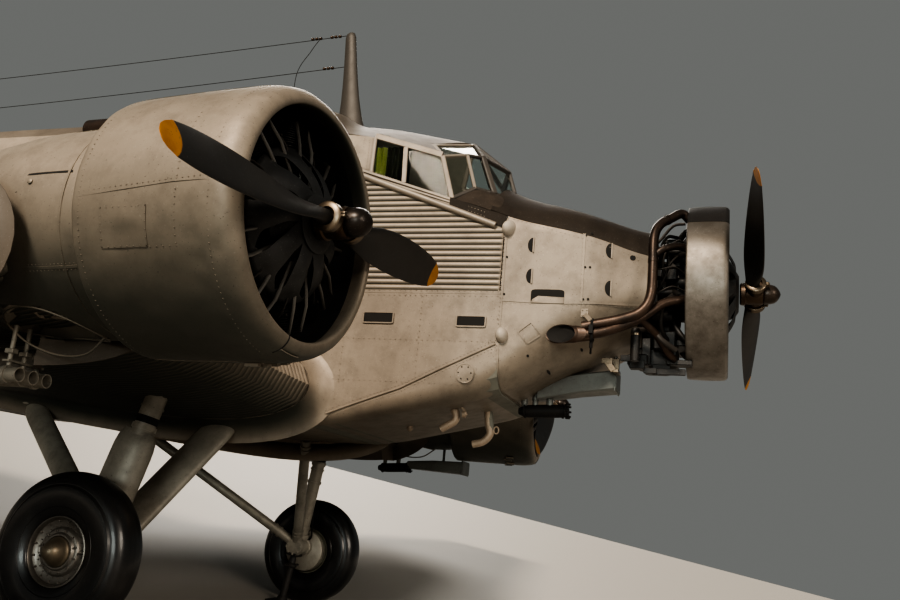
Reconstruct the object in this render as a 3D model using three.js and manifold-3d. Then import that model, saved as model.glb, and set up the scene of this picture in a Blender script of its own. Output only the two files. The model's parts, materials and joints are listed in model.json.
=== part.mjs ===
// Three-engined military transport plane, parked on its wheels.
// Aircraft frame: origin at the nose propeller hub, +X forward along the thrust line, +Y to port, +Z up.
// The whole aircraft stands nose-up by its ground angle, inside a group whose origin is on the floor.
import * as THREE from 'three';
import { mergeVertices } from 'three/addons/utils/BufferGeometryUtils.js';
import Module from 'manifold-3d';

const wasm = await Module();
wasm.setup();

// Driving dimensions in millimetres and degrees
const groundAngle = 9.493;
const gap = 0.3;
const skin = 45;
const floorTop = -350;
const sideTop = 1050;
const hullHalfWidth = 820;
const noseRear = -1950;
const cockpitRear = -3780;
const cabinRear = -10950;
const tailEnd = -17330;

const engineHub = { nose: [0, 0, 0], side: [-2252, 3296, -519] };
const toeOut = 4.876;
const propRadius = 1450;
const bladeAngle = { nose: 67.19, starboard: 94.175, port: 118 };
const sideCowl = { front: -166, rear: -1138, radius: 771, mouth: 655 };
const noseRing = { front: -210, rear: -532, radius: 725 };

const wheel = { x: -4657, y: 2012, z: -2481, radius: 558, width: 330 };
const tailWheel = { x: -16930, radius: 250, width: 120 };
const axleBore = 42;
const runningFit = 0.8;

const wing = { rootY: hullHalfWidth + gap, tipY: 14450, sweep: 11.5, dihedral: 5.8 };
const flapGap = 45;
const hingePin = 14;
const pinFit = 0.7;

// Colours of the finishes
const finish = (name, color, roughness, metalness) =>
  new THREE.MeshStandardMaterial({ name, color, roughness, metalness });
const finishes = {
  paint: finish('paint', 0xb3aa9c, 0.55, 0.25),
  bareMetal: finish('bareMetal', 0x8d877e, 0.4, 0.7),
  engineMetal: finish('engineMetal', 0x2a2928, 0.5, 0.6),
  exhaustMetal: finish('exhaustMetal', 0x4a3a30, 0.5, 0.7),
  propeller: finish('propeller', 0x34302d, 0.45, 0.3),
  rubber: finish('rubber', 0x121212, 0.4, 0),
  interior: finish('interior', 0x6d6f68, 0.7, 0.1),
};

// Solids: a closed geometry becomes a solid to join or cut, and comes back with flat faces
function solidOf(geometry) {
  const bare = geometry.index ? geometry.toNonIndexed() : geometry.clone();
  bare.deleteAttribute('normal');
  bare.deleteAttribute('uv');
  const merged = mergeVertices(bare, 1e-3);
  const corners = merged.index.array;
  const kept = [];
  for (let i = 0; i < corners.length; i += 3) {
    const [a, b, c] = [corners[i], corners[i + 1], corners[i + 2]];
    if (a !== b && b !== c && c !== a) kept.push(a, b, c);
  }
  const mesh = new wasm.Mesh({
    numProp: 3,
    vertProperties: new Float32Array(merged.attributes.position.array),
    triVerts: new Uint32Array(kept),
  });
  const solid = new wasm.Manifold(mesh);
  return solid.volume() < 0 ? turnedOut(geometry) : solid;
}

function turnedOut(geometry) {
  const source = geometry.index ? geometry.toNonIndexed() : geometry.clone();
  const place = source.attributes.position.array;
  for (let i = 0; i < place.length; i += 9) {
    for (let k = 0; k < 3; k += 1) {
      [place[i + 3 + k], place[i + 6 + k]] = [place[i + 6 + k], place[i + 3 + k]];
    }
  }
  return solidOf(source);
}

function geometryOf(solid) {
  const mesh = solid.getMesh();
  const geometry = new THREE.BufferGeometry();
  geometry.setAttribute('position', new THREE.BufferAttribute(new Float32Array(mesh.vertProperties), 3));
  geometry.setIndex(new THREE.BufferAttribute(new Uint32Array(mesh.triVerts), 1));
  return geometry;
}

const join = (...solids) => solids.reduce((a, b) => a.add(b));
const cut = (base, ...tools) => tools.reduce((a, b) => a.subtract(b), base);
const mirrorY = (points) => points.map(([x, y, z]) => [x, -y, z]);

// A loft through rings of equal point counts, closed by a fan at each end
function loft(rings) {
  const count = rings[0].length;
  const points = rings.flat();
  const middle = (ring) => [0, 1, 2].map((k) => ring.reduce((sum, p) => sum + p[k], 0) / ring.length);
  points.push(middle(rings[0]), middle(rings[rings.length - 1]));
  const faces = [];
  for (let r = 0; r < rings.length - 1; r += 1) {
    for (let i = 0; i < count; i += 1) {
      const j = (i + 1) % count;
      const [a, b, c, d] = [r * count + i, r * count + j, (r + 1) * count + i, (r + 1) * count + j];
      faces.push(a, b, d, a, d, c);
    }
  }
  const last = (rings.length - 1) * count;
  for (let i = 0; i < count; i += 1) {
    const j = (i + 1) % count;
    faces.push(points.length - 2, j, i);
    faces.push(points.length - 1, last + i, last + j);
  }
  const geometry = new THREE.BufferGeometry();
  geometry.setAttribute('position', new THREE.Float32BufferAttribute(points.flat(), 3));
  geometry.setIndex(faces);
  return solidOf(geometry);
}

// A body turned about the X axis from a profile of [x, radius] that starts and ends on the axis
function turned(profile, segments = 24) {
  const points = profile.map(([x, radius]) => new THREE.Vector2(radius, x));
  const geometry = new THREE.LatheGeometry(points, segments);
  geometry.rotateZ(-Math.PI / 2);
  return solidOf(geometry);
}

// A ring turned about the X axis from a closed profile of [x, radius]
function turnedRing(profile, segments = 32) {
  return turned([...profile, profile[0]], segments);
}

function box(centre, size) {
  return solidOf(new THREE.BoxGeometry(...size).translate(...centre));
}

// A round bar from point a to point b, with its own radius at each end
function bar(a, b, radiusA, radiusB = radiusA, segments = 12) {
  const from = new THREE.Vector3(...a);
  const to = new THREE.Vector3(...b);
  const way = to.clone().sub(from);
  const geometry = new THREE.CylinderGeometry(radiusB, radiusA, way.length(), segments);
  const turn = new THREE.Quaternion().setFromUnitVectors(new THREE.Vector3(0, 1, 0), way.clone().normalize());
  geometry.applyQuaternion(turn);
  geometry.translate(...from.add(to).multiplyScalar(0.5));
  return solidOf(geometry);
}

// A round pipe along a smooth curve through the points
function pipe(points, radius, steps, sides = 7) {
  const curve = new THREE.CatmullRomCurve3(points.map((p) => new THREE.Vector3(...p)));
  const section = new THREE.Shape();
  for (let i = 0; i < sides; i += 1) {
    const t = (2 * Math.PI * i) / sides;
    const [x, y] = [radius * Math.cos(t), radius * Math.sin(t)];
    if (i === 0) section.moveTo(x, y);
    else section.lineTo(x, y);
  }
  return solidOf(new THREE.ExtrudeGeometry(section, { steps, extrudePath: curve, bevelEnabled: false }));
}

// A streamlined strut from a to b, its chord along X
function streamlined(a, b, chord, thickness) {
  const section = [];
  const steps = 12;
  const tailThinning = 0.45;
  for (let i = 0; i < steps; i += 1) {
    const t = (2 * Math.PI * i) / steps;
    const fore = Math.cos(t);
    const fullness = fore < 0 ? 1 + tailThinning * fore : 1;
    section.push([fore * 0.5 * chord, Math.sin(t) * 0.5 * thickness * fullness]);
  }
  return loft([a, b].map((end) => section.map(([x, y]) => [end[0] + x, end[1] + y, end[2]])));
}

// A flat plate cut out of the XZ plane between two values of y
function sidePlate(outline, holes, yLow, yHigh) {
  const shape = new THREE.Shape(outline.map(([x, z]) => new THREE.Vector2(x, z)));
  const geometry = new THREE.ExtrudeGeometry(shape, { depth: yHigh - yLow, bevelEnabled: false });
  geometry.rotateX(Math.PI / 2);
  geometry.translate(0, yHigh, 0);
  return cut(solidOf(geometry), ...holes.map((hole) => sidePlate(hole, [], yLow - 5, yHigh + 5)));
}

// A cutter for a glazed pane: its corners drawn in by an edge and run through the wall
function paneCutter(corners, edge, depth) {
  const points = corners.map((p) => new THREE.Vector3(...p));
  const middle = points.reduce((sum, p) => sum.add(p), new THREE.Vector3()).divideScalar(points.length);
  const across = points[2].clone().sub(points[0]);
  const normal = points[3].clone().sub(points[1]).cross(across).normalize();
  const drawn = points.map((p) => {
    const inward = middle.clone().sub(p);
    return p.clone().add(inward.setLength(edge));
  });
  return loft([-depth, depth].map((d) => drawn.map((p) => p.clone().addScaledVector(normal, d).toArray())));
}

// Hull sections: half width, bottom, bottom corner radius, side top, roof top
const hullStations = [
  { x: -800, half: 585, low: -480, corner: 400, side: 120, top: 455 },
  { x: -1060, half: 700, low: -585, corner: 420, side: 210, top: 525 },
  { x: -1340, half: 770, low: -690, corner: 450, side: 290, top: 620 },
  { x: -1640, half: 785, low: -825, corner: 380, side: 350, top: 720 },
  { x: noseRear, half: 800, low: -1020, corner: 230, side: 420, top: 830 },
  { x: -3300, half: hullHalfWidth, low: -1340, corner: 110, side: sideTop, top: 1640 },
  { x: -3500, half: hullHalfWidth, low: -1370, corner: 110, side: sideTop, top: 1680 },
  { x: -7400, half: hullHalfWidth, low: -1330, corner: 110, side: sideTop, top: 1690 },
  { x: -8700, half: hullHalfWidth, low: -1180, corner: 140, side: sideTop, top: 1670 },
  { x: cabinRear, half: hullHalfWidth, low: -930, corner: 200, side: sideTop, top: 1620 },
  { x: -13500, half: 665, low: -720, corner: 230, side: 950, top: 1440 },
  { x: -16000, half: 380, low: -450, corner: 180, side: 780, top: 1200 },
  { x: tailEnd, half: 130, low: -300, corner: 90, side: 700, top: 1040 },
];

function hullAt(x) {
  const after = hullStations.findIndex((s) => s.x <= x);
  const b = hullStations[Math.max(after, 1)];
  const a = hullStations[Math.max(after, 1) - 1];
  const t = (x - a.x) / (b.x - a.x);
  const mix = (key) => a[key] + (b[key] - a[key]) * t;
  return { x, half: mix('half'), low: mix('low'), corner: mix('corner'), side: mix('side'), top: mix('top') };
}

const cornerSteps = 3;
const archSteps = 5;

// Starboard half of the lower hull outline, from the keel up to the side
function lowerHalf({ x, half, low, corner }, grow = 0) {
  const points = [];
  for (let i = 0; i <= cornerSteps; i += 1) {
    const t = (Math.PI / 2) * (i / cornerSteps);
    const y = half - corner + Math.sin(t) * (corner + grow);
    points.push([x, -y, low + corner - Math.cos(t) * (corner + grow)]);
  }
  return points;
}

// Starboard half of the roof arch, from the side top up to just before the ridge
function archHalf({ x, half, side, top }, inset = 0) {
  const points = [];
  for (let i = 0; i < archSteps; i += 1) {
    const t = (Math.PI / 2) * (i / archSteps);
    points.push([x, -(half - inset) * Math.cos(t) ** 0.62, side + (top - inset - side) * Math.sin(t)]);
  }
  return points;
}

function hullRing(station, grow = 0) {
  const half = [...lowerHalf(station, grow), ...archHalf(station, -grow)];
  const ridge = [station.x, 0, station.top + grow];
  return [...half, ridge, ...mirrorY(half).reverse()];
}

function hullSolid(fromX, toX, grow = 0) {
  const inside = hullStations.map((s) => s.x).filter((x) => x < fromX && x > toX);
  return loft([fromX, ...inside, toX].map((x) => hullRing(hullAt(x), grow)));
}

// Wing sections: leading edge, chord of the main wing, thickness ratio
const dihedral = Math.tan(THREE.MathUtils.degToRad(wing.dihedral));
const sweep = Math.tan(THREE.MathUtils.degToRad(wing.sweep));
const rootSection = { lead: -3440, trail: -7430, height: -1080, thickness: 0.195 };
const tipTrail = -7700;
const tipThinning = 0.085;

function wingSection(y) {
  const out = Math.abs(y) - wing.rootY;
  const share = out / (wing.tipY - wing.rootY);
  const lead = rootSection.lead - out * sweep;
  const trail = rootSection.trail + (tipTrail - rootSection.trail) * share;
  const height = rootSection.height + out * dihedral;
  return { y, lead, trail, height, thickness: rootSection.thickness - tipThinning * share };
}

// Aerofoil outline at one station: upper side from the trailing edge, then the lower side back
const foilSteps = 8;
const halfEdge = 4;
function foilRing({ y, lead, trail, height, thickness }, grow = 0) {
  const chord = lead - trail;
  const points = [];
  const spread = (t) => (1 - Math.cos(Math.PI * t)) / 2;
  const fullness = (s) =>
    0.2969 * Math.sqrt(s) - 0.126 * s - 0.3516 * s ** 2 + 0.2843 * s ** 3 - 0.1015 * s ** 4;
  const halfDepth = (s) => 5 * thickness * chord * fullness(s) + grow + halfEdge * s;
  const camber = (s) => chord * thickness * s * (0.52 * (1 - s) - 0.04);
  for (let i = 0; i <= foilSteps; i += 1) {
    const s = spread(1 - i / foilSteps);
    points.push([lead - s * chord, y, height + camber(s) + halfDepth(s)]);
  }
  for (let i = 1; i <= foilSteps; i += 1) {
    const s = spread(i / foilSteps);
    points.push([lead - s * chord, y, height + camber(s) - halfDepth(s)]);
  }
  points[foilSteps][0] += grow;
  return points;
}

const sides = [
  { name: 'port', sign: 1 },
  { name: 'starboard', sign: -1 },
];

const parts = [];
function piece(name, solid, finish) {
  const mesh = new THREE.Mesh(geometryOf(solid), finishes[finish]);
  mesh.name = name;
  parts.push(mesh);
}

// Nose, from the firewall to the cockpit; below its bend the firewall leans back, less and less behind it
const firewall = { x: hullStations[0].x, bend: -200, slope: 0.55, most: 190, fade: 500 };
function firewallLean(x, z) {
  const share = THREE.MathUtils.clamp((x - firewall.x) / firewall.fade + 1, 0, 1);
  return share * THREE.MathUtils.clamp(firewall.slope * (firewall.bend - z), 0, firewall.most);
}
function noseLoft(grow = 0) {
  const stations = hullStations.filter((s) => s.x >= noseRear);
  return loft(stations.map((station) => hullRing(station, grow).map(([x, y, z]) => {
    const front = station.x === firewall.x ? grow : 0;
    return [x - firewallLean(station.x, z) + front, y, z];
  })));
}
piece('nose_section', noseLoft(), 'paint');

// Belly and cabin floor, closed below the floor and carrying the wings
function floorRing(x) {
  const station = hullAt(x);
  const half = [...lowerHalf(station), [x, -station.half, floorTop]];
  return [...half, ...mirrorY(half).reverse()];
}
const floorXs = [noseRear - gap, -3300, -3500, -7400, -8700, cabinRear];
const jackPad = { x: -5200, y: 600, size: 160, depth: 60 };
const belly = loft(floorXs.map(floorRing));
const padMiddle = hullAt(jackPad.x).low;
const jackPads = sides.map(({ sign }) =>
  box([jackPad.x, sign * jackPad.y, padMiddle], [jackPad.size, jackPad.size, 2 * jackPad.depth]));
const drainRadius = 30;
const drainRoutes = [
  [[-2427, -400, -1030], [-2378, -400, -1158], [-2381, -400, -1226], [-2493, -400, -1298]],
  [[-2205, 0, -1030], [-2172, 0, -1275], [-2230, 0, -1345], [-2320, 0, -1372]],
];
const drains = drainRoutes.map((route) => pipe(route, drainRadius, 8));
piece('cabin_floor', join(belly, ...jackPads, ...drains), 'paint');

// Cockpit shell: sections of [half width, height] at the sill, shoulder and roof edge, with the ridge height
const cockpitStations = [
  { x: noseRear - gap, sill: [800, 420], shoulder: [660, 600], edge: [430, 730], ridge: 830 },
  { x: -2120, sill: [800, 465], shoulder: [620, 640], edge: [430, 760], ridge: 870 },
  { x: -2200, sill: [800, 480], shoulder: [550, 690], edge: [420, 860], ridge: 1200 },
  { x: -2330, sill: [800, 520], shoulder: [630, 640], edge: [400, 1130], ridge: 1290 },
  { x: -2480, sill: [802, 560], shoulder: [785, 610], edge: [520, 1200], ridge: 1395 },
  { x: -2560, sill: [803, 580], shoulder: [795, 1030], edge: [620, 1230], ridge: 1450 },
  { x: -3220, sill: [815, 790], shoulder: [800, 1170], edge: [620, 1440], ridge: 1600 },
  { x: cockpitRear, sill: [hullHalfWidth, 900], shoulder: [805, 1300], edge: [620, 1530], ridge: 1688 },
];
function cockpitRing({ x, sill, shoulder, edge, ridge }, inset, low) {
  const drop = inset * 0.8;
  const half = [
    [x, -(sill[0] - inset), low],
    [x, -(sill[0] - inset), sill[1] - drop],
    [x, -(shoulder[0] - inset), shoulder[1] - drop],
    [x, -(edge[0] - drop), edge[1] - inset],
  ];
  return [...half, [x, 0, ridge - inset], ...mirrorY(half).reverse()];
}
const outerCockpit = loft(cockpitStations.map((s) => cockpitRing(s, 0, floorTop + gap)));
const innerStations = cockpitStations.map((s, i) => {
  const ends = { 0: s.x - skin, [cockpitStations.length - 1]: s.x - 1 };
  return { ...s, x: ends[i] ?? s.x - (i < 5 ? skin : 0) };
});
const innerCockpit = loft(innerStations.map((s) => cockpitRing(s, skin, floorTop - 10)));
const paneCorners = {
  windscreen: [[-2120, 30, 880], [-2160, 415, 780], [-2325, 390, 1110], [-2200, 30, 1190]],
  quarter: [[-2170, 450, 770], [-2465, 780, 600], [-2540, 745, 1010], [-2340, 430, 1110]],
  upper: [[-2215, 30, 1215], [-2340, 385, 1150], [-2550, 560, 1270], [-2560, 30, 1440]],
};
const paneEdge = 45;
const paneTools = Object.values(paneCorners).flatMap((corners) =>
  [paneCutter(corners, paneEdge, 110), paneCutter(mirrorY(corners), paneEdge, 110)]);
const sideWindow = [[-3200, 800], [-3200, 1130], [-2590, 970], [-2520, 600]];
const sideWindowTool = sidePlate(sideWindow, [], -1000, 1000);
piece('cockpit_shell', cut(outerCockpit, innerCockpit, sideWindowTool, ...paneTools), 'paint');

// In the cockpit: the instrument board and the side curtains, shaped by the room inside the shell
const cockpitRoom = loft(cockpitStations.map((s, i) =>
  cockpitRing(innerStations[i].x === s.x ? s : { ...s, x: innerStations[i].x }, skin + gap, floorTop + gap)));
const boardSize = { x: -2200, thickness: 50, low: 390, high: 740 };
piece('instrument_board', cockpitRoom.intersect(box(
  [boardSize.x, 0, (boardSize.low + boardSize.high) / 2],
  [boardSize.thickness, 2 * hullHalfWidth, boardSize.high - boardSize.low])), 'interior');
const curtain = { front: -2850, rear: -3240, low: 620, high: 1120, inner: 735 };
for (const { name, sign } of sides) {
  const { front, rear, low, high, inner } = curtain;
  const middle = [(front + rear) / 2, sign * (inner + hullHalfWidth) / 2, (low + high) / 2];
  const block = box(middle, [front - rear, hullHalfWidth - inner, high - low]);
  piece(`cockpit_curtain_${name}`, cockpitRoom.intersect(block), 'interior');
}

// Two pilots' seats on boxes, their backs leaning rearwards
const seat = { x: -2920, y: 370, size: 440, low: 70, high: 170, base: 340 };
const seatBack = { depth: 80, sections: [
  { z: 130, lean: 0, half: 200 },
  { z: 500, lean: 60, half: 230 },
  { z: 680, lean: 90, half: 210 },
  { z: 740, lean: 100, half: 130 },
] };
function seatSolid(sign) {
  const y = sign * seat.y;
  const pan = box([seat.x, y, (seat.low + seat.high) / 2], [seat.size, seat.size, seat.high - seat.low]);
  const boxHeight = seat.low - floorTop;
  const base = box([seat.x - 30, y, floorTop + gap + boxHeight / 2], [seat.base, seat.base, boxHeight]);
  const back = loft(seatBack.sections.map(({ z, lean, half }) => {
    const front = seat.x - seat.size / 2 + 40 - lean;
    const rear = front - seatBack.depth;
    return [[front, y - half, z], [front, y + half, z], [rear, y + half, z], [rear, y - half, z]];
  }));
  return join(pan, base, back);
}
for (const { name, sign } of sides) {
  piece(`cockpit_seat_${name}`, seatSolid(sign), 'interior');
}

// Pedestal between the seats with both control columns and their wheels
const column = { foot: [-2450, 370, -310], top: [-2580, 370, 500], radius: 18, wheel: 165, rim: 12 };
const columns = sides.map(({ sign }) => {
  const at = ([x, y, z]) => [x, sign * y, z];
  const [x, y, z] = at(column.top);
  const rim = new THREE.TorusGeometry(column.wheel, column.rim, 4, 10);
  rim.rotateY(Math.PI / 2).translate(x - 20, y, z);
  const spoke = bar([x - 20, y - column.wheel, z], [x - 20, y + column.wheel, z], column.rim, column.rim, 6);
  return join(bar(at(column.foot), [x - 20, y, z], column.radius, column.radius, 8), solidOf(rim), spoke);
});
const pedestal = { x: -2500, length: 360, width: 220, low: floorTop + gap, top: 330 };
const pedestalBox = box(
  [pedestal.x, 0, (pedestal.top + pedestal.low) / 2],
  [pedestal.length, pedestal.width, pedestal.top - pedestal.low]);
const [footX, footY, footZ] = column.foot;
const crossTube = bar([footX, -footY - 20, footZ], [footX, footY + 20, footZ], 20, 20, 8);
piece('cockpit_controls', join(pedestalBox, crossTube, ...columns), 'interior');

// Cabin walls with windows and door openings
const cabinFront = cockpitRear - gap;
const cabinWindow = { first: -4700, pitch: 860, count: 6, width: 450, low: 520, high: 900 };
const doorGap = 6;
const portDoor = { front: -9560, rear: -10420, low: floorTop + 60, high: 940 };
const cargoDoor = { front: -9200, rear: -10750, low: floorTop + 60, middle: 320, high: 960 };
const rectangle = (xFront, xRear, low, high) => [[xRear, low], [xFront, low], [xFront, high], [xRear, high]];
const knuckle = { radius: 12, length: 60, out: 18, reach: 50 };

function cabinWindows(lastX) {
  const holes = [];
  for (let i = 0; i < cabinWindow.count; i += 1) {
    const front = cabinWindow.first - i * cabinWindow.pitch;
    if (front - cabinWindow.width > lastX) {
      holes.push(rectangle(front, front - cabinWindow.width, cabinWindow.low, cabinWindow.high));
    }
  }
  return holes;
}

const wallOutline = rectangle(cabinFront, cabinRear, floorTop + gap, sideTop - gap);
const doorHoles = {
  port: rectangle(portDoor.front, portDoor.rear, portDoor.low, portDoor.high),
  starboard: rectangle(cargoDoor.front, cargoDoor.rear, cargoDoor.low, cargoDoor.high),
};
const hingeY = hullHalfWidth + knuckle.out;
const portHingeHeights = [0, 600];
const cargoHingeXs = [-9500, -10350];

// Half of a hinge: a knuckle off the skin, on a strap let into the wall or the leaf beside it
function hingeHalf(axis, side, centre, way) {
  const half = axis.map((v) => v * knuckle.length / 2);
  const ends = [-1, 1].map((end) => centre.map((c, k) => c + end * half[k]));
  const barrel = bar(...ends, knuckle.radius, knuckle.radius, 12);
  const block = (from, to, yLow, yHigh) => {
    const middle = centre.map((c, k) => c + way[k] * (from + to) / 2);
    middle[1] = side * (yLow + yHigh) / 2;
    const size = axis.map((v, k) => (v ? knuckle.length : Math.abs(way[k]) * (to - from)));
    size[1] = yHigh - yLow;
    return box(middle, size);
  };
  const strap = block(0, knuckle.reach, hullHalfWidth + 1, hingeY);
  const rooted = block(doorGap + 2, knuckle.reach, hullHalfWidth - 8, hullHalfWidth + 2);
  return join(barrel, strap, rooted);
}

const step = knuckle.length / 2 + gap;
const portAxisX = portDoor.front - doorGap / 2;
const portHinges = { wall: [], leaf: [] };
for (const z of portHingeHeights) {
  portHinges.wall.push(hingeHalf([0, 0, 1], 1, [portAxisX, hingeY, z + step], [1, 0, 0]));
  portHinges.leaf.push(hingeHalf([0, 0, 1], 1, [portAxisX, hingeY, z - step], [-1, 0, 0]));
}
const cargoAxis = { upper: cargoDoor.high - doorGap / 2, lower: cargoDoor.low + doorGap / 2 };
const cargoHinges = { wall: [], upper: [], lower: [] };
for (const x of cargoHingeXs) {
  cargoHinges.wall.push(hingeHalf([1, 0, 0], -1, [x + step, -hingeY, cargoAxis.upper], [0, 0, 1]));
  cargoHinges.upper.push(hingeHalf([1, 0, 0], -1, [x - step, -hingeY, cargoAxis.upper], [0, 0, -1]));
  cargoHinges.wall.push(hingeHalf([1, 0, 0], -1, [x + step, -hingeY, cargoAxis.lower], [0, 0, -1]));
  cargoHinges.lower.push(hingeHalf([1, 0, 0], -1, [x - step, -hingeY, cargoAxis.lower], [0, 0, 1]));
}

const windowClearance = 100;
const wallHoles = {
  port: [...cabinWindows(portDoor.front + windowClearance), doorHoles.port],
  starboard: [...cabinWindows(cargoDoor.front + windowClearance), doorHoles.starboard],
};
const wallDepth = {
  port: [hullHalfWidth - skin, hullHalfWidth],
  starboard: [-hullHalfWidth, skin - hullHalfWidth],
};
const wallHinges = { port: portHinges.wall, starboard: cargoHinges.wall };
for (const { name } of sides) {
  const wall = sidePlate(wallOutline, wallHoles[name], ...wallDepth[name]);
  piece(`cabin_side_${name}`, join(wall, ...wallHinges[name]), 'paint');
}

const leaves = [
  {
    name: 'door_port', side: 'port', door: portDoor, hinges: portHinges.leaf,
    low: portDoor.low + doorGap, high: portDoor.high - doorGap,
  },
  {
    name: 'cargo_door_upper', side: 'starboard', door: cargoDoor, hinges: cargoHinges.upper,
    low: cargoDoor.middle + doorGap / 2, high: cargoDoor.high - doorGap,
  },
  {
    name: 'cargo_door_lower', side: 'starboard', door: cargoDoor, hinges: cargoHinges.lower,
    low: cargoDoor.low + doorGap, high: cargoDoor.middle - doorGap / 2,
  },
];
for (const { name, side, door, low, high, hinges } of leaves) {
  const outline = rectangle(door.front - doorGap, door.rear + doorGap, low, high);
  piece(name, join(sidePlate(outline, [], ...wallDepth[side]), ...hinges), 'paint');
}

// Cabin roof, an arched shell
function archRun(station, inset) {
  const half = archHalf(station, inset);
  return [...half, [station.x, 0, station.top - inset], ...mirrorY(half).reverse()];
}
function roofRing(x) {
  const station = hullAt(x);
  return [...archRun(station, 0), ...archRun(station, skin).reverse()];
}
piece('cabin_roof', ringLoft([cabinFront, -7400, -8700, cabinRear].map(roofRing)), 'paint');

// A loft of bent strips, its ends closed between the outer and inner runs
function ringLoft(rings) {
  const count = rings[0].length;
  const points = rings.flat();
  const faces = [];
  for (let r = 0; r < rings.length - 1; r += 1) {
    for (let i = 0; i < count; i += 1) {
      const j = (i + 1) % count;
      const [a, b, c, d] = [r * count + i, r * count + j, (r + 1) * count + i, (r + 1) * count + j];
      faces.push(a, b, d, a, d, c);
    }
  }
  const last = (rings.length - 1) * count;
  for (let i = 0; i < count / 2 - 1; i += 1) {
    const [a, b, c, d] = [i, i + 1, count - 1 - i, count - 2 - i];
    faces.push(a, d, b, a, c, d);
    faces.push(last + a, last + b, last + d, last + a, last + d, last + c);
  }
  const geometry = new THREE.BufferGeometry();
  geometry.setAttribute('position', new THREE.Float32BufferAttribute(points.flat(), 3));
  geometry.setIndex(faces);
  return solidOf(geometry);
}

// Bulkheads inside the shell, the front one with its doorway
function bulkhead(x, thickness) {
  const station = hullAt(x);
  const room = skin + gap;
  const arch = archHalf(station, room).map(([, y, z]) => [y, z]);
  const base = [[-(hullHalfWidth - room), floorTop + gap]];
  const half = [...base, ...arch];
  const outline = [...half, [0, station.top - room - 2], ...half.map(([y, z]) => [-y, z]).reverse()];
  const shape = new THREE.Shape(outline.map(([y, z]) => new THREE.Vector2(y, z)));
  const geometry = new THREE.ExtrudeGeometry(shape, { depth: thickness, bevelEnabled: false });
  geometry.rotateX(Math.PI / 2);
  geometry.rotateZ(Math.PI / 2);
  geometry.translate(x, 0, 0);
  return solidOf(geometry);
}
const doorway = { width: 600, low: floorTop + 60, high: 1250 };
const bulkheadX = { front: cabinFront - 60, rear: cabinRear + 40 };
const bulkheadDepth = 30;
const doorwayTool = box(
  [bulkheadX.front, 0, (doorway.low + doorway.high) / 2],
  [200, doorway.width, doorway.high - doorway.low]);
piece('bulkhead_front', cut(bulkhead(bulkheadX.front, bulkheadDepth), doorwayTool), 'interior');
piece('bulkhead_rear', bulkhead(bulkheadX.rear, bulkheadDepth), 'interior');

// Rear fuselage, fin and tail surfaces
const tailPad = { x: -16300, size: 120, depth: 50 };
const rearHull = hullSolid(cabinRear - gap, tailEnd);
const fork = { x: tailWheel.x + 90, stem: 42, boss: 62 };
const forkBossLow = hullAt(fork.x).low - 24;
const forkBoss = bar([fork.x, 0, forkBossLow], [fork.x, 0, forkBossLow + 120], fork.boss, fork.boss, 16);
const tailPadBox = box(
  [tailPad.x, 0, hullAt(tailPad.x).low],
  [tailPad.size, tailPad.size, 2 * tailPad.depth]);
const rudderHinge = -17430;
const rudderPins = { low: -190, depth: 80 };
const rudderGap = tailEnd - rudderHinge;
const rudderFoot = box([tailEnd - rudderGap / 2 - 10, 0, rudderPins.low - 40], [rudderGap + 60, 60, 30]);
const uprightPin = (low, high) => bar([rudderHinge, 0, low], [rudderHinge, 0, high], hingePin, hingePin, 12);
const rudderLowPin = uprightPin(rudderPins.low - 50, rudderPins.low + rudderPins.depth);
piece('rear_fuselage', join(rearHull, tailPadBox, forkBoss, rudderFoot, rudderLowPin), 'paint');

// Upright or level symmetric section, blunt at the rear where it ends at a hinge
function plateRing(lead, trail, depth, blunt, place) {
  const chord = lead - trail;
  const shares = [0, 0.08, 0.35, 0.7, 1];
  const bluntHalf = (s) => Math.min(1, Math.sqrt(s / 0.3)) * (1 - 0.35 * s);
  const sharpHalf = (s) => Math.sqrt(s) * (1 - s) * 2.2 + 0.06;
  const half = (s) => depth * (blunt ? bluntHalf(s) : sharpHalf(s));
  const upper = shares.map((s) => place(lead - s * chord, Math.max(half(s), 3) / 2));
  const lower = shares.slice(1).map((s) => place(lead - s * chord, -Math.max(half(s), 3) / 2));
  return [...upper, ...lower.reverse()];
}

const finSections = [
  { z: 900, lead: -15650, trail: tailEnd - 20, depth: 170 },
  { z: 1300, lead: -16060, trail: tailEnd - 20, depth: 160 },
  { z: 2180, lead: -16790, trail: tailEnd - 20, depth: 110 },
];
const finBody = loft(finSections.map(({ z, lead, trail, depth }) =>
  plateRing(lead, trail, depth, true, (x, y) => [x, y, z])));
const finHead = box([tailEnd - rudderGap / 2 + 20, 0, 2165], [rudderGap + 100, 46, 30]);
const tailRoom = hullSolid(cabinRear - gap, tailEnd - 100, gap);
piece('fin', join(cut(finBody, tailRoom), finHead, uprightPin(2150, 2250)), 'paint');

const rudderSections = [
  { z: -150, lead: -17370, trail: -17990, depth: 110 },
  { z: 500, lead: -17370, trail: -18560, depth: 150 },
  { z: 1500, lead: -17370, trail: -18660, depth: 130 },
  { z: 2149 - 20, lead: -17370, trail: -18560, depth: 100 },
];
const rudderHead = [
  { z: 2201, lead: -16960, trail: -18560, depth: 100 },
  { z: 2400, lead: -17020, trail: -18440, depth: 80 },
  { z: 2500, lead: -17250, trail: -18200, depth: 50 },
];
const rudderBody = (sections) => loft(sections.map(({ z, lead, trail, depth }) =>
  plateRing(lead, trail, depth, false, (x, y) => [x, y, z])));
const rudderNeck = box([-18020, 0, 2165], [900, 50, 90]);
const pinHole = (a, b) => bar(a, b, hingePin + pinFit, hingePin + pinFit, 12);
piece('rudder', cut(join(rudderBody(rudderSections), rudderBody(rudderHead), rudderNeck),
  pinHole([rudderHinge, 0, rudderPins.low - 60], [rudderHinge, 0, rudderPins.low + rudderPins.depth + 1]),
  pinHole([rudderHinge, 0, 2140], [rudderHinge, 0, 2251])), 'paint');

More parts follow.
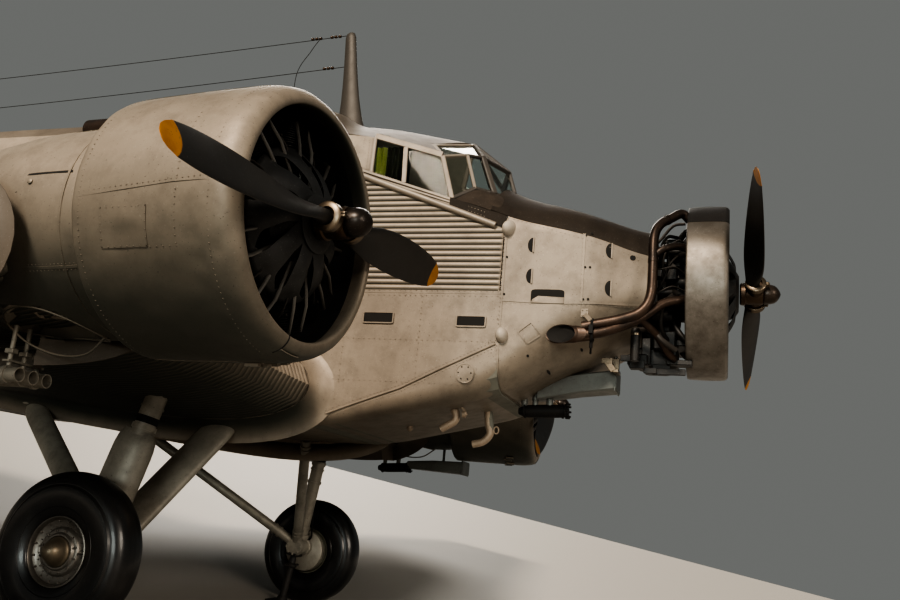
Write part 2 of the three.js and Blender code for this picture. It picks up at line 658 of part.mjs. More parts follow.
const tailplane = { height: 750, rootY: 60, tipY: 4700, hinge: -16760, elevatorTip: 4880 };
const tailplaneSections = [
  { y: tailplane.rootY, lead: -15300, depth: 210 },
  { y: tailplane.tipY, lead: -15880, depth: 110 },
];
const strutSpots = { hull: [-15750, 300, -300], plane: [-15900, 2300, 690] };
const elevatorHingeYs = [900, tailplane.tipY - 60];
const onPlane = (sign) => (x, y, z = 0) => [x, sign * y, tailplane.height + z];
const tailplaneBody = (sign, grow) => loft(tailplaneSections.map(({ y, lead, depth }) =>
  plateRing(lead, tailplane.hinge + 70, depth + grow, true, (x, z) => onPlane(sign)(x, y, z))));
for (const { name, sign } of sides) {
  const at = onPlane(sign);
  const brackets = elevatorHingeYs.map((y) => join(
    box(at(tailplane.hinge + 45, y), [100, 24, 28]),
    bar(at(tailplane.hinge, y - 40), at(tailplane.hinge, y + 40), hingePin, hingePin, 12)));
  piece(`tailplane_${name}`, join(cut(tailplaneBody(sign, 0), tailRoom), ...brackets), 'paint');
}

for (const { name, sign } of sides) {
  const [hull, plane] = [strutSpots.hull, strutSpots.plane].map(([x, y, z]) => [x, sign * y, z]);
  const strut = streamlined(hull, plane, 120, 46);
  piece(`tailplane_strut_${name}`, cut(strut, tailplaneBody(sign, 2 * gap), tailRoom), 'paint');
}

for (const { name, sign } of sides) {
  const inner = 330;
  const sections = [
    { y: inner, lead: tailplane.hinge + 50, trail: -17330, depth: 130 },
    { y: tailplane.tipY + 6, lead: tailplane.hinge + 50, trail: -17250, depth: 90 },
  ];
  const horn = [
    { y: tailplane.tipY + 6, lead: -16060, trail: -17250, depth: 90 },
    { y: tailplane.elevatorTip, lead: -16300, trail: -17150, depth: 50 },
  ];
  const at = onPlane(sign);
  const shape = (list) => loft(list.map(({ y, lead, trail, depth }) =>
    plateRing(lead, trail, depth, false, (x, z) => at(x, y, z))));
  const slots = elevatorHingeYs.map((y) => box(at(tailplane.hinge + 38, y), [144, 36, 200]));
  const bores = elevatorHingeYs.map((y) => pinHole(at(tailplane.hinge, y - 41), at(tailplane.hinge, y + 41)));
  piece(`elevator_${name}`, cut(join(shape(sections), shape(horn)), ...slots, ...bores), 'paint');
}

// Aerial mast on the roof behind the cockpit
const mast = { x: -3850, foot: 1600, top: 2780, lean: -130 };
const mastBody = join(
  streamlined([mast.x, 0, mast.foot], [mast.x + mast.lean, 0, mast.top], 120, 60),
  loft([[0, 250, 150], [180, 130, 70]].map(([rise, chord, depth]) =>
    plateRing(mast.x + chord / 2, mast.x - chord / 2, depth, true, (x, y) => [x, y, mast.foot + rise]))));
const lastStation = cockpitStations[cockpitStations.length - 1];
const roofStations = [...cockpitStations.slice(-2), { ...lastStation, x: cabinFront }];
const cockpitRoofRoom = loft(roofStations.map((station) => cockpitRing(station, -1, 0)));
piece('mast', cut(mastBody, hullSolid(cockpitRear, -5000, gap), cockpitRoofRoom), 'paint');

// Wings, each a solid from the hull side to the tip
const wingYs = [wing.rootY, 5200, wing.tipY];
const flapStart = wing.rootY + 60;
const flapEnd = 7600;
const aileronEnd = 14650;
const hingeYs = { flap: [flapStart + 500, flapEnd - 500], aileron: [flapEnd + 600, wing.tipY - 150] };
function rearSurface(y) {
  const section = wingSection(y);
  const share = (Math.abs(y) - wing.rootY) / (wing.tipY - wing.rootY);
  const chord = 1220 - 560 * share;
  const lead = section.trail - flapGap;
  return { lead, trail: lead - chord, height: section.height - 40, depth: 0.15 * chord };
}
const hingeBack = 95;
function hingePlace(y, sign) {
  const surface = rearSurface(y);
  return [surface.lead - hingeBack, sign * y, surface.height];
}

// The hinge line of a rear surface is straight through its two hinges
function bracketOf(y, sign, ahead) {
  const [x, py, z] = hingePlace(y, sign);
  const arm = box([x + ahead / 2, py, z], [ahead, 26, 44]);
  const [ax, ay, az] = hingePlace(y - 50, sign);
  const [bx, by, bz] = hingePlace(y + 50, sign);
  return join(arm, bar([ax, ay, az], [bx, by, bz], hingePin, hingePin, 12));
}
function wingSolid(sign, grow = 0) {
  return loft(wingYs.map((y) => foilRing({ ...wingSection(y), y: sign * y }, grow)));
}
for (const { name, sign } of sides) {
  const brackets = [...hingeYs.flap, ...hingeYs.aileron].map((y) => bracketOf(y, sign, 420));
  piece(`wing_${name}`, join(wingSolid(sign), ...brackets), 'paint');
}

function surfaceSolid(sign, from, to, hinges) {
  const body = loft([from, to].map((y) => {
    const { lead, trail, height, depth } = rearSurface(y);
    return plateRing(lead, trail, depth, false, (x, z) => [x, sign * (y - z * dihedral), height + z]);
  }));
  const slots = hinges.map((y) => {
    const [x, py, z] = hingePlace(y, sign);
    return box([x + 65, py, z], [190, 38, 400]);
  });
  const bores = hinges.map((y) => pinHole(hingePlace(y - 51, sign), hingePlace(y + 51, sign)));
  return cut(body, ...slots, ...bores);
}
for (const { name, sign } of sides) {
  piece(`flap_${name}`, surfaceSolid(sign, flapStart, flapEnd, hingeYs.flap), 'paint');
  piece(`aileron_${name}`, surfaceSolid(sign, flapEnd + 12, aileronEnd, hingeYs.aileron), 'paint');
}

// Engines, cowls and propellers, made at the hub and then placed
function placed(solid, hub, toeDegrees) {
  const turn = new THREE.Matrix4().makeRotationZ(THREE.MathUtils.degToRad(toeDegrees)).setPosition(...hub);
  const geometry = geometryOf(solid).applyMatrix4(turn);
  return solidOf(geometry);
}

const cylinderCount = 9;
const cylinder = { x: -400, barrel: 72, head: 96, crown: 80, headLength: 110 };
const spokeAngle = (i) => (2 * Math.PI * i) / cylinderCount + Math.PI / 2;

// Crankcase with its cylinders, all faces moved out by grow
function engineSolid(rear, outer, grow = 0) {
  const profile = [[-130, 70], [-230, 90], [-260, 200], [-560, 235], [-640, 200], [rear, 180]];
  const core = turned([[-130, 0], ...profile.map(([x, r]) => [x, r + grow]), [rear, 0]], 18);
  const cylinders = [];
  for (let i = 0; i < cylinderCount; i += 1) {
    const t = spokeAngle(i);
    const at = (r) => [cylinder.x, r * Math.cos(t), r * Math.sin(t)];
    const shoulder = outer - cylinder.headLength;
    const [barrel, head, crown] = [cylinder.barrel + grow, cylinder.head + grow, cylinder.crown + grow];
    cylinders.push(bar(at(150), at(shoulder), barrel, barrel, 6));
    cylinders.push(bar(at(shoulder - 1 - grow), at(outer + grow), head, crown, 8));
  }
  return join(core, ...cylinders);
}

// Pushrods in pairs ahead of each cylinder, and the slotted star that guides the cooling air
const pushrod = { spread: 45, flare: 1.2, foot: [-280, 190], top: [-350, 60], radius: 12 };
const star = { inner: [-146, 150], outer: [-290, 405], plate: 8, bore: 60 };
const starSlot = { from: 190, to: 380, width: 70, lean: 25 };
function engineFront(outer) {
  const pieces = [];
  for (let i = 0; i < cylinderCount; i += 1) {
    const [cos, sin] = [Math.cos(spokeAngle(i)), Math.sin(spokeAngle(i))];
    const at = (x, r, side) => [x, r * cos - side * sin, r * sin + side * cos];
    for (const side of [-pushrod.spread, pushrod.spread]) {
      const [footX, footR] = pushrod.foot;
      const [topX, topDrop] = pushrod.top;
      const top = at(topX, outer - topDrop, side * pushrod.flare);
      pieces.push(bar(at(footX, footR, side), top, pushrod.radius, pushrod.radius, 4));
    }
  }
  const [inX, inR] = star.inner;
  const [outX, outR] = star.outer;
  const inBack = inX - 2 * star.plate;
  const disc = turnedRing([
    [inX, star.bore], [inX, inR], [outX, outR], [outX - star.plate, outR], [inBack, inR], [inBack, star.bore],
  ], 18);
  const { from, to, width, lean } = starSlot;
  const slots = [];
  for (let i = 0; i < cylinderCount; i += 1) {
    const slot = new THREE.BoxGeometry(300, width, to - from).translate(0, 0, (from + to) / 2)
      .applyMatrix4(new THREE.Matrix4().makeShear(0, 0, 0, 0, 0, Math.tan(THREE.MathUtils.degToRad(lean))))
      .rotateX(spokeAngle(i + 0.5) - Math.PI / 2).translate((inX + outX) / 2, 0, 0);
    slots.push(solidOf(slot));
  }
  return join(...pieces, cut(disc, ...slots));
}

function ringCowl({ front, rear, radius, mouth }) {
  const wall = 26;
  const lip = radius - mouth;
  return turnedRing([
    [rear, radius - wall], [rear, radius - 8], [(front + rear) / 2, radius], [front - lip * 1.3, radius],
    [front - lip * 0.35, radius - lip * 0.3], [front, mouth + lip * 0.35], [front - 12, mouth],
    [front - lip * 0.8, mouth + 12], [front - lip * 1.6, radius - wall],
  ], 30);
}

const hubProfile = [
  [198, 0], [185, 30], [120, 62], [60, 78], [20, 84],
  [20, 105], [-70, 105], [-95, 80], [-129.5, 80], [-129.5, 0],
];
const bladeBack = -25;
const bladeSections = [
  { r: 60, chord: 120, depth: 90, pitch: 60 },
  { r: 260, chord: 130, depth: 80, pitch: 52 },
  { r: 520, chord: 240, depth: 50, pitch: 38 },
  { r: 900, chord: 260, depth: 34, pitch: 27 },
  { r: 1250, chord: 215, depth: 22, pitch: 20 },
  { r: 1420, chord: 120, depth: 12, pitch: 17 },
  { r: propRadius, chord: 46, depth: 8, pitch: 16 },
];
function bladeRing({ r, chord, depth, pitch }, way) {
  const turn = THREE.MathUtils.degToRad(pitch);
  const [sin, cos] = [Math.sin(turn), Math.cos(turn)];
  return plateRing(chord / 2, -chord / 2, depth, true, (c, d) =>
    [bladeBack + c * sin + d * cos, -way * (c * cos - d * sin), way * r]);
}
function propellerSolid(angle) {
  const hub = turned(hubProfile, 12);
  const blades = [1, -1].map((way) => loft(bladeSections.map((section) => bladeRing(section, way))));
  const solid = join(hub, ...blades);
  const turn = new THREE.Matrix4().makeRotationX(THREE.MathUtils.degToRad(angle));
  return solidOf(geometryOf(solid).applyMatrix4(turn));
}

const [sideX, sideY, sideZ] = engineHub.side;
const engines = [
  { name: 'nose', hub: engineHub.nose, toe: 0, sign: 0 },
  { name: 'port', hub: engineHub.side, toe: toeOut, sign: 1 },
  { name: 'starboard', hub: [sideX, -sideY, sideZ], toe: -toeOut, sign: -1 },
];
const engineRear = { nose: firewall.x - 60, side: -1230 };
const engineOuter = { nose: 660, side: 640 };

// What carries the nose engine off the firewall, and the oil sump and pumps under its rear end
const bearers = [[150, 150], [-150, 150], [150, -150], [-150, -150]].map(([y, z]) =>
  bar([-560, y, z], [-900, 2.1 * y, z > 0 ? 1.6 * z : 2.6 * z], 20, 20, 8));
const sump = join(box([-775, 0, -440], [250, 300, 520]), box([-760, -160, -610], [330, 200, 170]));
for (const { name, hub, toe, sign } of engines) {
  const place = sign === 0 ? 'nose' : 'side';
  const [rear, outer] = [engineRear[place], engineOuter[place]];
  const engine = join(engineSolid(rear, outer), engineFront(outer));
  const whole = sign === 0 ? cut(join(engine, ...bearers, sump), noseLoft(gap)) : placed(engine, hub, toe);
  piece(`engine_${name}`, whole, 'engineMetal');
  piece(`propeller_${name}`, placed(propellerSolid(bladeAngle[name]), hub, toe), 'propeller');
}

// Nose exhaust along the starboard side: two pipes gather the cylinders' branches
// and end in one slanted oval mouth
const exhaust = { radius: 31, branch: 26, y: -835, mouthZ: -560 };
const exhaustRoutes = [
  { radius: exhaust.radius, steps: 18, route: [
    [-440, -386, 466], [-505, -405, 496], [-578, -440, 556], [-656, -520, 494],
    [-742, -620, 400], [-780, -680, 270], [-777, -730, 7], [-785, -760, -228],
    [-850, -780, -355], [-990, -800, -424], [-1231, -825, -474], [-1400, exhaust.y, -515],
  ] },
  { radius: exhaust.radius, steps: 10, route: [
    [-440, -520, -300], [-560, -600, -330], [-700, -660, -350], [-862, -720, -426], [-1078, -800, -536],
    [-1231, -825, -575], [-1400, exhaust.y, -600],
  ] },
  { radius: exhaust.branch, steps: 5, route: [
    [-440, -570, 130], [-560, -610, 215], [-690, -690, 180], [-779, -705, 110],
  ] },
  { radius: exhaust.branch, steps: 8, route: [
    [-440, -200, -560], [-510, -250, -580], [-590, -400, -610], [-754, -620, -503], [-862, -720, -426],
  ] },
];
// The mouth is cut on the slant: its outer side ends ahead of its inner side
const mouth = { front: -1330, rear: -1465, slant: 190, halfWidth: 46, halfHeight: 82, wall: 5, depth: 90 };
function mouthRing(x, slant, shrink) {
  const ring = [];
  for (let i = 0; i < 14; i += 1) {
    const t = (2 * Math.PI * i) / 14;
    const [across, up] = [Math.cos(t), Math.sin(t)];
    ring.push([
      x - slant * across / 2,
      exhaust.y + across * (mouth.halfWidth - shrink),
      exhaust.mouthZ + up * (mouth.halfHeight - shrink),
    ]);
  }
  return ring;
}
const mouthBody = loft([mouthRing(mouth.front, 0, 10), mouthRing(mouth.rear, mouth.slant, 0)]);
const boreXs = [mouth.rear + mouth.depth, mouth.rear - 300];
const mouthBore = loft(boreXs.map((x) => mouthRing(x, mouth.slant, mouth.wall)));
const exhaustPipes = exhaustRoutes.map(({ radius, steps, route }) => pipe(route, radius, steps));
const exhaustStrap = join(
  box([-1215, -836, -525], [24, 84, 190]),
  bar([-1215, -800, -440], [-1230, -700, -335], 10, 10, 6));
piece('exhaust_nose', cut(
  join(cut(join(...exhaustPipes, mouthBody), mouthBore), exhaustStrap),
  engineSolid(engineRear.nose, engineOuter.nose, gap), ...bearers, sump, noseLoft(gap)), 'exhaustMetal');

// Nose ring held by stays from the cylinders
const stay = { length: 170, radius: 14 };
function ringStays(radius) {
  const stays = [];
  for (let i = 0; i < cylinderCount; i += 1) {
    const t = spokeAngle(i);
    const at = (r) => [cylinder.x, r * Math.cos(t), r * Math.sin(t)];
    stays.push(bar(at(radius - stay.length), at(radius), stay.radius, stay.radius, 4));
  }
  return stays;
}
const noseRingBody = turnedRing([
  [noseRing.rear, noseRing.radius - 12], [noseRing.rear, noseRing.radius],
  [noseRing.front - 70, noseRing.radius], [noseRing.front - 10, noseRing.radius - 12],
  [noseRing.front, noseRing.radius - 40],
  [noseRing.front - 60, noseRing.radius - 14],
], 30);
piece('cowl_nose', cut(
  join(noseRingBody, ...ringStays(noseRing.radius - 6)),
  engineSolid(engineRear.nose, engineOuter.nose, gap)), 'bareMetal');

for (const { name, hub, toe } of engines.slice(1)) {
  const ring = join(ringCowl(sideCowl), ...ringStays(sideCowl.radius - 20));
  const cowl = cut(ring, engineSolid(engineRear.side, engineOuter.side, gap));
  piece(`cowl_${name}`, placed(cowl, hub, toe), 'paint');
}

// Nacelles behind the side engines, cut by the wing
const nacelleSections = [
  { x: engineRear.side - gap, r: 560, z: 0 },
  { x: -1500, r: 640, z: -10 },
  { x: -2000, r: 620, z: -20 },
  { x: -2900, r: 480, z: -20 },
  { x: -3900, r: 200, z: -10 },
];
function nacelleSolid({ hub, toe }, grow = 0) {
  return placed(loft(nacelleSections.map(({ x, r, z }) => {
    const ring = [];
    for (let i = 0; i < 20; i += 1) {
      const t = (2 * Math.PI * i) / 20;
      ring.push([x, (r + grow) * Math.cos(t), z + (r + grow) * Math.sin(t)]);
    }
    return ring;
  })), hub, toe);
}
for (const engine of engines.slice(1)) {
  piece(`nacelle_${engine.name}`, cut(nacelleSolid(engine), wingSolid(engine.sign, gap)), 'paint');
}

// Oil coolers: a flat duct that narrows rearwards, and behind it a round filter hung on upright stubs
function oilCooler({ y, rows, filter, stubs, stubTop, hangers, room }) {
  const duct = loft(rows.map(([x, z, halfWidth, halfHeight]) => [
    [x, y - halfWidth, z - halfHeight], [x, y + halfWidth, z - halfHeight],
    [x, y + halfWidth, z + halfHeight], [x, y - halfWidth, z + halfHeight],
  ]));
  const [start, end] = filter.ends.map(([x, z]) => [x, y, z]);
  const body = bar(start, end, filter.radius, filter.radius, 14);
  const flange = bar(start, [start[0] - 24, y, start[2]], filter.radius + 9, filter.radius + 9, 14);
  const levelAt = (x) => start[2] + (end[2] - start[2]) * ((x - start[0]) / (end[0] - start[0]));
  const posts = stubs.map(({ x, radius }) => bar([x, y, levelAt(x)], [x, y, stubTop], radius, radius, 10));
  const ties = hangers.map(([x, low, high, radius]) => bar([x, y, low], [x, y, high], radius, radius, 8));
  return cut(join(duct, body, flange, ...posts, ...ties), ...room);
}
piece('oil_cooler_nose', oilCooler({
  y: 0,
  rows: [[-1090, -781, 150, 81], [-1400, -820, 130, 82], [-1600, -855, 105, 85], [-1760, -905, 90, 60]],
  filter: { ends: [[-1500, -1045], [-1930, -1065]], radius: 56 },
  stubs: [{ x: -1665, radius: 30 }, { x: -1790, radius: 24 }, { x: -1885, radius: 24 }],
  stubTop: -800,
  hangers: [[-1120, -720, -560, 16]],
  room: [noseLoft(gap)],
}), 'bareMetal');
const portEngine = engines.find(({ name }) => name === 'port');
piece('oil_cooler_port', oilCooler({
  y: engineHub.side[1],
  rows: [[-3300, -1380, 150, 72], [-3700, -1375, 130, 62], [-4060, -1380, 60, 45]],
  filter: { ends: [[-4030, -1410], [-4460, -1440]], radius: 56 },
  stubs: [{ x: -4200, radius: 26 }, { x: -4380, radius: 24 }],
  stubTop: -1000,
  hangers: [[-3600, -1360, -1000, 18]],
  room: [nacelleSolid(portEngine, gap), wingSolid(portEngine.sign, gap)],
}), 'bareMetal');

// Three open pipes under the starboard nacelle, side by side on one strap, each with its own hanger
const wingPipes = { front: -4190, length: 420, ys: [-3240, -3130, -3020], z: -1425, radius: 36, bore: 31 };
const wingStrap = { x: wingPipes.front - 100, rise: 80, size: [50, 300, 14] };
const starboardEngine = engines.find(({ name }) => name === 'starboard');
const pipeBodies = wingPipes.ys.map((y) => {
  const { front, length, z, radius, bore } = wingPipes;
  const alongX = (from, to, r) => bar([from, y, z], [to, y, z], r, r, 9);
  const tube = cut(alongX(front, front - length, radius), alongX(front + 5, front - length - 5, bore));
  return join(tube, bar([wingStrap.x, y, z + bore + 2], [wingStrap.x, y, -1000], 15, 15, 8));
});
const pipeStrap = box([wingStrap.x, wingPipes.ys[1], wingPipes.z + wingStrap.rise], wingStrap.size);
piece('wing_pipes_starboard', cut(
  join(...pipeBodies, pipeStrap),
  nacelleSolid(starboardEngine, gap), wingSolid(starboardEngine.sign, gap)), 'bareMetal');

// Landing gear: two V struts, a shock leg and a stub axle on each side
const gearFrame = {
  joint: [-4650, 1600, -2420], leg: [-4400, 1550, -1150],
  front: [-4280, 760, -1340], rear: [-6200, 780, -1300],
};
const knotSize = { inner: 1540, outer: 1780, radius: [95, 85] };
function knotSolid(sign, grow = 0) {
  const [joint, drop] = [gearFrame.joint, wheel.z + 20];
  return bar(
    [joint[0], sign * (knotSize.inner - grow), joint[2]], [joint[0], sign * (knotSize.outer + grow), drop],
    knotSize.radius[0] + grow, knotSize.radius[1] + grow, 14);
}
const axleSolid = (sign, inner, outer, radius) =>
  bar([wheel.x, sign * inner, wheel.z], [wheel.x, sign * outer, wheel.z], radius, radius, 24);
function gearSolid(sign, faired) {
  const { joint, front, rear, leg } = gearFrame;
  const at = ([x, y, z]) => [x, sign * y, z];
  const legFoot = [joint[0] - 10, sign * 1700, joint[2] + 60];
  const axle = axleSolid(sign, 1560, wheel.y + 150, axleBore);
  const knot = knotSolid(sign);
  const struts = faired
    ? [streamlined(at(joint), at(front), 280, 110), streamlined(at(joint), at(rear), 230, 100)]
    : [bar(at(joint), at(front), 52, 52, 14), bar(at(joint), at(rear), 50, 50, 14)];
  const leg1 = bar(legFoot, at(leg), faired ? 70 : 67, faired ? 70 : 62, 16);
  const leg2 = faired ? [streamlined(legFoot, [joint[0] + 110, sign * 1640, joint[2] + 560], 380, 190)] : [];
  return join(axle, knot, ...struts, leg1, ...leg2);
}
const hullRoom = loft([-3500, -7400].map((x) => {
  const station = hullAt(x);
  const half = [...lowerHalf(station, gap), [x, -station.half - gap, floorTop]];
  return [...half, ...mirrorY(half).reverse()];
}));
for (const { name, sign } of sides) {
  piece(`gear_${name}`, cut(gearSolid(sign, sign < 0), wingSolid(sign, gap), hullRoom), 'paint');
}

// Stands under the axle joints, upright on the floor
const groundTurn = THREE.MathUtils.degToRad(groundAngle);
const upright = new THREE.Matrix4().makeRotationY(groundTurn);
const levelOf = (x, z) => x * Math.sin(groundTurn) + z * Math.cos(groundTurn);
const floorLevel = levelOf(wheel.x, wheel.z) - wheel.radius;
const stand = { post: 38, foot: 260, plate: 14, lift: 0.5 };
for (const { name, sign } of sides) {
  const [jointX, jointY, jointZ] = gearFrame.joint;
  const top = new THREE.Vector3(jointX, sign * jointY, jointZ).applyMatrix4(upright.clone().invert());
  const low = floorLevel + stand.lift;
  const post = join(
    bar([top.x, top.y, low + 2], [top.x, top.y, top.z], stand.post, stand.post, 12),
    bar([top.x, top.y, top.z - 150], [top.x, top.y, top.z - 60], 60, 60, 12),
    box([top.x, top.y, low + stand.plate / 2], [stand.foot, stand.foot, stand.plate]));
  const placedPost = solidOf(geometryOf(post).applyMatrix4(upright));
  const axleRoom = axleSolid(sign, 1500, 1800, axleBore + gap);
  piece(`axle_stand_${name}`, cut(placedPost, knotSolid(sign, gap), axleRoom), 'interior');
}

function tyreRing() {
  const half = wheel.width / 2;
  const rim = 300;
  const flank = [
    [half * 0.75, rim], [half, rim + 90],
    [half * 0.92, wheel.radius - 80], [half * 0.55, wheel.radius - 16],
  ];
  const mirroredFlank = flank.map(([x, r]) => [-x, r]);
  return turnedRing([...mirroredFlank, [0, wheel.radius], ...flank.reverse()], 40);
}
const alongYat = (solid, x, y, z) => solidOf(geometryOf(solid).rotateZ(Math.PI / 2).translate(x, y, z));
for (const { name, sign } of sides) {
  const hub = turned([[-120, 0], [-118, 200], [-100, 299], [100, 299], [96, 180], [150, 110], [160, 0]], 24);
  const bore = bar([-200, 0, 0], [151, 0, 0], axleBore + runningFit, axleBore + runningFit, 24);
  const hubPart = sign < 0 ? solidOf(geometryOf(cut(hub, bore)).rotateZ(Math.PI)) : cut(hub, bore);
  const spot = [wheel.x, sign * wheel.y, wheel.z];
  piece(`tyre_${name}`, alongYat(tyreRing(), ...spot), 'rubber');
  piece(`wheel_hub_${name}`, alongYat(hubPart, ...spot), 'bareMetal');
}

// Tail wheel with its swivelling fork
const tailWheelZ = (floorLevel + tailWheel.radius - levelOf(tailWheel.x, 0)) / levelOf(0, 1);
const forkX = fork.x;
const forkCrown = tailWheelZ + tailWheel.radius + 25;
const prong = { inner: 80, outer: 104 };
function prongRing(s, front, rear, z) {
  const [inner, outer] = [s * prong.inner, s * prong.outer];
  return [[front, inner, z], [front, outer, z], [rear, outer, z], [rear, inner, z]];
}
piece('tail_fork', join(
  bar([forkX, 0, forkCrown], [forkX, 0, forkBossLow - gap], fork.stem, fork.stem, 14),
  box([forkX - 20, 0, forkCrown + 20], [150, 210, 40]),
  ...[1, -1].map((s) => loft([
    prongRing(s, forkX + 40, forkX - 90, forkCrown + 10),
    prongRing(s, tailWheel.x + 30, tailWheel.x - 30, tailWheelZ - 30),
  ])),
  bar([tailWheel.x, -90, tailWheelZ], [tailWheel.x, 90, tailWheelZ], 20, 20, 16)), 'paint');
const tailTread = [[60, 110], [58, 190], [30, 240]];
const tailTyre = turned([
  [-60, 0], ...tailTread.map(([x, r]) => [-x, r]), [0, tailWheel.radius], ...tailTread.reverse(), [60, 0],
], 28);
const tailBore = bar([-80, 0, 0], [80, 0, 0], 20.8, 20.8, 16);
piece('tail_wheel', alongYat(cut(tailTyre, tailBore), tailWheel.x, 0, tailWheelZ), 'rubber');

// The aircraft, turned to its ground angle and stood on the middle of its footprint
const aircraft = new THREE.Group();
aircraft.add(...parts);
aircraft.rotation.y = -THREE.MathUtils.degToRad(groundAngle);
aircraft.updateMatrixWorld(true);
const bounds = new THREE.Box3().setFromObject(aircraft, true);
const centre = bounds.getCenter(new THREE.Vector3());
aircraft.position.set(-centre.x, -centre.y, -bounds.min.z);
const transport = new THREE.Group();
transport.add(aircraft);
export default transport;
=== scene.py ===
import bpy
import json
import math
import numpy as np
from mathutils import Matrix, Vector


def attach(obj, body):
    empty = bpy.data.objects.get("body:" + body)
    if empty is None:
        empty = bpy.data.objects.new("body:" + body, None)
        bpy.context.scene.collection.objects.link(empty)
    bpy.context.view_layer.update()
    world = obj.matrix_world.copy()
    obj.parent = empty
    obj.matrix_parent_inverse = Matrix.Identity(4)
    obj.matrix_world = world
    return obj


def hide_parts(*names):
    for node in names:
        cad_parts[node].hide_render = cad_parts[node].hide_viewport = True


# Three-engined transport plane: corrugated skins, engines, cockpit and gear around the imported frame.
# Everything is worked out in the aircraft's own frame (nose hub at zero, x forward, y to port, z up)
# and then stood nose-up on the floor by toRow.

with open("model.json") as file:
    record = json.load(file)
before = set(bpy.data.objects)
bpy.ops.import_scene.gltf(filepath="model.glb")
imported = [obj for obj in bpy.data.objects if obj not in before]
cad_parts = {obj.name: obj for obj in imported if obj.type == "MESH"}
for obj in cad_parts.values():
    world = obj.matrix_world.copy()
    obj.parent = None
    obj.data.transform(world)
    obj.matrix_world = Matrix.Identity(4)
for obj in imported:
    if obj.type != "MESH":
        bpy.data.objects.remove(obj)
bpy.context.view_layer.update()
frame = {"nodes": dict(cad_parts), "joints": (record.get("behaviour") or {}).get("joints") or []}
print("frame loaded:", len(frame["nodes"]), "nodes")

joints = {j["name"]: j for j in frame["joints"]}
noseHub = np.array(joints["propeller_nose_spin"]["pos_m"])
stance = math.radians(9.493)
noseUp = np.array([[math.cos(stance), 0, -math.sin(stance)], [0, 1, 0],
                   [math.sin(stance), 0, math.cos(stance)]])


def toRow(points):  # aircraft frame to the row frame: turn nose-up, then shift to the hub
    return np.asarray(points, float) @ noseUp.T + noseHub


def toAircraft(points):
    return (np.asarray(points, float) - noseHub) @ noseUp


# Camera, solved from the photograph, its place given from the nose hub
cameraView = {"offset": (0.116, -7.506, -2.066), "yaw": 109.859, "pitch": 11.017, "roll": 14.331,
              "lens": 35.52}


def makeCamera(view):
    yaw, pitch, roll = (math.radians(view[k]) for k in ("yaw", "pitch", "roll"))
    ahead = np.array([math.cos(yaw) * math.cos(pitch), math.sin(yaw) * math.cos(pitch), math.sin(pitch)])
    level = np.array([math.sin(yaw), -math.cos(yaw), 0.0])
    over = np.cross(level, ahead)
    right = math.cos(roll) * level + math.sin(roll) * over
    up = -math.sin(roll) * level + math.cos(roll) * over
    data = bpy.data.cameras.new("camera")
    data.sensor_width = 36
    data.lens = view["lens"]
    camera = bpy.data.objects.new("camera", data)
    bpy.context.scene.collection.objects.link(camera)
    camera.matrix_world = Matrix([[*row, place] for row, place in
                                  zip(np.stack([right, up, -ahead], 1),
                                      noseHub + np.array(view["offset"]))] + [[0, 0, 0, 1]])
    bpy.context.scene.camera = camera


makeCamera(cameraView)


# Surfaces. A surface is a dictionary of corner points, four-sided faces and three-sided faces.
def grid(points, wrapU=False, wrapV=False, capStart=False, capEnd=False):
    # points[u, v] is a net of corners; neighbours make a
    # face, and an end row is closed by a fan to its middle
    points = np.asarray(points, float)
    nu, nv = points.shape[:2]
    index = np.arange(nu * nv).reshape(nu, nv)
    rows = np.append(index, index[:1], 0) if wrapU else index
    cells = np.append(rows, rows[:, :1], 1) if wrapV else rows
    quads = np.stack([cells[:-1, :-1], cells[:-1, 1:], cells[1:, 1:], cells[1:, :-1]], -1).reshape(-1, 4)
    verts = points.reshape(-1, 3)
    tris = []
    for wanted, ring, turn in ((capStart, cells[0], -1), (capEnd, cells[-1], 1)):
        if wanted:
            middle = points[0 if turn < 0 else -1].mean(0)
            verts = np.vstack([verts, middle])
            ring = ring[::turn]
            tris.append(np.stack([ring[:-1], ring[1:], np.full(len(ring) - 1, len(verts) - 1)], -1))
    return {"v": verts, "q": quads, "t": np.concatenate(tris) if tris else np.zeros((0, 3), int)}


def solid(net):  # a closed body: rings of corners one after the other, both ends closed
    return outward(grid(net, wrapV=True, capStart=True, capEnd=True))


def unit(vectors):
    return vectors / np.linalg.norm(vectors, axis=-1, keepdims=True)


def roundAngles(count):
    return 2 * math.pi * np.arange(count) / count


def roundSteps(count):  # shares from 0 to 1, closer together towards both ends
    return (1 - np.cos(np.pi * np.linspace(0, 1, count))) / 2


def merged(surfaces):
    step = np.cumsum([0] + [len(s["v"]) for s in surfaces[:-1]])
    return {"v": np.concatenate([s["v"] for s in surfaces]),
            "q": np.concatenate([s["q"] + n for s, n in zip(surfaces, step)]),
            "t": np.concatenate([s["t"] + n for s, n in zip(surfaces, step)])}


def moved(surface, change):
    return {**surface, "v": change(surface["v"])}


def flipped(surface):
    return {"v": surface["v"], "q": surface["q"][:, ::-1], "t": surface["t"][:, ::-1]}


def outward(surface):  # a closed surface is turned so that the volume inside it is positive
    tris = np.concatenate([surface["q"][:, [0, 1, 2]], surface["q"][:, [0, 2, 3]], surface["t"]])
    a, b, c = (surface["v"][tris[:, k]] - surface["v"].mean(0) for k in range(3))
    return flipped(surface) if np.einsum("ij,ij->i", a, np.cross(b, c)).sum() < 0 else surface


def mirrored(surface):
    return flipped(moved(surface, lambda v: v * [1, -1, 1]))


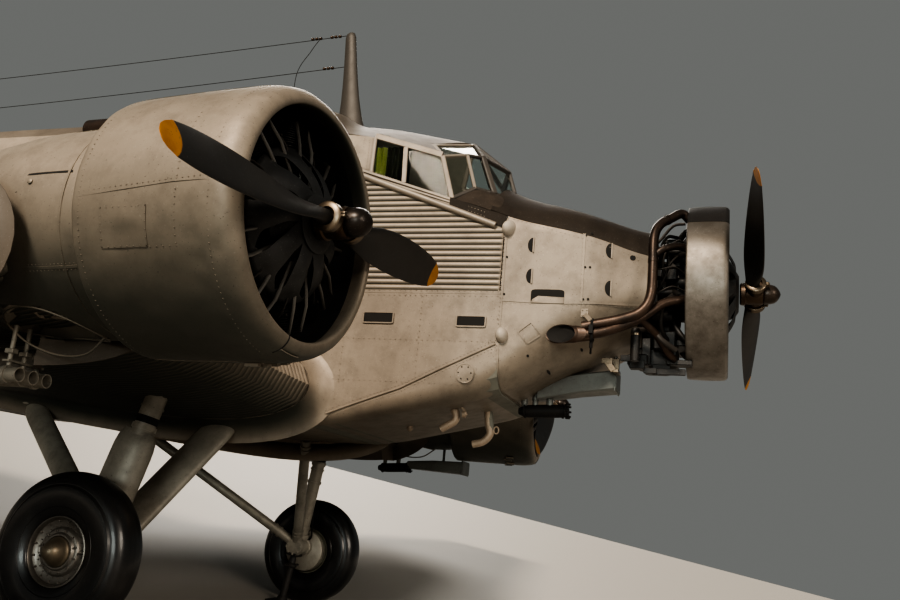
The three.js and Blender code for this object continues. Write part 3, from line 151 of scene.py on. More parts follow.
def addPiece(name, surface, finish, body="airframe", slot=None, replaces=(), smoothAngle=35, place=toRow):
    # the finish is a key of the finishes, with its usual slot, or a material of its own
    mesh = bpy.data.meshes.new(name)
    quads, tris = surface["q"], surface["t"]
    mesh.vertices.add(len(surface["v"]))
    mesh.vertices.foreach_set("co", place(surface["v"]).ravel())
    mesh.loops.add(quads.size + tris.size)
    mesh.loops.foreach_set("vertex_index", np.concatenate([quads.ravel(), tris.ravel()]).astype(np.int32))
    mesh.polygons.add(len(quads) + len(tris))
    starts = np.concatenate([np.arange(len(quads)) * 4, quads.size + np.arange(len(tris)) * 3])
    mesh.polygons.foreach_set("loop_start", starts.astype(np.int32))
    mesh.update(calc_edges=True)
    mesh.validate()
    mesh.polygons.foreach_set("use_smooth", np.ones(len(mesh.polygons), bool))
    mesh.set_sharp_from_angle(angle=math.radians(smoothAngle))
    piece = bpy.data.objects.new(name, mesh)
    bpy.context.scene.collection.objects.link(piece)
    mesh.materials.append(paint[finish] if isinstance(finish, str) else finish)
    slot = slot or usualSlot[finish]
    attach(piece, body)
    if replaces:
        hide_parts(*replaces)
    return piece


def spun(profile, count, wrap=False, centre=(0, 0, 0)):
    # each profile point [x, radius] goes round the X axis
    profile = np.asarray(profile, float)
    angle = roundAngles(count)
    net = np.stack([np.repeat(profile[:, :1], count, 1), profile[:, 1:] * np.cos(angle),
                    profile[:, 1:] * np.sin(angle)], -1)
    return moved(grid(net, wrapU=wrap, wrapV=True), lambda v: v + np.asarray(centre))


def lathe(profile, count=32, **place):  # a closed body whose profile runs from the axis back to the axis
    return outward(welded(spun(profile, count, **place)))


def welded(surface, reach=1e-6):
    # corners at one place become one, and faces that lost a side become three-sided or go
    keys, first, back = np.unique(np.round(surface["v"] / reach).astype(np.int64), axis=0,
                                  return_index=True, return_inverse=True)
    back = back.ravel()
    quads = back[surface["q"]]
    same = quads == np.roll(quads, -1, 1)
    whole = quads[same.sum(1) == 0]
    lost = same.sum(1) == 1
    thin = np.array([row[~gone] for row, gone in zip(quads[lost], same[lost])]).reshape(-1, 3)
    tris = back[surface["t"]]
    tris = np.concatenate([tris, thin.astype(int)])
    keep = (tris[:, 0] != tris[:, 1]) & (tris[:, 1] != tris[:, 2]) & (tris[:, 2] != tris[:, 0])
    return {"v": surface["v"][first], "q": whole, "t": tris[keep]}


def smoothPath(points, count):
    # Catmull-Rom curve through the points: each stretch is a cubic whose end slopes join its neighbours
    p = np.asarray(points, float)
    p = np.vstack([2 * p[0] - p[1], p, 2 * p[-1] - p[-2]])
    t = np.linspace(0, len(p) - 3 - 1e-9, count)
    i = t.astype(int)
    t = (t - i)[:, None]
    a, b, c, d = p[i], p[i + 1], p[i + 2], p[i + 3]
    return 0.5 * (2 * b + (c - a) * t + (2 * a - 5 * b + 4 * c - d) * t ** 2 +
                  (3 * b - a - 3 * c + d) * t ** 3)


def tube(path, radius, sides=12):
    # a section carried along a path: rings stand square to the path and turn as little as they can
    path = np.asarray(path, float)
    way = unit(np.gradient(path, axis=0))
    across = np.cross(way[0], [0, 0, 1.0] if abs(way[0][2]) < 0.9 else [0, 1.0, 0])
    frames = []
    for direction in way:
        across = across - direction * (across @ direction)
        across /= np.linalg.norm(across)
        frames.append(across)
    across = np.array(frames)
    other = np.cross(way, across)
    angle = roundAngles(sides)[None, :, None]
    size = np.broadcast_to(np.asarray(radius, float), (len(path),))[:, None, None]
    return solid(path[:, None] + size * (np.cos(angle) * across[:, None] + np.sin(angle) * other[:, None]))


def boxes(centres, sizes, bevel=0.12):
    # one chamfered block for each centre: eight-sided rings at four heights
    out = []
    for centre, size in zip(np.atleast_2d(centres), np.atleast_2d(sizes)):
        half = np.asarray(size, float) / 2
        cut = bevel * half.min()
        rings = []
        for z, inset in ((-half[2], cut), (-half[2] + cut, 0), (half[2] - cut, 0), (half[2], cut)):
            x, y = half[0] - inset, half[1] - inset
            rings.append([[x, y - cut, z], [x - cut, y, z], [cut - x, y, z], [-x, y - cut, z],
                          [-x, cut - y, z], [cut - x, -y, z], [x - cut, -y, z], [x, cut - y, z]])
        out.append(moved(solid(rings), lambda v: v + centre))
    return merged(out)


def rivets(points, normals, radius=0.004, rise=0.0018):
    # low domes: two rings of six corners and a top, set square to the surface
    points, normals = np.atleast_2d(points), np.atleast_2d(normals)
    normals = unit(normals)
    helper = np.where(np.abs(normals[:, 2:]) < 0.9, [[0, 0, 1.0]], [[1.0, 0, 0]])
    a = unit(np.cross(normals, helper))
    b = np.cross(normals, a)
    angle = roundAngles(6)[None, :, None]
    rings = []
    for size, height in ((1.0, -0.3), (0.8, 0.6)):
        circle = np.cos(angle) * a[:, None] + np.sin(angle) * b[:, None]
        rings.append(points[:, None] + radius * size * circle + normals[:, None] * rise * height)
    top = (points + normals * rise)[:, None]
    verts = np.concatenate([rings[0], rings[1], top], 1)
    count = len(points)
    base = (np.arange(count) * 13)[:, None, None]
    k = np.arange(6)
    quads = np.stack([k, (k + 1) % 6, 6 + (k + 1) % 6, 6 + k], 1)[None] + base
    tris = np.stack([6 + k, 6 + (k + 1) % 6, np.full(6, 12)], 1)[None] + base
    under = np.array([[5, 4, 3, 2], [5, 2, 1, 0]])[None] + base
    return {"v": verts.reshape(-1, 3), "q": np.concatenate([quads.reshape(-1, 4), under.reshape(-1, 4)]),
            "t": tris.reshape(-1, 3)}


# Shader node groups. Each effect is built once and placed in a material with its own values.
def newGroup(name, inputs, outputs):
    group = bpy.data.node_groups.new(name, "ShaderNodeTree")
    for label, kind, value in inputs:
        socket = group.interface.new_socket(label, in_out="INPUT", socket_type=kind)
        socket.default_value = value
    for label, kind in outputs:
        group.interface.new_socket(label, in_out="OUTPUT", socket_type=kind)
    return group, group.nodes.new("NodeGroupInput"), group.nodes.new("NodeGroupOutput")


def node(tree, kind, values=None, **links):
    made = tree.nodes.new(kind)
    for key, value in (values or {}).items():
        if hasattr(made, key):
            setattr(made, key, value)
        else:
            made.inputs[key].default_value = value
    for key, source in links.items():
        tree.links.new(source, made.inputs[key])
    return made


def feed(tree, pairs):  # each socket gets a link or a value
    for socket, value in pairs:
        if isinstance(value, bpy.types.NodeSocket):
            tree.links.new(value, socket)
        else:
            socket.default_value = value


def mixColour(tree, fac, a, b):
    made = tree.nodes.new("ShaderNodeMix")
    made.data_type = "RGBA"
    feed(tree, ((made.inputs[0], fac), (made.inputs[6], a), (made.inputs[7], b)))
    return made.outputs[2]


def calc(tree, operation, a, b=0.0):
    made = node(tree, "ShaderNodeMath", {"operation": operation})
    feed(tree, zip(made.inputs, (a, b)))
    return made.outputs[0]


def noise(tree, coords, scale, detail, rough, stretch=(1, 1, 1)):
    mapping = node(tree, "ShaderNodeMapping", {"Scale": stretch}, Vector=coords)
    values = {"Scale": scale, "Detail": detail, "Roughness": rough, "Distortion": 0.0}
    return node(tree, "ShaderNodeTexNoise", values, Vector=mapping.outputs[0]).outputs["Fac"]


def band(tree, value, low, high):  # 0 below low, 1 above high
    return node(tree, "ShaderNodeMapRange", {"From Min": low, "From Max": high, "clamp": True},
                Value=value).outputs[0]


def makeWearAndShadeGroup():
    # worn paint: broad patches, mottle, run-down streaks, fine dark and light specks, and painted shade by
    # which way the skin faces
    inputs = [("Vector", "NodeSocketVector", (0, 0, 0)), ("Paint", "NodeSocketColor", (0.5, 0.5, 0.5, 1)),
              ("Dirt", "NodeSocketColor", (0.1, 0.08, 0.06, 1)), ("Patches", "NodeSocketFloat", 0.25),
              ("Streaks", "NodeSocketFloat", 0.2), ("Specks", "NodeSocketFloat", 0.5),
              ("Base Roughness", "NodeSocketFloat", 0.45), ("Facing", "NodeSocketVector", (0, 0, 1)),
              ("Underside", "NodeSocketFloat", 0.0), ("Topside", "NodeSocketFloat", 0.0)]
    outputs = [("Color", "NodeSocketColor"), ("Roughness", "NodeSocketFloat"),
               ("Height", "NodeSocketFloat")]
    group, given, out = newGroup("wornPaint", inputs, outputs)
    coords, paint, dirt = given.outputs["Vector"], given.outputs["Paint"], given.outputs["Dirt"]
    broad = noise(group, coords, 0.9, 5, 0.6)
    mottle = noise(group, coords, 7.0, 6, 0.65)
    streak = noise(group, coords, 3.0, 5, 0.6, stretch=(1.0, 1.0, 0.16))
    dots = noise(group, coords, 95.0, 2, 0.5)
    fine = noise(group, coords, 34.0, 3, 0.6)
    patchMask = calc(group, "MULTIPLY", band(group, broad, 0.42, 0.68), given.outputs["Patches"])
    mottleMask = calc(group, "MULTIPLY", band(group, mottle, 0.45, 0.75), given.outputs["Patches"])
    streakMask = calc(group, "MULTIPLY", band(group, streak, 0.5, 0.72), given.outputs["Streaks"])
    speckMask = calc(group, "MULTIPLY", calc(group, "MULTIPLY", band(group, dots, 0.655, 0.7),
                                             band(group, fine, 0.5, 0.56)),
                     given.outputs["Specks"])
    chipMask = calc(group, "MULTIPLY", band(group, dots, 0.33, 0.3), given.outputs["Specks"])
    colour = mixColour(group, patchMask, paint, dirt)
    colour = mixColour(group, mottleMask, colour, dirt)
    colour = mixColour(group, streakMask, colour, dirt)
    colour = mixColour(group, speckMask, colour, (0.07, 0.055, 0.045, 1))
    colour = mixColour(group, calc(group, "MULTIPLY", chipMask, 0.12), colour, (0.8, 0.78, 0.74, 1))
    # painted shade: the colour turns to a cool near-black where the skin faces down
    # and to a dark brown where it faces up, uneven along the patches
    facing = node(group, "ShaderNodeSeparateXYZ", {}, Vector=given.outputs["Facing"]).outputs["Z"]
    ragged = calc(group, "ADD", facing, calc(group, "MULTIPLY", calc(group, "SUBTRACT", broad, 0.5), 0.7))
    under = calc(group, "MULTIPLY", band(group, ragged, 0.3, -0.75), given.outputs["Underside"])
    over = calc(group, "MULTIPLY", band(group, ragged, 0.3, 0.75), given.outputs["Topside"])
    # the two colours below are painted shadow tones
    colour = mixColour(group, under, colour, (0.03, 0.036, 0.031, 1))
    colour = mixColour(group, over, colour, (0.08, 0.064, 0.049, 1))
    group.links.new(colour, out.inputs["Color"])
    roughness = calc(group, "ADD", given.outputs["Base Roughness"], calc(group, "MULTIPLY", mottle, 0.22))
    group.links.new(calc(group, "ADD", roughness, calc(group, "MULTIPLY", speckMask, 0.3)),
                    out.inputs["Roughness"])
    height = calc(group, "ADD", calc(group, "MULTIPLY", broad, 0.6), calc(group, "MULTIPLY", fine, 0.12))
    group.links.new(height, out.inputs["Height"])
    return group


wearAndShadeGroup = makeWearAndShadeGroup()


# under and over set how far painted shade darkens the paint where it faces down and where it faces up
def wornAndShadedMaterial(name, paint, dirt, patches, streaks, specks, rough, metallic, bump, depth=0.01, coat=0.0,
                 under=0.0, over=0.0, specular=0.5):
    material = bpy.data.materials.new(name)
    material.use_nodes = True
    tree = material.node_tree
    shader = tree.nodes["Principled BSDF"]
    source = tree.nodes.new("ShaderNodeTexCoord")
    wear = node(tree, "ShaderNodeGroup", {"node_tree": wearAndShadeGroup})
    tree.links.new(source.outputs["Object"], wear.inputs["Vector"])
    tree.links.new(source.outputs["Normal"], wear.inputs["Facing"])
    for key, value in (("Paint", (*paint, 1)), ("Dirt", (*dirt, 1)), ("Patches", patches),
                       ("Streaks", streaks), ("Specks", specks), ("Base Roughness", rough),
                       ("Underside", under), ("Topside", over)):
        wear.inputs[key].default_value = value
    tree.links.new(wear.outputs["Color"], shader.inputs["Base Color"])
    tree.links.new(wear.outputs["Roughness"], shader.inputs["Roughness"])
    shader.inputs["Metallic"].default_value = metallic
    shader.inputs["Coat Weight"].default_value = coat
    shader.inputs["Specular IOR Level"].default_value = specular
    relief = node(tree, "ShaderNodeBump", {"Strength": bump, "Distance": depth},
                  Height=wear.outputs["Height"])
    tree.links.new(relief.outputs[0], shader.inputs["Normal"])
    return material


def plainMaterial(name, colour, rough=0.5, metallic=0.0, **sockets):
    material = bpy.data.materials.new(name)
    material.use_nodes = True
    shader = material.node_tree.nodes["Principled BSDF"]
    shader.inputs["Base Color"].default_value = (*colour, 1)
    shader.inputs["Roughness"].default_value = rough
    shader.inputs["Metallic"].default_value = metallic
    for key, value in sockets.items():
        shader.inputs[key.replace("_", " ")].default_value = value
    return material


# Finishes: material, usual slot, paint and dirt colour, the
# amounts of wear in this order, and what only a few need
wearColumns = ("patches", "streaks", "specks", "rough", "metallic", "bump")
# the under and over values below are amounts of painted shade on surfaces facing down and up
finishes = {
    "skin": ("greyPaint", "grey_paint", (0.28, 0.236, 0.187), (0.105, 0.085, 0.066),
        0.5, 0.3, 0.7, 0.4, 0.25, 0.3, {"under": 0.3}),
    "corrugated": ("greyPaintCorrugated", "grey_paint", (0.325, 0.272, 0.216), (0.12, 0.095, 0.072),
        0.36, 0.15, 0.5, 0.42, 0.25, 0.12, {"under": 0.95}),
    "hullRibs": ("hullRibPaint", "grey_paint", (0.325, 0.272, 0.216), (0.12, 0.095, 0.072),
        0.36, 0.15, 0.5, 0.42, 0.25, 0.12, {"under": 0.95, "over": 0.85}),
    "deck": ("darkDeck", "grey_paint", (0.019, 0.015, 0.012), (0.045, 0.035, 0.027),
        0.5, 0.3, 0.4, 0.6, 0.0, 0.2, {"specular": 0.2}),
    "ring": ("mottledRing", "grey_paint", (0.215, 0.2, 0.18), (0.075, 0.063, 0.05),
        0.8, 0.7, 0.6, 0.34, 0.65, 0.2, {}),
    "blackPaint": ("blackPaint", "bare_metal", (0.009, 0.009, 0.009), (0.025, 0.021, 0.018),
        0.3, 0.2, 0.3, 0.5, 0.0, 0.1, {"specular": 0.25}),
    "baffle": ("baffleSheet", "engine_metal", (0.045, 0.045, 0.045), (0.018, 0.017, 0.016),
        0.5, 0.3, 0.5, 0.45, 0.4, 0.15, {}),
    # near-black castings: dark oily metal, darkened further as painted shade in the engine bays
    "casting": ("oilyCasting", "engine_metal", (0.014, 0.014, 0.014), (0.035, 0.028, 0.022),
        0.5, 0.2, 0.6, 0.4, 0.3, 0.3, {}),
    "exhaust": ("heatBrownedSteel", "exhaust_metal", (0.066, 0.044, 0.033), (0.018, 0.016, 0.015),
        0.9, 0.2, 0.5, 0.33, 0.75, 0.12, {}),
    # dark grey-brown for the cockpit roof and the nacelle fillets: painted shade
    "roofSide": ("roofSidePaint", "grey_paint", (0.115, 0.097, 0.079), (0.07, 0.057, 0.045),
        0.5, 0.3, 0.5, 0.45, 0.0, 0.2, {"specular": 0.3}),
    "mastPaint": ("mastPaint", "grey_paint", (0.062, 0.055, 0.047), (0.045, 0.039, 0.033),
        0.4, 0.3, 0.4, 0.45, 0.3, 0.15, {}),
    # the blisters' grey is a lighter copy of the skin grey: a painted highlight
    "blister": ("blisterPaint", "grey_paint", (0.4, 0.355, 0.3), (0.17, 0.14, 0.11),
        0.3, 0.2, 0.5, 0.45, 0.0, 0.1, {}),
    "blade": ("bladePaint", "propeller_paint", (0.024, 0.023, 0.022), (0.045, 0.038, 0.032),
        0.35, 0.2, 0.3, 0.42, 0.2, 0.06, {}),
    "bronze": ("bronzeHub", "propeller_paint", (0.085, 0.058, 0.04), (0.025, 0.02, 0.017),
        0.5, 0.2, 0.5, 0.3, 0.85, 0.15, {}),
    "collar": ("brightCollar", "bare_metal", (0.17, 0.135, 0.1), (0.05, 0.04, 0.03),
        0.35, 0.2, 0.4, 0.25, 0.9, 0.15, {}),
    "spinner": ("blackSpinner", "propeller_paint", (0.022, 0.017, 0.014), (0.07, 0.048, 0.034),
        0.5, 0.2, 0.5, 0.24, 0.5, 0.06, {}),
    "tyre": ("blackTyre", "tyre_rubber", (0.008, 0.008, 0.0085), (0.03, 0.028, 0.026),
        0.35, 0.2, 0.25, 0.22, 0.0, 0.05, {"coat": 0.15}),
    "hubMetal": ("hubMetal", "bare_metal", (0.22, 0.205, 0.185), (0.06, 0.052, 0.043),
        0.55, 0.2, 0.6, 0.3, 0.8, 0.15, {}),
    "hubCap": ("brassyCap", "bare_metal", (0.2, 0.165, 0.12), (0.07, 0.055, 0.042),
        0.5, 0.2, 0.6, 0.34, 0.7, 0.15, {}),
    "drum": ("oliveDrum", "bare_metal", (0.16, 0.155, 0.12), (0.06, 0.05, 0.04),
        0.5, 0.2, 0.6, 0.5, 0.3, 0.15, {}),
    # strut grey lightened past the hull grey: a painted highlight, with a little painted shade where it
    # faces down
    "strutPaint": ("strutPaint", "grey_paint", (0.36, 0.335, 0.285), (0.075, 0.066, 0.054),
        0.5, 0.3, 0.6, 0.38, 0.3, 0.15, {"under": 0.15}),
    "inside": ("insidePaint", "inside_paint", (0.15, 0.15, 0.125), (0.055, 0.05, 0.04),
        0.4, 0.2, 0.4, 0.6, 0.0, 0.1, {}),
    "frame": ("framePaint", "grey_paint", (0.3, 0.26, 0.215), (0.09, 0.072, 0.057),
        0.3, 0.2, 0.4, 0.4, 0.3, 0.1, {}),
    "darkFrame": ("darkFramePaint", "inside_paint", (0.045, 0.04, 0.036), (0.12, 0.1, 0.08),
        0.3, 0.2, 0.4, 0.5, 0.0, 0.1, {}),
    "leather": ("seatLeather", "inside_paint", (0.33, 0.25, 0.17), (0.12, 0.08, 0.05),
        0.5, 0.2, 0.3, 0.5, 0.0, 0.3, {}),
    "stand": ("standPaint", "bare_metal", (0.022, 0.021, 0.02), (0.07, 0.06, 0.05),
        0.3, 0.2, 0.5, 0.5, 0.0, 0.1, {}),
    "cover": ("paddedCover", "grey_paint", (0.03, 0.023, 0.018), (0.065, 0.05, 0.038),
        0.6, 0.2, 0.6, 0.6, 0.0, 0.6, {"depth": 0.02, "specular": 0.25}),
    "curtain": ("darkCurtain", "inside_paint", (0.012, 0.012, 0.01), (0.03, 0.03, 0.018),
        0.4, 0.2, 0.1, 0.85, 0.0, 0.1, {"specular": 0.2}),
    "lining": ("cockpitLining", "inside_paint", (0.15, 0.14, 0.11), (0.06, 0.055, 0.042),
        0.4, 0.2, 0.2, 0.75, 0.0, 0.1, {}),
    "strip": ("yellowCurtain", "inside_paint", (0.24, 0.26, 0.055), (0.08, 0.09, 0.02),
        0.4, 0.2, 0.1, 0.7, 0.0, 0.1, {}),
    "cowl": ("cowlPaint", "grey_paint", (0.31, 0.262, 0.208), (0.12, 0.097, 0.075),
        0.5, 0.15, 0.65, 0.4, 0.3, 0.2, {"under": 0.88}),
    "rod": ("pushrodTube", "engine_metal", (0.2, 0.19, 0.175), (0.05, 0.045, 0.04),
        0.5, 0.2, 0.4, 0.3, 0.7, 0.15, {}),
    "lead": ("ignitionLead", "engine_metal", (0.035, 0.03, 0.026), (0.014, 0.012, 0.011),
        0.4, 0.2, 0.3, 0.5, 0.3, 0.15, {}),
    "drain": ("tanDrain", "bare_metal", (0.34, 0.27, 0.205), (0.1, 0.08, 0.06),
        0.45, 0.2, 0.6, 0.4, 0.3, 0.1, {}),
    "duct": ("ductSheet", "bare_metal", (0.185, 0.195, 0.185), (0.07, 0.065, 0.055),
        0.45, 0.2, 0.6, 0.42, 0.5, 0.15, {}),
}
paint = {key: wornAndShadedMaterial(label, colour, dirt, **dict(zip(wearColumns, wear)), **more)
         for key, (label, _, colour, dirt, *wear, more) in finishes.items()}
# near-black for holes, slots, gaps and pipe mouths: painted shade inside the openings, with real soot in
# the exhaust mouths
paint["soot"] = plainMaterial("sootInside", (0.012, 0.011, 0.01), 0.9)
usualSlot = {"soot": "inside_paint", **{key: row[1] for key, row in finishes.items()}}
glassMaterial = plainMaterial("windowGlass", (0.78, 0.83, 0.8), 0.04, Transmission_Weight=1.0, IOR=1.12)
print("materials made:", len(paint) + 1)


# Hull stations in metres: place, half width, bottom, bottom corner radius, side top, roof top
hull = {
    "x": [-0.8, -1.06, -1.34, -1.64, -1.95, -2.4, -2.8, -3.3, -3.5, -7.4, -8.7, -10.95, -13.5,
          -16.0, -17.33],
    "half": [0.585, 0.7, 0.77, 0.785, 0.8, 0.807, 0.813, 0.82, 0.82, 0.82, 0.82, 0.82, 0.665, 0.38, 0.13],
    "low": [-0.48, -0.585, -0.69, -0.825, -1.02, -1.13, -1.22, -1.34, -1.37, -1.33, -1.18, -0.93, -0.72,
            -0.45, -0.3],
    "corner": [0.4, 0.42, 0.45, 0.38, 0.23, 0.15, 0.12, 0.11, 0.11, 0.11, 0.14, 0.2, 0.23, 0.18, 0.09],
    "side": [0.12, 0.21, 0.29, 0.35, 0.42, 0.63, 0.82, 1.05, 1.05, 1.05, 1.05, 1.05, 0.95, 0.78, 0.7],
    "top": [0.455, 0.525, 0.62, 0.72, 0.83, 1.1, 1.34, 1.64, 1.68, 1.69, 1.67, 1.62, 1.44, 1.2, 1.04],
    # how far the arch is drawn from a full, boxy curve (0) to a parabola (1)
    "slim": [0.45, 0.45, 0.3, 0.5, 1.0, 1.0, 0, 0, 0, 0.42, 0.42, 0, 0, 0, 0],
}


def hullAt(x, soften=0.0):
    # station values at x, by straight lines, or averaged over a short reach to round the joints
    x = np.atleast_1d(x)
    reach = np.linspace(-soften, soften, 7) if soften else [0.0]
    inside = lambda v: np.clip(v, hull["x"][-1], hull["x"][0])
    return {key: np.mean([np.interp(-inside(x + r), -np.array(hull["x"]), hull[key]) for r in reach], 0)
            for key in ("half", "low", "corner", "side", "top", "slim")}


def archPoint(at, t, lift=0.0):  # t 0 at the side top, 1 at the ridge
    angle = np.clip(t, 0, 1) * math.pi / 2
    y = -(at["half"] + lift) * np.maximum(np.cos(angle), 0) ** (0.62 + 0.38 * at["slim"])
    z = at["side"] + (at["top"] + lift - at["side"]) * np.sin(angle) ** (1 + at["slim"])
    return y, z


def thick(surface, depth):
    # a sheet gets a back wall a depth behind it, along its own normals, and a rim round every open edge
    verts, quads, tris = surface["v"], surface["q"], surface["t"]
    normal = np.zeros_like(verts)
    for faces in (quads, tris):
        if len(faces):
            a, b = verts[faces[:, 2]] - verts[faces[:, 0]], verts[faces[:, -1]] - verts[faces[:, 1]]
            if faces.shape[1] == 3:
                a, b = verts[faces[:, 1]] - verts[faces[:, 0]], verts[faces[:, 2]] - verts[faces[:, 0]]
            for corner in range(faces.shape[1]):
                np.add.at(normal, faces[:, corner], np.cross(a, b))
    normal /= np.maximum(np.linalg.norm(normal, axis=1, keepdims=True), 1e-12)
    count = len(verts)
    edges = np.concatenate([np.stack([f[:, k], f[:, (k + 1) % f.shape[1]]], 1) for f in (quads, tris)
                            for k in range(f.shape[1])])
    key, back = edges[:, 0] * count + edges[:, 1], edges[:, 1] * count + edges[:, 0]
    rim = edges[~np.isin(key, back)]
    rimQuads = np.stack([rim[:, 1], rim[:, 0], rim[:, 0] + count, rim[:, 1] + count], 1)
    return compact({"v": np.vstack([verts, verts - normal * depth]),
                    "q": np.concatenate([quads, quads[:, ::-1] + count, rimQuads]),
                    "t": np.concatenate([tris, tris[:, ::-1] + count])})


def compact(surface):  # corners that no face uses go
    used = np.unique(np.concatenate([surface["q"].ravel(), surface["t"].ravel()]))
    place = np.zeros(len(surface["v"]), int)
    place[used] = np.arange(len(used))
    return {"v": surface["v"][used], "q": place[surface["q"]], "t": place[surface["t"]]}


def masked(net, keep):  # a grid with only the faces that keep[u, v] marks
    made = grid(net)
    return compact({**made, "q": made["q"][np.asarray(keep).ravel()]})


def ribbon(path, normals, width=0.02, height=0.0015):
    # a raised flat band: at each point four corners, half
    # the width to either side and the height off the skin
    path, normals = np.asarray(path, float), np.broadcast_to(np.asarray(normals, float), np.shape(path))
    way = np.gradient(path, axis=0)
    side = np.cross(way, normals)
    side *= 0.5 * width / np.linalg.norm(side, axis=1, keepdims=True)
    lift = unit(normals)
    corners = [path - side - 0.002 * lift, path - side + height * lift, path + side + height * lift,
               path + side - 0.002 * lift]
    return solid(np.stack(corners, 1))


ribShares = np.array([0, 0.06, 0.17, 0.33, 0.5, 0.67, 0.83, 0.94])


def ribSteps(count, shares=ribShares):  # every rib is cut at the same shares of its width
    return np.append((np.arange(count)[:, None] + shares).ravel(), count)


def ribWave(u):  # broad round crests with narrow grooves between them
    return np.abs(np.sin(np.pi * u)) ** 0.62


def ribbedNet(sections, pitch, height, facing, base, fade):
    # sections run across the ribs: each is sampled at the
    # same shares of its length and pushed out by the wave
    sections = np.asarray(sections, float)
    run = np.cumsum(np.linalg.norm(np.diff(sections, axis=1), axis=2), 1)
    run = np.concatenate([np.zeros((len(run), 1)), run], 1)
    count = max(1, int(round(np.median(run[:, -1]) / pitch)))
    u = ribSteps(count)
    net = np.array([[np.interp(u / count * r[-1], r, sec[:, k]) for k in range(3)]
                    for sec, r in zip(sections, run)])
    net = net.transpose(0, 2, 1)
    normal = np.cross(np.gradient(net, axis=0), np.gradient(net, axis=1))
    normal /= np.maximum(np.linalg.norm(normal, axis=2, keepdims=True), 1e-12)
    if (normal[len(net) // 2, len(u) // 2] @ np.asarray(facing, float)) < 0:
        normal = -normal
    return net + normal * (base + height * ribWave(u)[None, :, None] * fade[:, None, None])


def facingSheet(net, facing, depth=0.0015, keep=None):
    made = grid(net) if keep is None else masked(net, keep)
    a, b, c, _ = made["v"][made["q"][len(made["q"]) // 2]]
    if np.cross(b - a, c - a) @ np.asarray(facing, float) < 0:
        made = flipped(made)
    return thick(made, depth)


endSteps = np.array([0, 0.12, 0.35, 0.65, 1.0])
endRise = np.sqrt(1 - (1 - endSteps) ** 2)


def roundedEnds(start, end, reach=0.028):
    # places along a rib and how high it stands there: a quarter circle closes each end
    way = np.sign(end - start)
    return start + way * reach * endSteps, end - way * reach * endSteps[::-1], endRise


# Hull net: from the keel round the bottom corner, up the side and over the arch to the ridge
def hullNet(xs, rows=("flat", "corner", "side", "arch"), lift=0.0, soften=0.2, counts=(7, 11, 13, 19)):
    at = {key: value[:, None] for key, value in hullAt(xs, soften).items()}
    x = np.asarray(xs, float)[:, None]
    runs = {}
    share = np.linspace(0, 1, counts[0])
    runs["flat"] = (share * (at["half"] - at["corner"]), at["low"] - lift + 0 * share)
    t = np.linspace(0, math.pi / 2, counts[1])
    runs["corner"] = (at["half"] - at["corner"] + np.sin(t) * (at["corner"] + lift),
                      at["low"] + at["corner"] - np.cos(t) * (at["corner"] + lift))
    share = np.linspace(0, 1, counts[2])
    centre = at["low"] + at["corner"]
    runs["side"] = (at["half"] + lift + 0 * share, centre + share * (at["side"] - centre))
    y, z = archPoint(at, np.linspace(0, 1, counts[3]), lift)
    runs["arch"] = (-y, z)
    parts = [np.stack(runs[name], -1)[:, (0 if i == 0 else 1):] for i, name in enumerate(rows)]
    half = np.concatenate(parts, 1)
    return np.concatenate([np.broadcast_to(x[..., None], half.shape[:2] + (1,)), half * [-1, 1]], 2)


def bothSides(half):  # the starboard half net and its mirror as one net, keel to keel over the ridge
    other = (half * [1, -1, 1])[:, ::-1]
    return np.concatenate([half, other[:, 1:]], 1)


def firewallBend(net):
    # the firewall leans back below a height, and the skin ahead of the second frame follows it
    x, z = net[..., 0], net[..., 2]
    fade = np.clip((x + 1.3) / 0.5, 0, 1)
    out = net.copy()
    out[..., 0] = x - fade * np.clip(0.55 * (-0.2 - z), 0, 0.19)
    return out


def hullSide(x, z, sign=-1, lift=0.0):  # a point on the hull side at a place and height
    at = hullAt(x, 0.2)
    centre = at["low"] + at["corner"]
    drop = np.clip((centre - z) / at["corner"], 0, 1)
    out = np.sqrt(1 - drop ** 2)
    y = at["half"] - at["corner"] + (at["corner"] + lift) * out
    return np.stack([x + 0 * z, sign * y, z - lift * drop], -1)


def sidePath(points, count=40, sign=-1, lift=0.003):
    # a path on the hull side through [x, z] points, with its normals
    points = np.asarray(points, float)
    run = np.append(0, np.cumsum(np.linalg.norm(np.diff(points, axis=0), axis=1)))
    spots = np.linspace(0, run[-1], count)
    x, z = np.interp(spots, run, points[:, 0]), np.interp(spots, run, points[:, 1])
    near, far = hullSide(x, z, sign, lift), hullSide(x, z, sign, lift + 0.1)
    normals = far - near + 1e-9
    return near, unit(normals)


nose = {"rear": -1.95, "front": -0.8, "rearSeam": -1.955, "midSeam": -1.32}


def makeNose():
    xs = np.linspace(nose["front"], nose["rear"], 34)
    net = firewallBend(bothSides(hullNet(xs)))
    body = grid(net, wrapV=True, capStart=True, capEnd=True)
    addPiece("nose_skin", outward(welded(body)), "skin", replaces=["nose_section"], smoothAngle=50)
    # dark deck over the arch, with a little drop over the side edge
    deck = bothSides(hullNet(np.linspace(nose["front"] - 0.002, -2.1, 36), rows=("arch",), lift=0.003))
    addPiece("nose_deck", facingSheet(firewallBend(deck), (0, 0, 1), 0.003), "deck")


makeNose()
print("nose made")

lower = {"front": -1.957, "rear": -10.94, "railHeight": -0.215}


def makeLowerHull():
    xs = np.concatenate([np.linspace(lower["front"], -3.6, 26), np.linspace(-3.75, lower["rear"], 24)])
    half = hullNet(xs, rows=("flat", "corner", "side"), lift=0.003, soften=0.2)
    half[..., 2] = np.minimum(half[..., 2], lower["railHeight"])
    addPiece("belly_skin", facingSheet(bothSides(half), (0, 0, -1), 0.002), "skin", smoothAngle=50)


makeLowerHull()

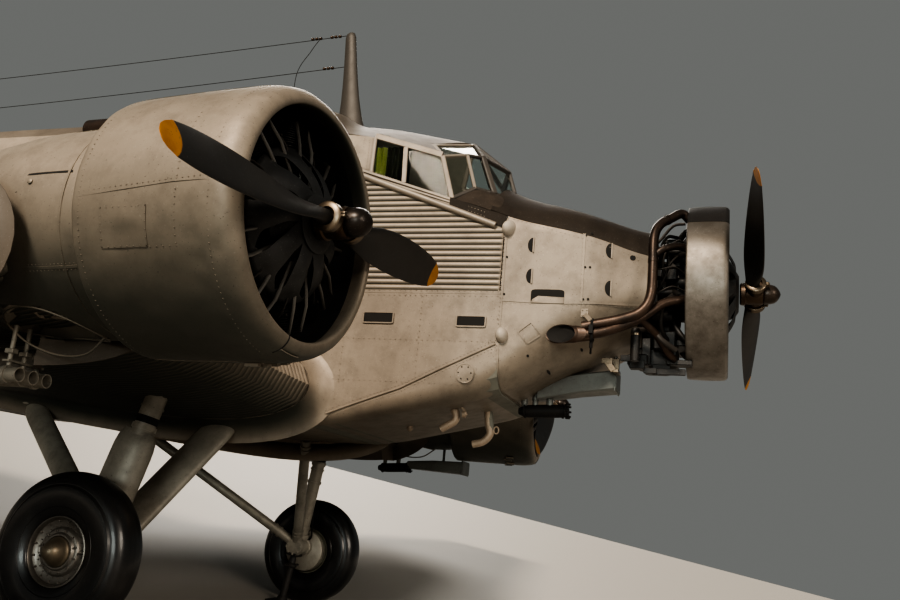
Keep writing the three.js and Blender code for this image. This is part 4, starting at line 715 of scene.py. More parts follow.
# Ribbed panels on the cockpit sides: they run back from the front seam and up to the slanting rail
ribs = {"pitch": 0.0495, "height": 0.013, "noseSeam": -1.975, "lowEdge": -0.213}
rail = {"front": (-2.05, 0.327), "rear": (-3.3, 0.806)}


def railX(z):  # where the rail passes a height
    (frontX, frontZ), (rearX, rearZ) = rail["front"], rail["rear"]
    return frontX + (z - frontZ) / ((rearZ - frontZ) / (rearX - frontX))


def makeCockpitRibs():
    top = 0.83
    count = int(round((top - ribs["lowEdge"]) / ribs["pitch"]))
    u = ribSteps(count)
    z = ribs["lowEdge"] + u * ribs["pitch"]
    crest = ribs["lowEdge"] + (np.floor(np.minimum(u, count - 1e-6)) + 0.5) * ribs["pitch"]
    front = np.where(crest < rail["front"][1] - 0.01, ribs["noseSeam"], railX(crest) + 0.045)
    rear = -3.775
    lead = front[None] - 0.03 * endSteps[:, None]
    body = lead[-1][None] + (rear - lead[-1][None]) * np.linspace(0, 1, 12)[1:, None]
    x = np.concatenate([lead, body])
    strength = np.concatenate([endRise, np.ones(11)])[:, None]
    out = 0.002 + ribs["height"] * ribWave(u)[None] * strength
    for sign, side in ((-1, "starboard"), (1, "port")):
        half = hullAt(x.ravel(), 0.0)["half"].reshape(x.shape)
        net = np.stack([x, sign * (half + out), np.broadcast_to(z, x.shape)], -1)
        addPiece(f"cockpit_ribs_{side}", facingSheet(net, (0, sign, 0)), "corrugated")


makeCockpitRibs()

# Ribbed cabin walls, open at the windows and doors
cabin = {"front": -3.8, "rear": -10.93, "low": -0.3, "top": 1.045}
cabinWindow = {"first": -4.7, "pitch": 0.86, "count": 6, "width": 0.45, "low": 0.52, "high": 0.9}
doorways = {"port": [(-9.56, -10.42, -0.29, 0.94)], "starboard": [(-9.2, -10.75, -0.29, 0.96)]}


def windowRects(side):
    last = -9.46 if side == "port" else -9.1
    rects = []
    for i in range(cabinWindow["count"]):
        front = cabinWindow["first"] - i * cabinWindow["pitch"]
        if front - cabinWindow["width"] > last:
            rects.append((front, front - cabinWindow["width"], cabinWindow["low"], cabinWindow["high"]))
    return rects


def ribWall(front, rear, low, top, sign, holes, name, body="airframe"):
    # ribs run along X on the flat wall; grid lines follow the edges of the holes, whose faces are left out
    count = int(round((top - low) / ribs["pitch"]))
    z = low + ribSteps(count) / count * (top - low)
    edges = sorted({round(v, 4) for hole in holes for v in hole[2:]} - set(np.round(z, 4)))
    z = np.sort(np.concatenate([z, edges]))
    lead, tail, rise = roundedEnds(front, rear)
    xs = np.concatenate([lead, tail, [v for hole in holes for v in hole[:2]],
                         np.arange(front - 0.5, rear + 0.2, -0.6)])
    xs = np.unique(np.round(xs, 4))[::-1]
    strength = np.interp(-xs, -np.concatenate([lead, tail]), np.concatenate([rise, rise[::-1]]))
    out = 0.002 + ribs["height"] * ribWave((z - low) / (top - low) * count)[None] * strength[:, None]
    net = np.stack([np.broadcast_to(xs[:, None], out.shape), sign * (0.82 + out),
                    np.broadcast_to(z, out.shape)], -1)
    midX, midZ = (xs[:-1] + xs[1:]) / 2, (z[:-1] + z[1:]) / 2
    keep = np.ones((len(midX), len(midZ)), bool)
    for a, b, lowZ, highZ in holes:
        keep &= ~(((midX < a) & (midX > b))[:, None] & ((midZ > lowZ) & (midZ < highZ))[None])
    addPiece(name, facingSheet(net, (0, sign, 0), keep=keep), "hullRibs", body=body)


for sign, side in ((-1, "starboard"), (1, "port")):
    ribWall(cabin["front"], cabin["rear"], cabin["low"] + 0.09, cabin["top"], sign,
            windowRects(side) + doorways[side], f"cabin_ribs_{side}")
ribWall(-9.57, -10.41, -0.28, 0.93, 1, [], "door_ribs_port", body="door_port")
ribWall(-9.21, -10.74, 0.33, 0.95, -1, [], "cargo_door_ribs_upper", body="cargo_door_upper")
ribWall(-9.21, -10.74, -0.28, 0.31, -1, [], "cargo_door_ribs_lower", body="cargo_door_lower")


def makeRoofRibs():
    lead, tail, rise = roundedEnds(cabin["front"], cabin["rear"])
    xs = np.concatenate([lead, np.linspace(lead[-1], tail[0], 12)[1:-1], tail])
    fade = np.concatenate([rise, np.ones(10), rise[::-1]])
    arch = hullNet(xs, rows=("arch",), soften=0.0, counts=(7, 11, 13, 40))
    net = ribbedNet(bothSides(arch)[:, 1:-1], ribs["pitch"], ribs["height"], (0, 0, 1),
                    base=0.006, fade=fade)
    addPiece("cabin_roof_ribs", facingSheet(net, (0, 0, 1)), "hullRibs")


makeRoofRibs()


def makeRearFuselage():
    # closed ribbed body: the ribs run from the cabin to the tail and close up as it narrows
    lead, tail, rise = roundedEnds(-10.953, -17.33)
    xs = np.concatenate([lead, np.linspace(lead[-1], tail[0], 24)[1:-1], tail])
    fade = np.concatenate([rise, np.ones(22), rise[::-1]])
    whole = bothSides(hullNet(xs, soften=0.3, counts=(9, 13, 20, 40)))
    net = ribbedNet(whole, 0.055, 0.011, (0, 0, -1), base=0.0, fade=fade)
    closed = grid(net[:, :-1], wrapV=True, capStart=True, capEnd=True)
    addPiece("rear_fuselage_ribs", outward(welded(closed)), "hullRibs", replaces=["rear_fuselage"])


makeRearFuselage()
print("fuselage skins made")


def sidePlate(outline, sign=-1, lift=0.003, sink=0.004):
    # a flat body on the hull side: the [x, z] outline at skin height, raised, and shrunk to its middle
    outline = np.asarray(outline, float)
    middle = outline.mean(0)
    rows = []
    for size, out in ((1.0, -sink), (1.0, lift * 0.8), (0.97, lift), (0.5, lift)):
        spots = middle + (outline - middle) * size
        rows.append(hullSide(spots[:, 0], spots[:, 1], sign, out))
    return solid(rows)


def ringOutline(centre, size, count=24, start=0.0, turn=2 * math.pi, power=2.0):
    angle = start + turn * np.arange(count) / (count if turn > 6.2 else count - 1)
    c, s = np.cos(angle), np.sin(angle)
    return np.stack([centre[0] + size[0] * np.sign(c) * np.abs(c) ** (2 / power),
                     centre[1] + size[1] * np.sign(s) * np.abs(s) ** (2 / power)], 1)


def blister(centre, size, sign=-1, tilt=0.0, lean=0.0):
    # half an ellipsoid standing on the hull side, its outer end pushed along x by the lean
    u, v = np.meshgrid(np.linspace(0, math.pi / 2, 9), roundAngles(24), indexing="ij")
    out = np.sin(u) * size[2]
    a, b = np.cos(u) * np.cos(v) * size[0], np.cos(u) * np.sin(v) * size[1]
    x = centre[0] + a * math.cos(tilt) - b * math.sin(tilt) + lean * np.sin(u)
    z = centre[1] + a * math.sin(tilt) + b * math.cos(tilt)
    skin = hullSide(np.full(x.size, centre[0]), z.ravel(), sign, -0.01).reshape(x.shape + (3,))
    net = np.stack([x, skin[..., 1] + sign * out, z], -1)
    return outward(welded(grid(net, wrapV=True, capStart=True)))


# Small things on the nose sides: places are [x, z] on the skin in metres
noseParts = {
    "louvres": [(-1.745, 0.183), (-1.743, -0.079), (-1.125, 0.157), (-1.12, -0.153)],
    "louvreSize": (0.042, 0.062),
    "slot": (-1.585, -0.245, 0.133, 0.057), "hole": (-0.942, 0.115, 0.022),
    "stepHoles": [(-2.988, -0.451, 0.126, 0.039), (-2.19, -0.466, 0.115, 0.038)],
    "screws": [(-1.302, 0.006), (-1.264, 0.008), (-1.305, -0.258), (-1.267, -0.254), (-1.307, 0.273),
               (-1.934, 0.079), (-1.936, -0.233), (-1.326, -0.623), (-1.595, -0.8), (-1.721, -0.721),
               (-1.26, 0.29), (-1.93, 0.27)],
    "diamond": [(-1.801, -0.542), (-1.703, -0.458), (-1.622, -0.556), (-1.724, -0.632)],
    "roundPlate": (-2.206, -0.888, 0.073),
    "bead": [(-3.36, -1.268), (-2.738, -1.032), (-2.416, -0.864), (-2.097, -0.706), (-1.975, -0.646)],
    "blisters": [(-1.93, 0.325, 0.052, 0.07, 0.09, -0.25, -0.02),
                 (-1.93, -0.572, 0.052, 0.066, 0.095, 0.1, 0.0)],
}


def makeNoseParts():
    light, dark, rivetSpots, rivetNormals, domes = [], [], [], [], []

    def rivetLine(points, pitch=0.036, sign=-1, lift=0.003):
        lift = lift + (0.008 if np.max(np.asarray(points)[:, 0]) < -1.95 else 0)
        count = max(3, int(sum(np.linalg.norm(np.diff(points, axis=0), axis=1)) / pitch))
        spots, normals = sidePath(points, count, sign, lift)
        rivetSpots.append(spots)
        rivetNormals.append(normals)

    for sign in (-1, 1):
        for x, z in noseParts["louvres"]:
            wide, high = noseParts["louvreSize"]
            dark.append(sidePlate(ringOutline((x + 0.018, z), (wide, high), 17, math.pi / 2, math.pi),
                                  sign, 0.0035))
            path, normals = sidePath([(x + 0.023, z - high * 1.02), (x + 0.023, z + high * 1.02)], 8, sign)
            light.append(ribbon(path, normals, 0.011, 0.008))
        x, z, wide, high = noseParts["slot"]
        dark.append(sidePlate(ringOutline((x, z), (wide, high), 36, power=7), sign, 0.0035))
        light.append(sidePlate([(x - wide * 0.97, z - high), (x + wide * 0.99, z - high),
                                (x + wide * 0.99, z - high * 0.12), (x - wide * 0.55, z + high * 0.02),
                                (x - wide * 0.9, z - high * 0.5)], sign, 0.01))
        x, z, size = noseParts["hole"]
        dark.append(sidePlate(ringOutline((x, z), (size, size), 16), sign, 0.004))
        for x, z, wide, high in noseParts["stepHoles"]:
            dark.append(sidePlate(ringOutline((x, z), (wide, high), 32, power=12), sign, 0.013))
            edge = ringOutline((x, z), (wide + 0.006, high + 0.006), 32, power=14)
            path = hullSide(np.append(edge[:, 0], edge[0, 0]),
                            np.append(edge[:, 1], edge[0, 1]), sign, 0.011)
            light.append(ribbon(path, [0, sign, 0], 0.011, 0.006))
        for x, z in noseParts["screws"]:
            dark.append(sidePlate(ringOutline((x, z), (0.009, 0.009), 10), sign, 0.006))
        frame4 = noseParts["diamond"] + noseParts["diamond"][:1]
        path, normals = sidePath(frame4, 41, sign)
        light.append(ribbon(path, normals, 0.01, 0.004))
        rivetLine(np.array(frame4) * 0.88 + np.mean(noseParts["diamond"], 0) * 0.12, 0.03, sign)
        x, z, size = noseParts["roundPlate"]
        light.append(sidePlate(ringOutline((x, z), (size, size), 32), sign, 0.013))
        edge = ringOutline((x, z), (size, size), 33, turn=2 * math.pi * 33 / 32)
        light.append(ribbon(hullSide(edge[:, 0], edge[:, 1], sign, 0.012), [0, sign, 0], 0.009, 0.005))
        for spot in ringOutline((x, z), (size * 0.72, size * 0.72), 6):
            dark.append(sidePlate(ringOutline(spot, (0.006, 0.006), 8), sign, 0.016))
        bead, normals = sidePath(noseParts["bead"], 40, sign, 0.01)
        light.append(tube(bead, 0.0075, 8))
        for offset in (-0.028, 0.03):
            rivetLine(np.array(noseParts["bead"]) + [0, offset], 0.03, sign)
        for x, z, wide, high, out, tilt, lean in noseParts["blisters"]:
            domes.append(blister((x, z), (wide, high, out), sign, tilt, lean))
        # seams: upright at the two frames, level below the louvres, and the strip under the ribs
        for seam, low, high in ((nose["rearSeam"], -0.8, 0.41), (nose["midSeam"], -0.28, 0.285)):
            path, normals = sidePath([(seam, low), (seam, high)], 30, sign)
            light.append(ribbon(path, normals, 0.022, 0.0018))
            for offset in (-0.009, 0.009):
                rivetLine([(seam + offset, low), (seam + offset, high)], 0.034, sign, 0.005)
        for start, end in (((-1.955, -0.284), (-1.72, -0.294)), ((-1.45, -0.297), (-0.86, -0.262))):
            path, normals = sidePath([start, end], 24, sign)
            light.append(ribbon(path, normals, 0.014, 0.002))
            rivetLine([np.add(start, (0, -0.018)), np.add(end, (0, -0.018))], 0.03, sign)
        path, normals = sidePath([(-3.78, -0.222), (-1.965, -0.222)], 30, sign)
        light.append(ribbon(path, normals, 0.028, 0.004))
        for height in (-0.215, -0.255, -0.63, -0.98):
            rivetLine([(-3.7, height), (-1.985, height)], 0.045, sign)
        for x in (-2.62, -3.28):
            rivetLine([(x, -0.26), (x, -1.0)], 0.045, sign)
        rivetLine([(-1.9, 0.405), (-0.87, 0.115)], 0.035, sign)
        rivetLine([(-0.9, 0.1), (-0.9, -0.2)], 0.04, sign)
    # the blisters get the lighter copy of the skin grey, a painted highlight
    addPiece("nose_blisters", merged(domes), "blister", smoothAngle=40)
    addPiece("nose_fittings", merged(light), "skin", smoothAngle=40)
    # dark plates for the louvre, slot, hole and step openings: painted shade inside them
    addPiece("nose_openings", merged(dark), "soot")
    addPiece("nose_rivets", rivets(np.concatenate(rivetSpots), np.concatenate(rivetNormals), 0.0042,
                                   0.0016), "skin")
    # the rear seam goes on round the bottom
    ring = firewallBend(bothSides(hullNet([nose["rearSeam"]], rows=("flat", "corner"), lift=0.002)))[0]
    out = ring - np.array([[nose["rearSeam"], 0, -0.5]])
    addPiece("nose_seam_rear", ribbon(ring, out, 0.03, 0.002), "skin")


makeNoseParts()

# Cockpit: corners of the windscreen frame for the starboard side, metres
screen = {
    "sideLow": (-2.455, -0.79, 0.6), "sideTop": (-2.585, -0.75, 1.005),
    "quarterLow": (-2.3, -0.65, 0.74), "quarterTop": (-2.42, -0.57, 1.09),
    "frontLow": (-2.18, -0.45, 0.765), "frontTop": (-2.325, -0.4, 1.135),
    "middleLow": (-2.08, 0.0, 0.855), "middleTop": (-2.18, 0.0, 1.155),
    "roofSide": (-2.77, -0.5, 1.228), "roofMiddle": (-2.537, 0.0, 1.445),
    "winRearTop": (-3.206, -0.8, 1.193), "winRearLow": (-3.206, -0.812, 0.851),
    "postTop": (-2.918, -0.785, 1.092), "postLow": (-2.896, -0.806, 0.752),
}
corner = {key: np.array(value) for key, value in screen.items()}
ridgeLine = {"x": [-3.8, -3.314, -2.537], "z": [1.682, 1.623, 1.445]}


def windowTop(x):  # height of the side window's upper edge, carried back to the cabin
    return np.interp(-x, [2.585, 3.206, 3.8], [1.005, 1.193, 1.3])


def makeCockpitRoof():
    # across the roof y = -half s, s from 1 at the window top to 0 at the ridge; the roof falls from the
    # ridge as (sqrt(s^2 + e^2) - e), and at the rear it runs over into the cabin's arch
    share = np.sin(np.linspace(0, math.pi / 2, 25)) ** 1.3
    frontX = np.interp(share, [0, 0.05, 0.375, 1.0], [corner["sideTop"][0], -2.61, corner["roofSide"][0],
                                                      corner["roofMiddle"][0]])
    s, soft, rows = 1 - share, 0.16, []
    fall = (np.sqrt(s ** 2 + soft ** 2) - soft) / (math.sqrt(1 + soft ** 2) - soft)
    for u in np.append(np.linspace(0, 0.16, 6), np.linspace(0.22, 1, 12)):
        x = -3.785 + (frontX + 3.785) * u
        low, top = windowTop(x), np.interp(-x, -np.array(ridgeLine["x"])[::-1], ridgeLine["z"][::-1])
        half = np.interp(-x, [2.5, 2.8, 3.8], [0.765, 0.79, 0.815])
        z = low + (top - low) * (1 - fall)
        at = hullAt(-3.9)
        arch = at["side"] + (at["top"] - at["side"]) * np.sqrt(1 - np.minimum(s * 0.994, 1) ** (2 / 0.62))
        blend = np.clip((-3.6 - x) / 0.185, 0, 1)
        blend = blend * blend * (3 - 2 * blend)
        rows.append(np.stack([x, -half * s, z * (1 - blend) + arch * blend], 1))
    half = np.array(rows)
    # the roof takes the dark roofSide colour: painted shade on its top
    addPiece("cockpit_roof", facingSheet(bothSides(half), (0, 0, 1), 0.012), "roofSide", smoothAngle=60)
    return half


roofHalf = makeCockpitRoof()


def railHeight(x):
    (frontX, frontZ), (rearX, rearZ) = rail["front"], rail["rear"]
    return frontZ + (frontX - x) * (rearZ - frontZ) / (frontX - rearX)


def makeCockpitSide():
    # side sheet from the rail line up to the window sill, and up to the roof behind the window
    xs = np.array([-3.785, -3.5, -3.3, -3.2065, -3.2055, -3.0, -2.75, -2.6, -2.455, -2.3, -2.15,
                   -2.0, -1.957])
    top = np.where(xs < -3.206, windowTop(xs), np.interp(-xs, [1.957, 2.455, 3.206], [0.425, 0.6, 0.851]))
    low = np.minimum(np.maximum(railHeight(xs) - 0.05, 0.25), 0.8)
    share = np.linspace(0, 1, 9)
    pieces = []
    for sign in (-1, 1):
        z = low[:, None] + (top - low)[:, None] * share
        y = np.interp(z, [0.5, 1.3], [0.816, 0.8])
        y = np.minimum(y, hullAt(xs, 0.0)["half"][:, None] + 0.003)
        net = np.stack([np.repeat(xs[:, None], 9, 1), sign * y, z], -1)
        pieces.append(facingSheet(net, (0, sign, 0), 0.01))
    addPiece("cockpit_side_sheets", merged(pieces), "skin")
    # the dark deck paint runs on over the side between the handrail and the screen
    xs = np.linspace(-2.46, -1.958, 14)
    top = np.interp(-xs, [1.957, 2.455, 3.206], [0.427, 0.602, 0.853])
    low = np.maximum(railHeight(xs) + 0.03, 0.335)
    patches = []
    for sign in (-1, 1):
        z = low[:, None] + np.maximum(top - low, 0.004)[:, None] * share
        y = np.interp(z, [0.5, 1.3], [0.816, 0.8])
        y = np.minimum(y, hullAt(xs, 0.0)["half"][:, None] + 0.003) + 0.011
        net = np.stack([np.repeat(xs[:, None], 9, 1), sign * y, z], -1)
        patches.append(facingSheet(net, (0, sign, 0), 0.003))
    addPiece("deck_edges", merged(patches), "deck")
    # padded cover between the nose deck and the foot of the windscreen
    base = smoothPath([corner["sideLow"], corner["quarterLow"], corner["frontLow"],
                       corner["middleLow"]], 19)
    at = {key: value[:, None] for key, value in hullAt([-1.957], 0.0).items()}
    y, z = archPoint(at, np.linspace(0, 1, 19), 0.004)
    foot = np.stack([np.full(19, -1.957), -np.abs(y[0]), z[0]], 1)
    steps = np.linspace(0, 1, 8)[:, None, None]
    swell = np.array([0, 0, 0.014]) * np.sin(steps * math.pi) ** 0.8
    half = foot[None] * (1 - steps) + base[None] * steps + swell
    addPiece("screen_cover", facingSheet(bothSides(half), (0, 0, 1), 0.012), "cover", smoothAngle=60)


makeCockpitSide()


def bar(start, end, width=0.03, depth=0.03, facing=(0, -1, 0)):
    # straight frame member with a rounded rectangular section, its wide face turned to the facing
    start, end, facing = (np.asarray(v, float) for v in (start, end, facing))
    way = unit(end - start)
    side = unit(np.cross(way, facing))
    front = np.cross(side, way)
    a, b, c = width / 2, depth / 2, min(width, depth) * 0.18
    section = [(a, b - c), (a - c, b), (c - a, b), (-a, b - c), (-a, c - b), (c - a, -b),
               (a - c, -b), (a, c - b)]
    return solid([[at + side * p + front * q for p, q in section] for at in (start, end)])


def makeScreenFrame():
    c = corner
    light = [bar(c["sideLow"], c["sideTop"], 0.045, 0.04, (0.3, -1, 0.2)),
             bar(c["quarterLow"], c["quarterTop"], 0.03, 0.03, (0.5, -1, 0)),
             bar(c["roofSide"], c["sideTop"], 0.045, 0.035, (0.2, -0.8, 0.6)),
             bar(c["roofSide"], c["roofMiddle"], 0.04, 0.03, (0.5, 0, 1)),
             bar(c["winRearTop"] + [0, 0.0, 0.012], c["sideTop"] + [0, -0.01, 0.012], 0.055, 0.03),
             bar(c["winRearLow"], c["winRearTop"], 0.03, 0.03),
             bar(c["postLow"], c["postTop"], 0.042, 0.02),
             bar(c["sideTop"], c["quarterTop"], 0.028, 0.03, (0.3, -0.7, 0.7)),
             bar(c["winRearLow"] + [-0.1, -0.008, 0.025], c["sideLow"] + [0, -0.008, -0.012], 0.026, 0.045),
             bar(c["winRearLow"] + [-0.12, -0.014, -0.005], c["sideLow"] + [0.05, -0.014, -0.055],
                 0.018, 0.03)]
    dark = [bar(c["frontLow"], c["frontTop"], 0.055, 0.05, (0.8, -0.7, 0)),
            bar(c["frontTop"], c["roofMiddle"], 0.04, 0.04, (0.5, -0.5, 0.7)),
            bar(c["frontTop"], c["middleTop"], 0.05, 0.04, (0.7, 0, 0.7)),
            bar(c["quarterTop"], c["frontTop"], 0.028, 0.03, (0.5, -0.7, 0.5)),
            bar(c["quarterLow"], c["frontLow"], 0.04, 0.04, (0.6, -0.7, 0.3)),
            bar(c["sideLow"], c["quarterLow"], 0.035, 0.04, (0.5, -0.8, 0.3)),
            bar(c["frontLow"], c["middleLow"], 0.04, 0.04, (1, 0, 0.3))]
    centre = [bar(c["middleLow"], c["middleTop"], 0.035, 0.04, (1, 0, 0)),
              bar(c["middleTop"], c["roofMiddle"], 0.04, 0.04, (0.7, 0, 0.7))]
    light, dark = merged(light), merged(dark)
    addPiece("screen_frame_light", merged([light, mirrored(light)]), "frame")
    addPiece("screen_frame_dark", merged([dark, mirrored(dark)] + centre), "darkFrame", slot="grey_paint")

    def pane(*names):
        points = np.array([c[name] for name in names])
        if len(points) == 3:
            points = np.vstack([points, points[2:]])
        u, v = np.linspace(0, 1, 3)[:, None, None], np.linspace(0, 1, 3)[None, :, None]
        net = (points[0] * (1 - v) + points[1] * v) * (1 - u) + (points[3] * (1 - v) + points[2] * v) * u
        return thick(welded(grid(net)), 0.004)
    panes = [pane("winRearLow", "sideLow", "sideTop", "winRearTop"),
             pane("sideLow", "quarterLow", "quarterTop", "sideTop"),
             pane("quarterLow", "frontLow", "frontTop", "quarterTop"),
             pane("frontLow", "middleLow", "middleTop", "frontTop"),
             pane("roofSide", "sideTop", "quarterTop"), pane("roofSide", "quarterTop", "frontTop"),
             pane("roofSide", "frontTop", "roofMiddle"), pane("frontTop", "middleTop", "roofMiddle")]
    panes = merged(panes)
    addPiece("screen_glass", merged([panes, mirrored(panes)]), glassMaterial, slot="inside_paint",
             replaces=["cockpit_shell"])


makeScreenFrame()


def makeHandrails():
    out, rivetSpots, rivetNormals = [], [], []
    for sign in (-1, 1):
        path = np.array([[x, sign * (hullAt(x)["half"][0] + 0.022), railHeight(x) + 0.02]
                         for x in np.linspace(-2.045, -3.3, 18)])
        out.append(tube(path, 0.027, 16))
        for x in (-2.12, -2.55, -2.95, -3.25):
            out.append(boxes([[x, sign * (hullAt(x)["half"][0] + 0.004), railHeight(x) + 0.02]],
                             [[0.05, 0.03, 0.05]]))
        for offset in (0.062, 0.1):
            rivetSpots.append(np.array([[x, sign * 0.818, railHeight(x) + offset]
                                        for x in np.arange(-2.15, -3.3, -0.028)]))
            rivetNormals.append(np.tile([0, sign, 0], (len(rivetSpots[-1]), 1)))
        for x in (-3.235, -3.26, -3.76):
            rivetSpots.append(np.array([[x, sign * 0.812, z] for z in np.arange(0.86, 1.2, 0.032)]))
            rivetNormals.append(np.tile([0, sign, 0], (len(rivetSpots[-1]), 1)))
    addPiece("handrails", merged(out), "frame")
    addPiece("cockpit_rivets", rivets(np.concatenate(rivetSpots), np.concatenate(rivetNormals), 0.0042,
                                      0.0018), "skin")


makeHandrails()


def closedTube(path, radius, sides=8):
    # a tube along a closed loop
    path = np.asarray(path, float)
    way = unit(np.roll(path, -1, 0) - np.roll(path, 1, 0))
    centre = path.mean(0)
    out = path - centre
    out = unit(out - way * np.einsum("ij,ij->i", out, way)[:, None])
    third = np.cross(way, out)
    angle = roundAngles(sides)[None, :, None]
    net = path[:, None] + radius * (np.cos(angle) * out[:, None] + np.sin(angle) * third[:, None])
    return outward(grid(net, wrapU=True, wrapV=True))


# Inside the cockpit: two padded seats, columns with wheels, the board with its dials, and the side curtains
cabinParts = {
    "seatX": -2.92, "seatY": 0.37, "pan": (0.43, 0.43, 0.1), "panZ": 0.125, "base": (0.34, 0.34),
    "floor": -0.345,
    # seat back rows: height, lean to the rear, half width
    "back": [(0.14, 0.0, 0.195), (0.5, 0.06, 0.225), (0.68, 0.09, 0.205), (0.735, 0.1, 0.135)],
    "backX": -3.14,
    "column": [(-2.45, -0.31), (-2.5, 0.1), (-2.6, 0.49)], "wheelRadius": 0.158,
    "pedestal": {"x": -2.5, "size": (0.36, 0.22), "top": 0.33},
    "board": {"x": -2.2, "low": 0.39, "high": 0.74, "half": 0.6},
    "curtain": {"front": -2.862, "rear": -3.228, "low": 0.63, "high": 1.11, "y": 0.762,
                "wave": 0.017, "folds": 7,
                "lightShare": 0.64, "thick": 0.0015},
}


def pillow(size, crown=0.25, pull=0.04, channels=0, count=41):
    # u, v run over the pad; height falls to a seam all round as ((1 - u^8)(1 -
    # v^8))^0.4, the middle is crowned by (1 - u^2)(1 - v^2), the sides pull in
    # between the corners, and each sewn channel is a Gaussian groove along v
    side = np.sin(np.linspace(-math.pi / 2, math.pi / 2, count))
    u, v = side[:, None] + 0 * side[None], side[None] + 0 * side[:, None]
    rise = np.maximum((1 - u ** 8) * (1 - v ** 8), 0) ** 0.4
    a, b, h = np.asarray(size, float) / 2
    x = a * u * (1 - pull * (1 - v ** 2) * u ** 4)
    y = b * v * (1 - pull * (1 - u ** 2) * v ** 4)
    top = h * rise * (1 + crown * ((1 - u ** 2) * (1 - v ** 2) - 1) * 0.8)
    for k in range(channels):
        top = top - 0.01 * np.exp(-((u * a - (2 * (k + 1) / (channels + 1) - 1) * a) / 0.008) ** 2) * rise
    layers = [np.stack([x, y, top], -1), np.stack([x, y, -h * rise * 0.9], -1)]
    made = merged([grid(layers[0]), flipped(grid(layers[1]))])
    return outward(welded(made, 1e-5))


def makeSeat(side, sign):
    part = cabinParts
    x, y = part["seatX"], sign * part["seatY"]
    wide, deep, tall = part["pan"]
    pan = moved(pillow((wide, deep, tall), channels=3), lambda v: v + [x, y, part["panZ"]])
    cushion = addPiece(f"seat_cushion_{side}", pan, "leather", smoothAngle=60)
    low, high = part["back"][0][0], part["back"][-1][0]
    rows = np.array(part["back"])

    def leaned(v):  # the flat pad's u runs up the back and narrows by the rows
        z = (low + high) / 2 + v[:, 0]
        half = np.interp(z, rows[:, 0], rows[:, 2]) / 0.225
        return np.stack([part["backX"] - np.interp(z, rows[:, 0], rows[:, 1]) + v[:, 2],
                         y + v[:, 1] * half, z], 1)
    back = outward(moved(pillow((high - low, 0.45, 0.076), channels=4), leaned))
    rest = addPiece(f"seat_back_{side}", back, "leather", smoothAngle=60)
    base, floor = part["base"], part["floor"]
    top = part["panZ"] - tall * 0.45
    frameParts = [bar((x + dx, y + dy, floor), (x + dx, y + dy, top), 0.024, 0.024, (1, 0, 0))
                  for dx in (-0.155, 0.155) for dy in (-0.155, 0.155)]
    frameParts += [boxes([[x, y, top - 0.012]], [[base[0], base[1], 0.018]], 0.3),
                   boxes([[x, y, (floor + top) / 2]],
                         [[base[0] - 0.04, base[1] - 0.04, top - floor - 0.05]], 0.2)]
    frameParts += [boxes([[x, y + dy, floor + 0.012]], [[0.34, 0.03, 0.022]], 0.3) for dy in (-0.15, 0.15)]
    addPiece(f"seat_frame_{side}", merged(frameParts), "inside",
             replaces=[f"cockpit_seat_{side}"])


def makeControls():
    part = cabinParts
    metal, dark, dials = [], [], []
    for y in (-part["seatY"], part["seatY"]):
        column = smoothPath([(x, y, z) for x, z in part["column"]], 14)
        metal.append(tube(column, 0.018, 12))
        angle = np.linspace(0, 2 * math.pi, 41)[:-1]
        r = part["wheelRadius"]
        wheel = np.stack([-2.6 - 0.03 * np.sin(angle), y + r * np.cos(angle), 0.49 + r * np.sin(angle)], 1)
        dark.append(outward(closedTube(wheel, 0.012, 10)))
        metal += [bar((-2.6, y - r, 0.49), (-2.6, y + r, 0.49), 0.02, 0.02, (1, 0, 0)),
                  bar((-2.57, y, 0.49 - r), (-2.6, y, 0.5), 0.018, 0.018, (1, 0, 0))]
        metal += [boxes([[-2.14, y + dy, -0.26]], [[0.04, 0.1, 0.1]], 0.3) for dy in (-0.1, 0.1)]
    block = part["pedestal"]
    wide, deep = block["size"]
    metal.append(boxes([[block["x"], 0, (block["top"] + part["floor"]) / 2]],
                       [[wide, deep, block["top"] - part["floor"]]], 0.15))
    for k, y in enumerate((-0.07, -0.035, 0.0, 0.035, 0.07)):
        metal.append(tube([(block["x"] + 0.04, y, block["top"] - 0.01),
                           (block["x"] - 0.01 * (k % 3), y, block["top"] + 0.13)], 0.005, 8))
        dark.append(lathe([(-0.014, 0), (-0.012, 0.011), (0.012, 0.011), (0.014, 0)], 12,
                          centre=(block["x"] - 0.01 * (k % 3), y, block["top"] + 0.135)))
    board = part["board"]
    middle = (board["low"] + board["high"]) / 2
    panel = boxes([[board["x"], 0, middle]], [[0.05, 2 * board["half"], board["high"] - board["low"]]], 0.2)
    for z in (middle + 0.085, middle - 0.02, middle - 0.11):
        for y in np.linspace(-0.52, 0.52, 9):
            size = 0.9 if z < middle - 0.1 else 1.15
            dial = lathe([(0.0, 0), (0.0, 0.036 * size), (0.012, 0.036 * size), (0.012, 0.03 * size),
                          (0.007, 0.028 * size), (0.007, 0)], 20)
            dials.append(moved(dial, lambda v, y=y, z=z: v * [-1, 1, 1] + [board["x"] - 0.024, y, z]))
    dials = [outward(dial) for dial in dials]
    addPiece("control_columns", merged(metal), "inside", replaces=["cockpit_controls"])
    addPiece("control_wheels", merged(dark), "blackPaint", slot="inside_paint")
    addPiece("board_panel", panel, "darkFrame", replaces=["instrument_board"])
    addPiece("board_dials", merged(dials), "blackPaint", slot="inside_paint", smoothAngle=40)


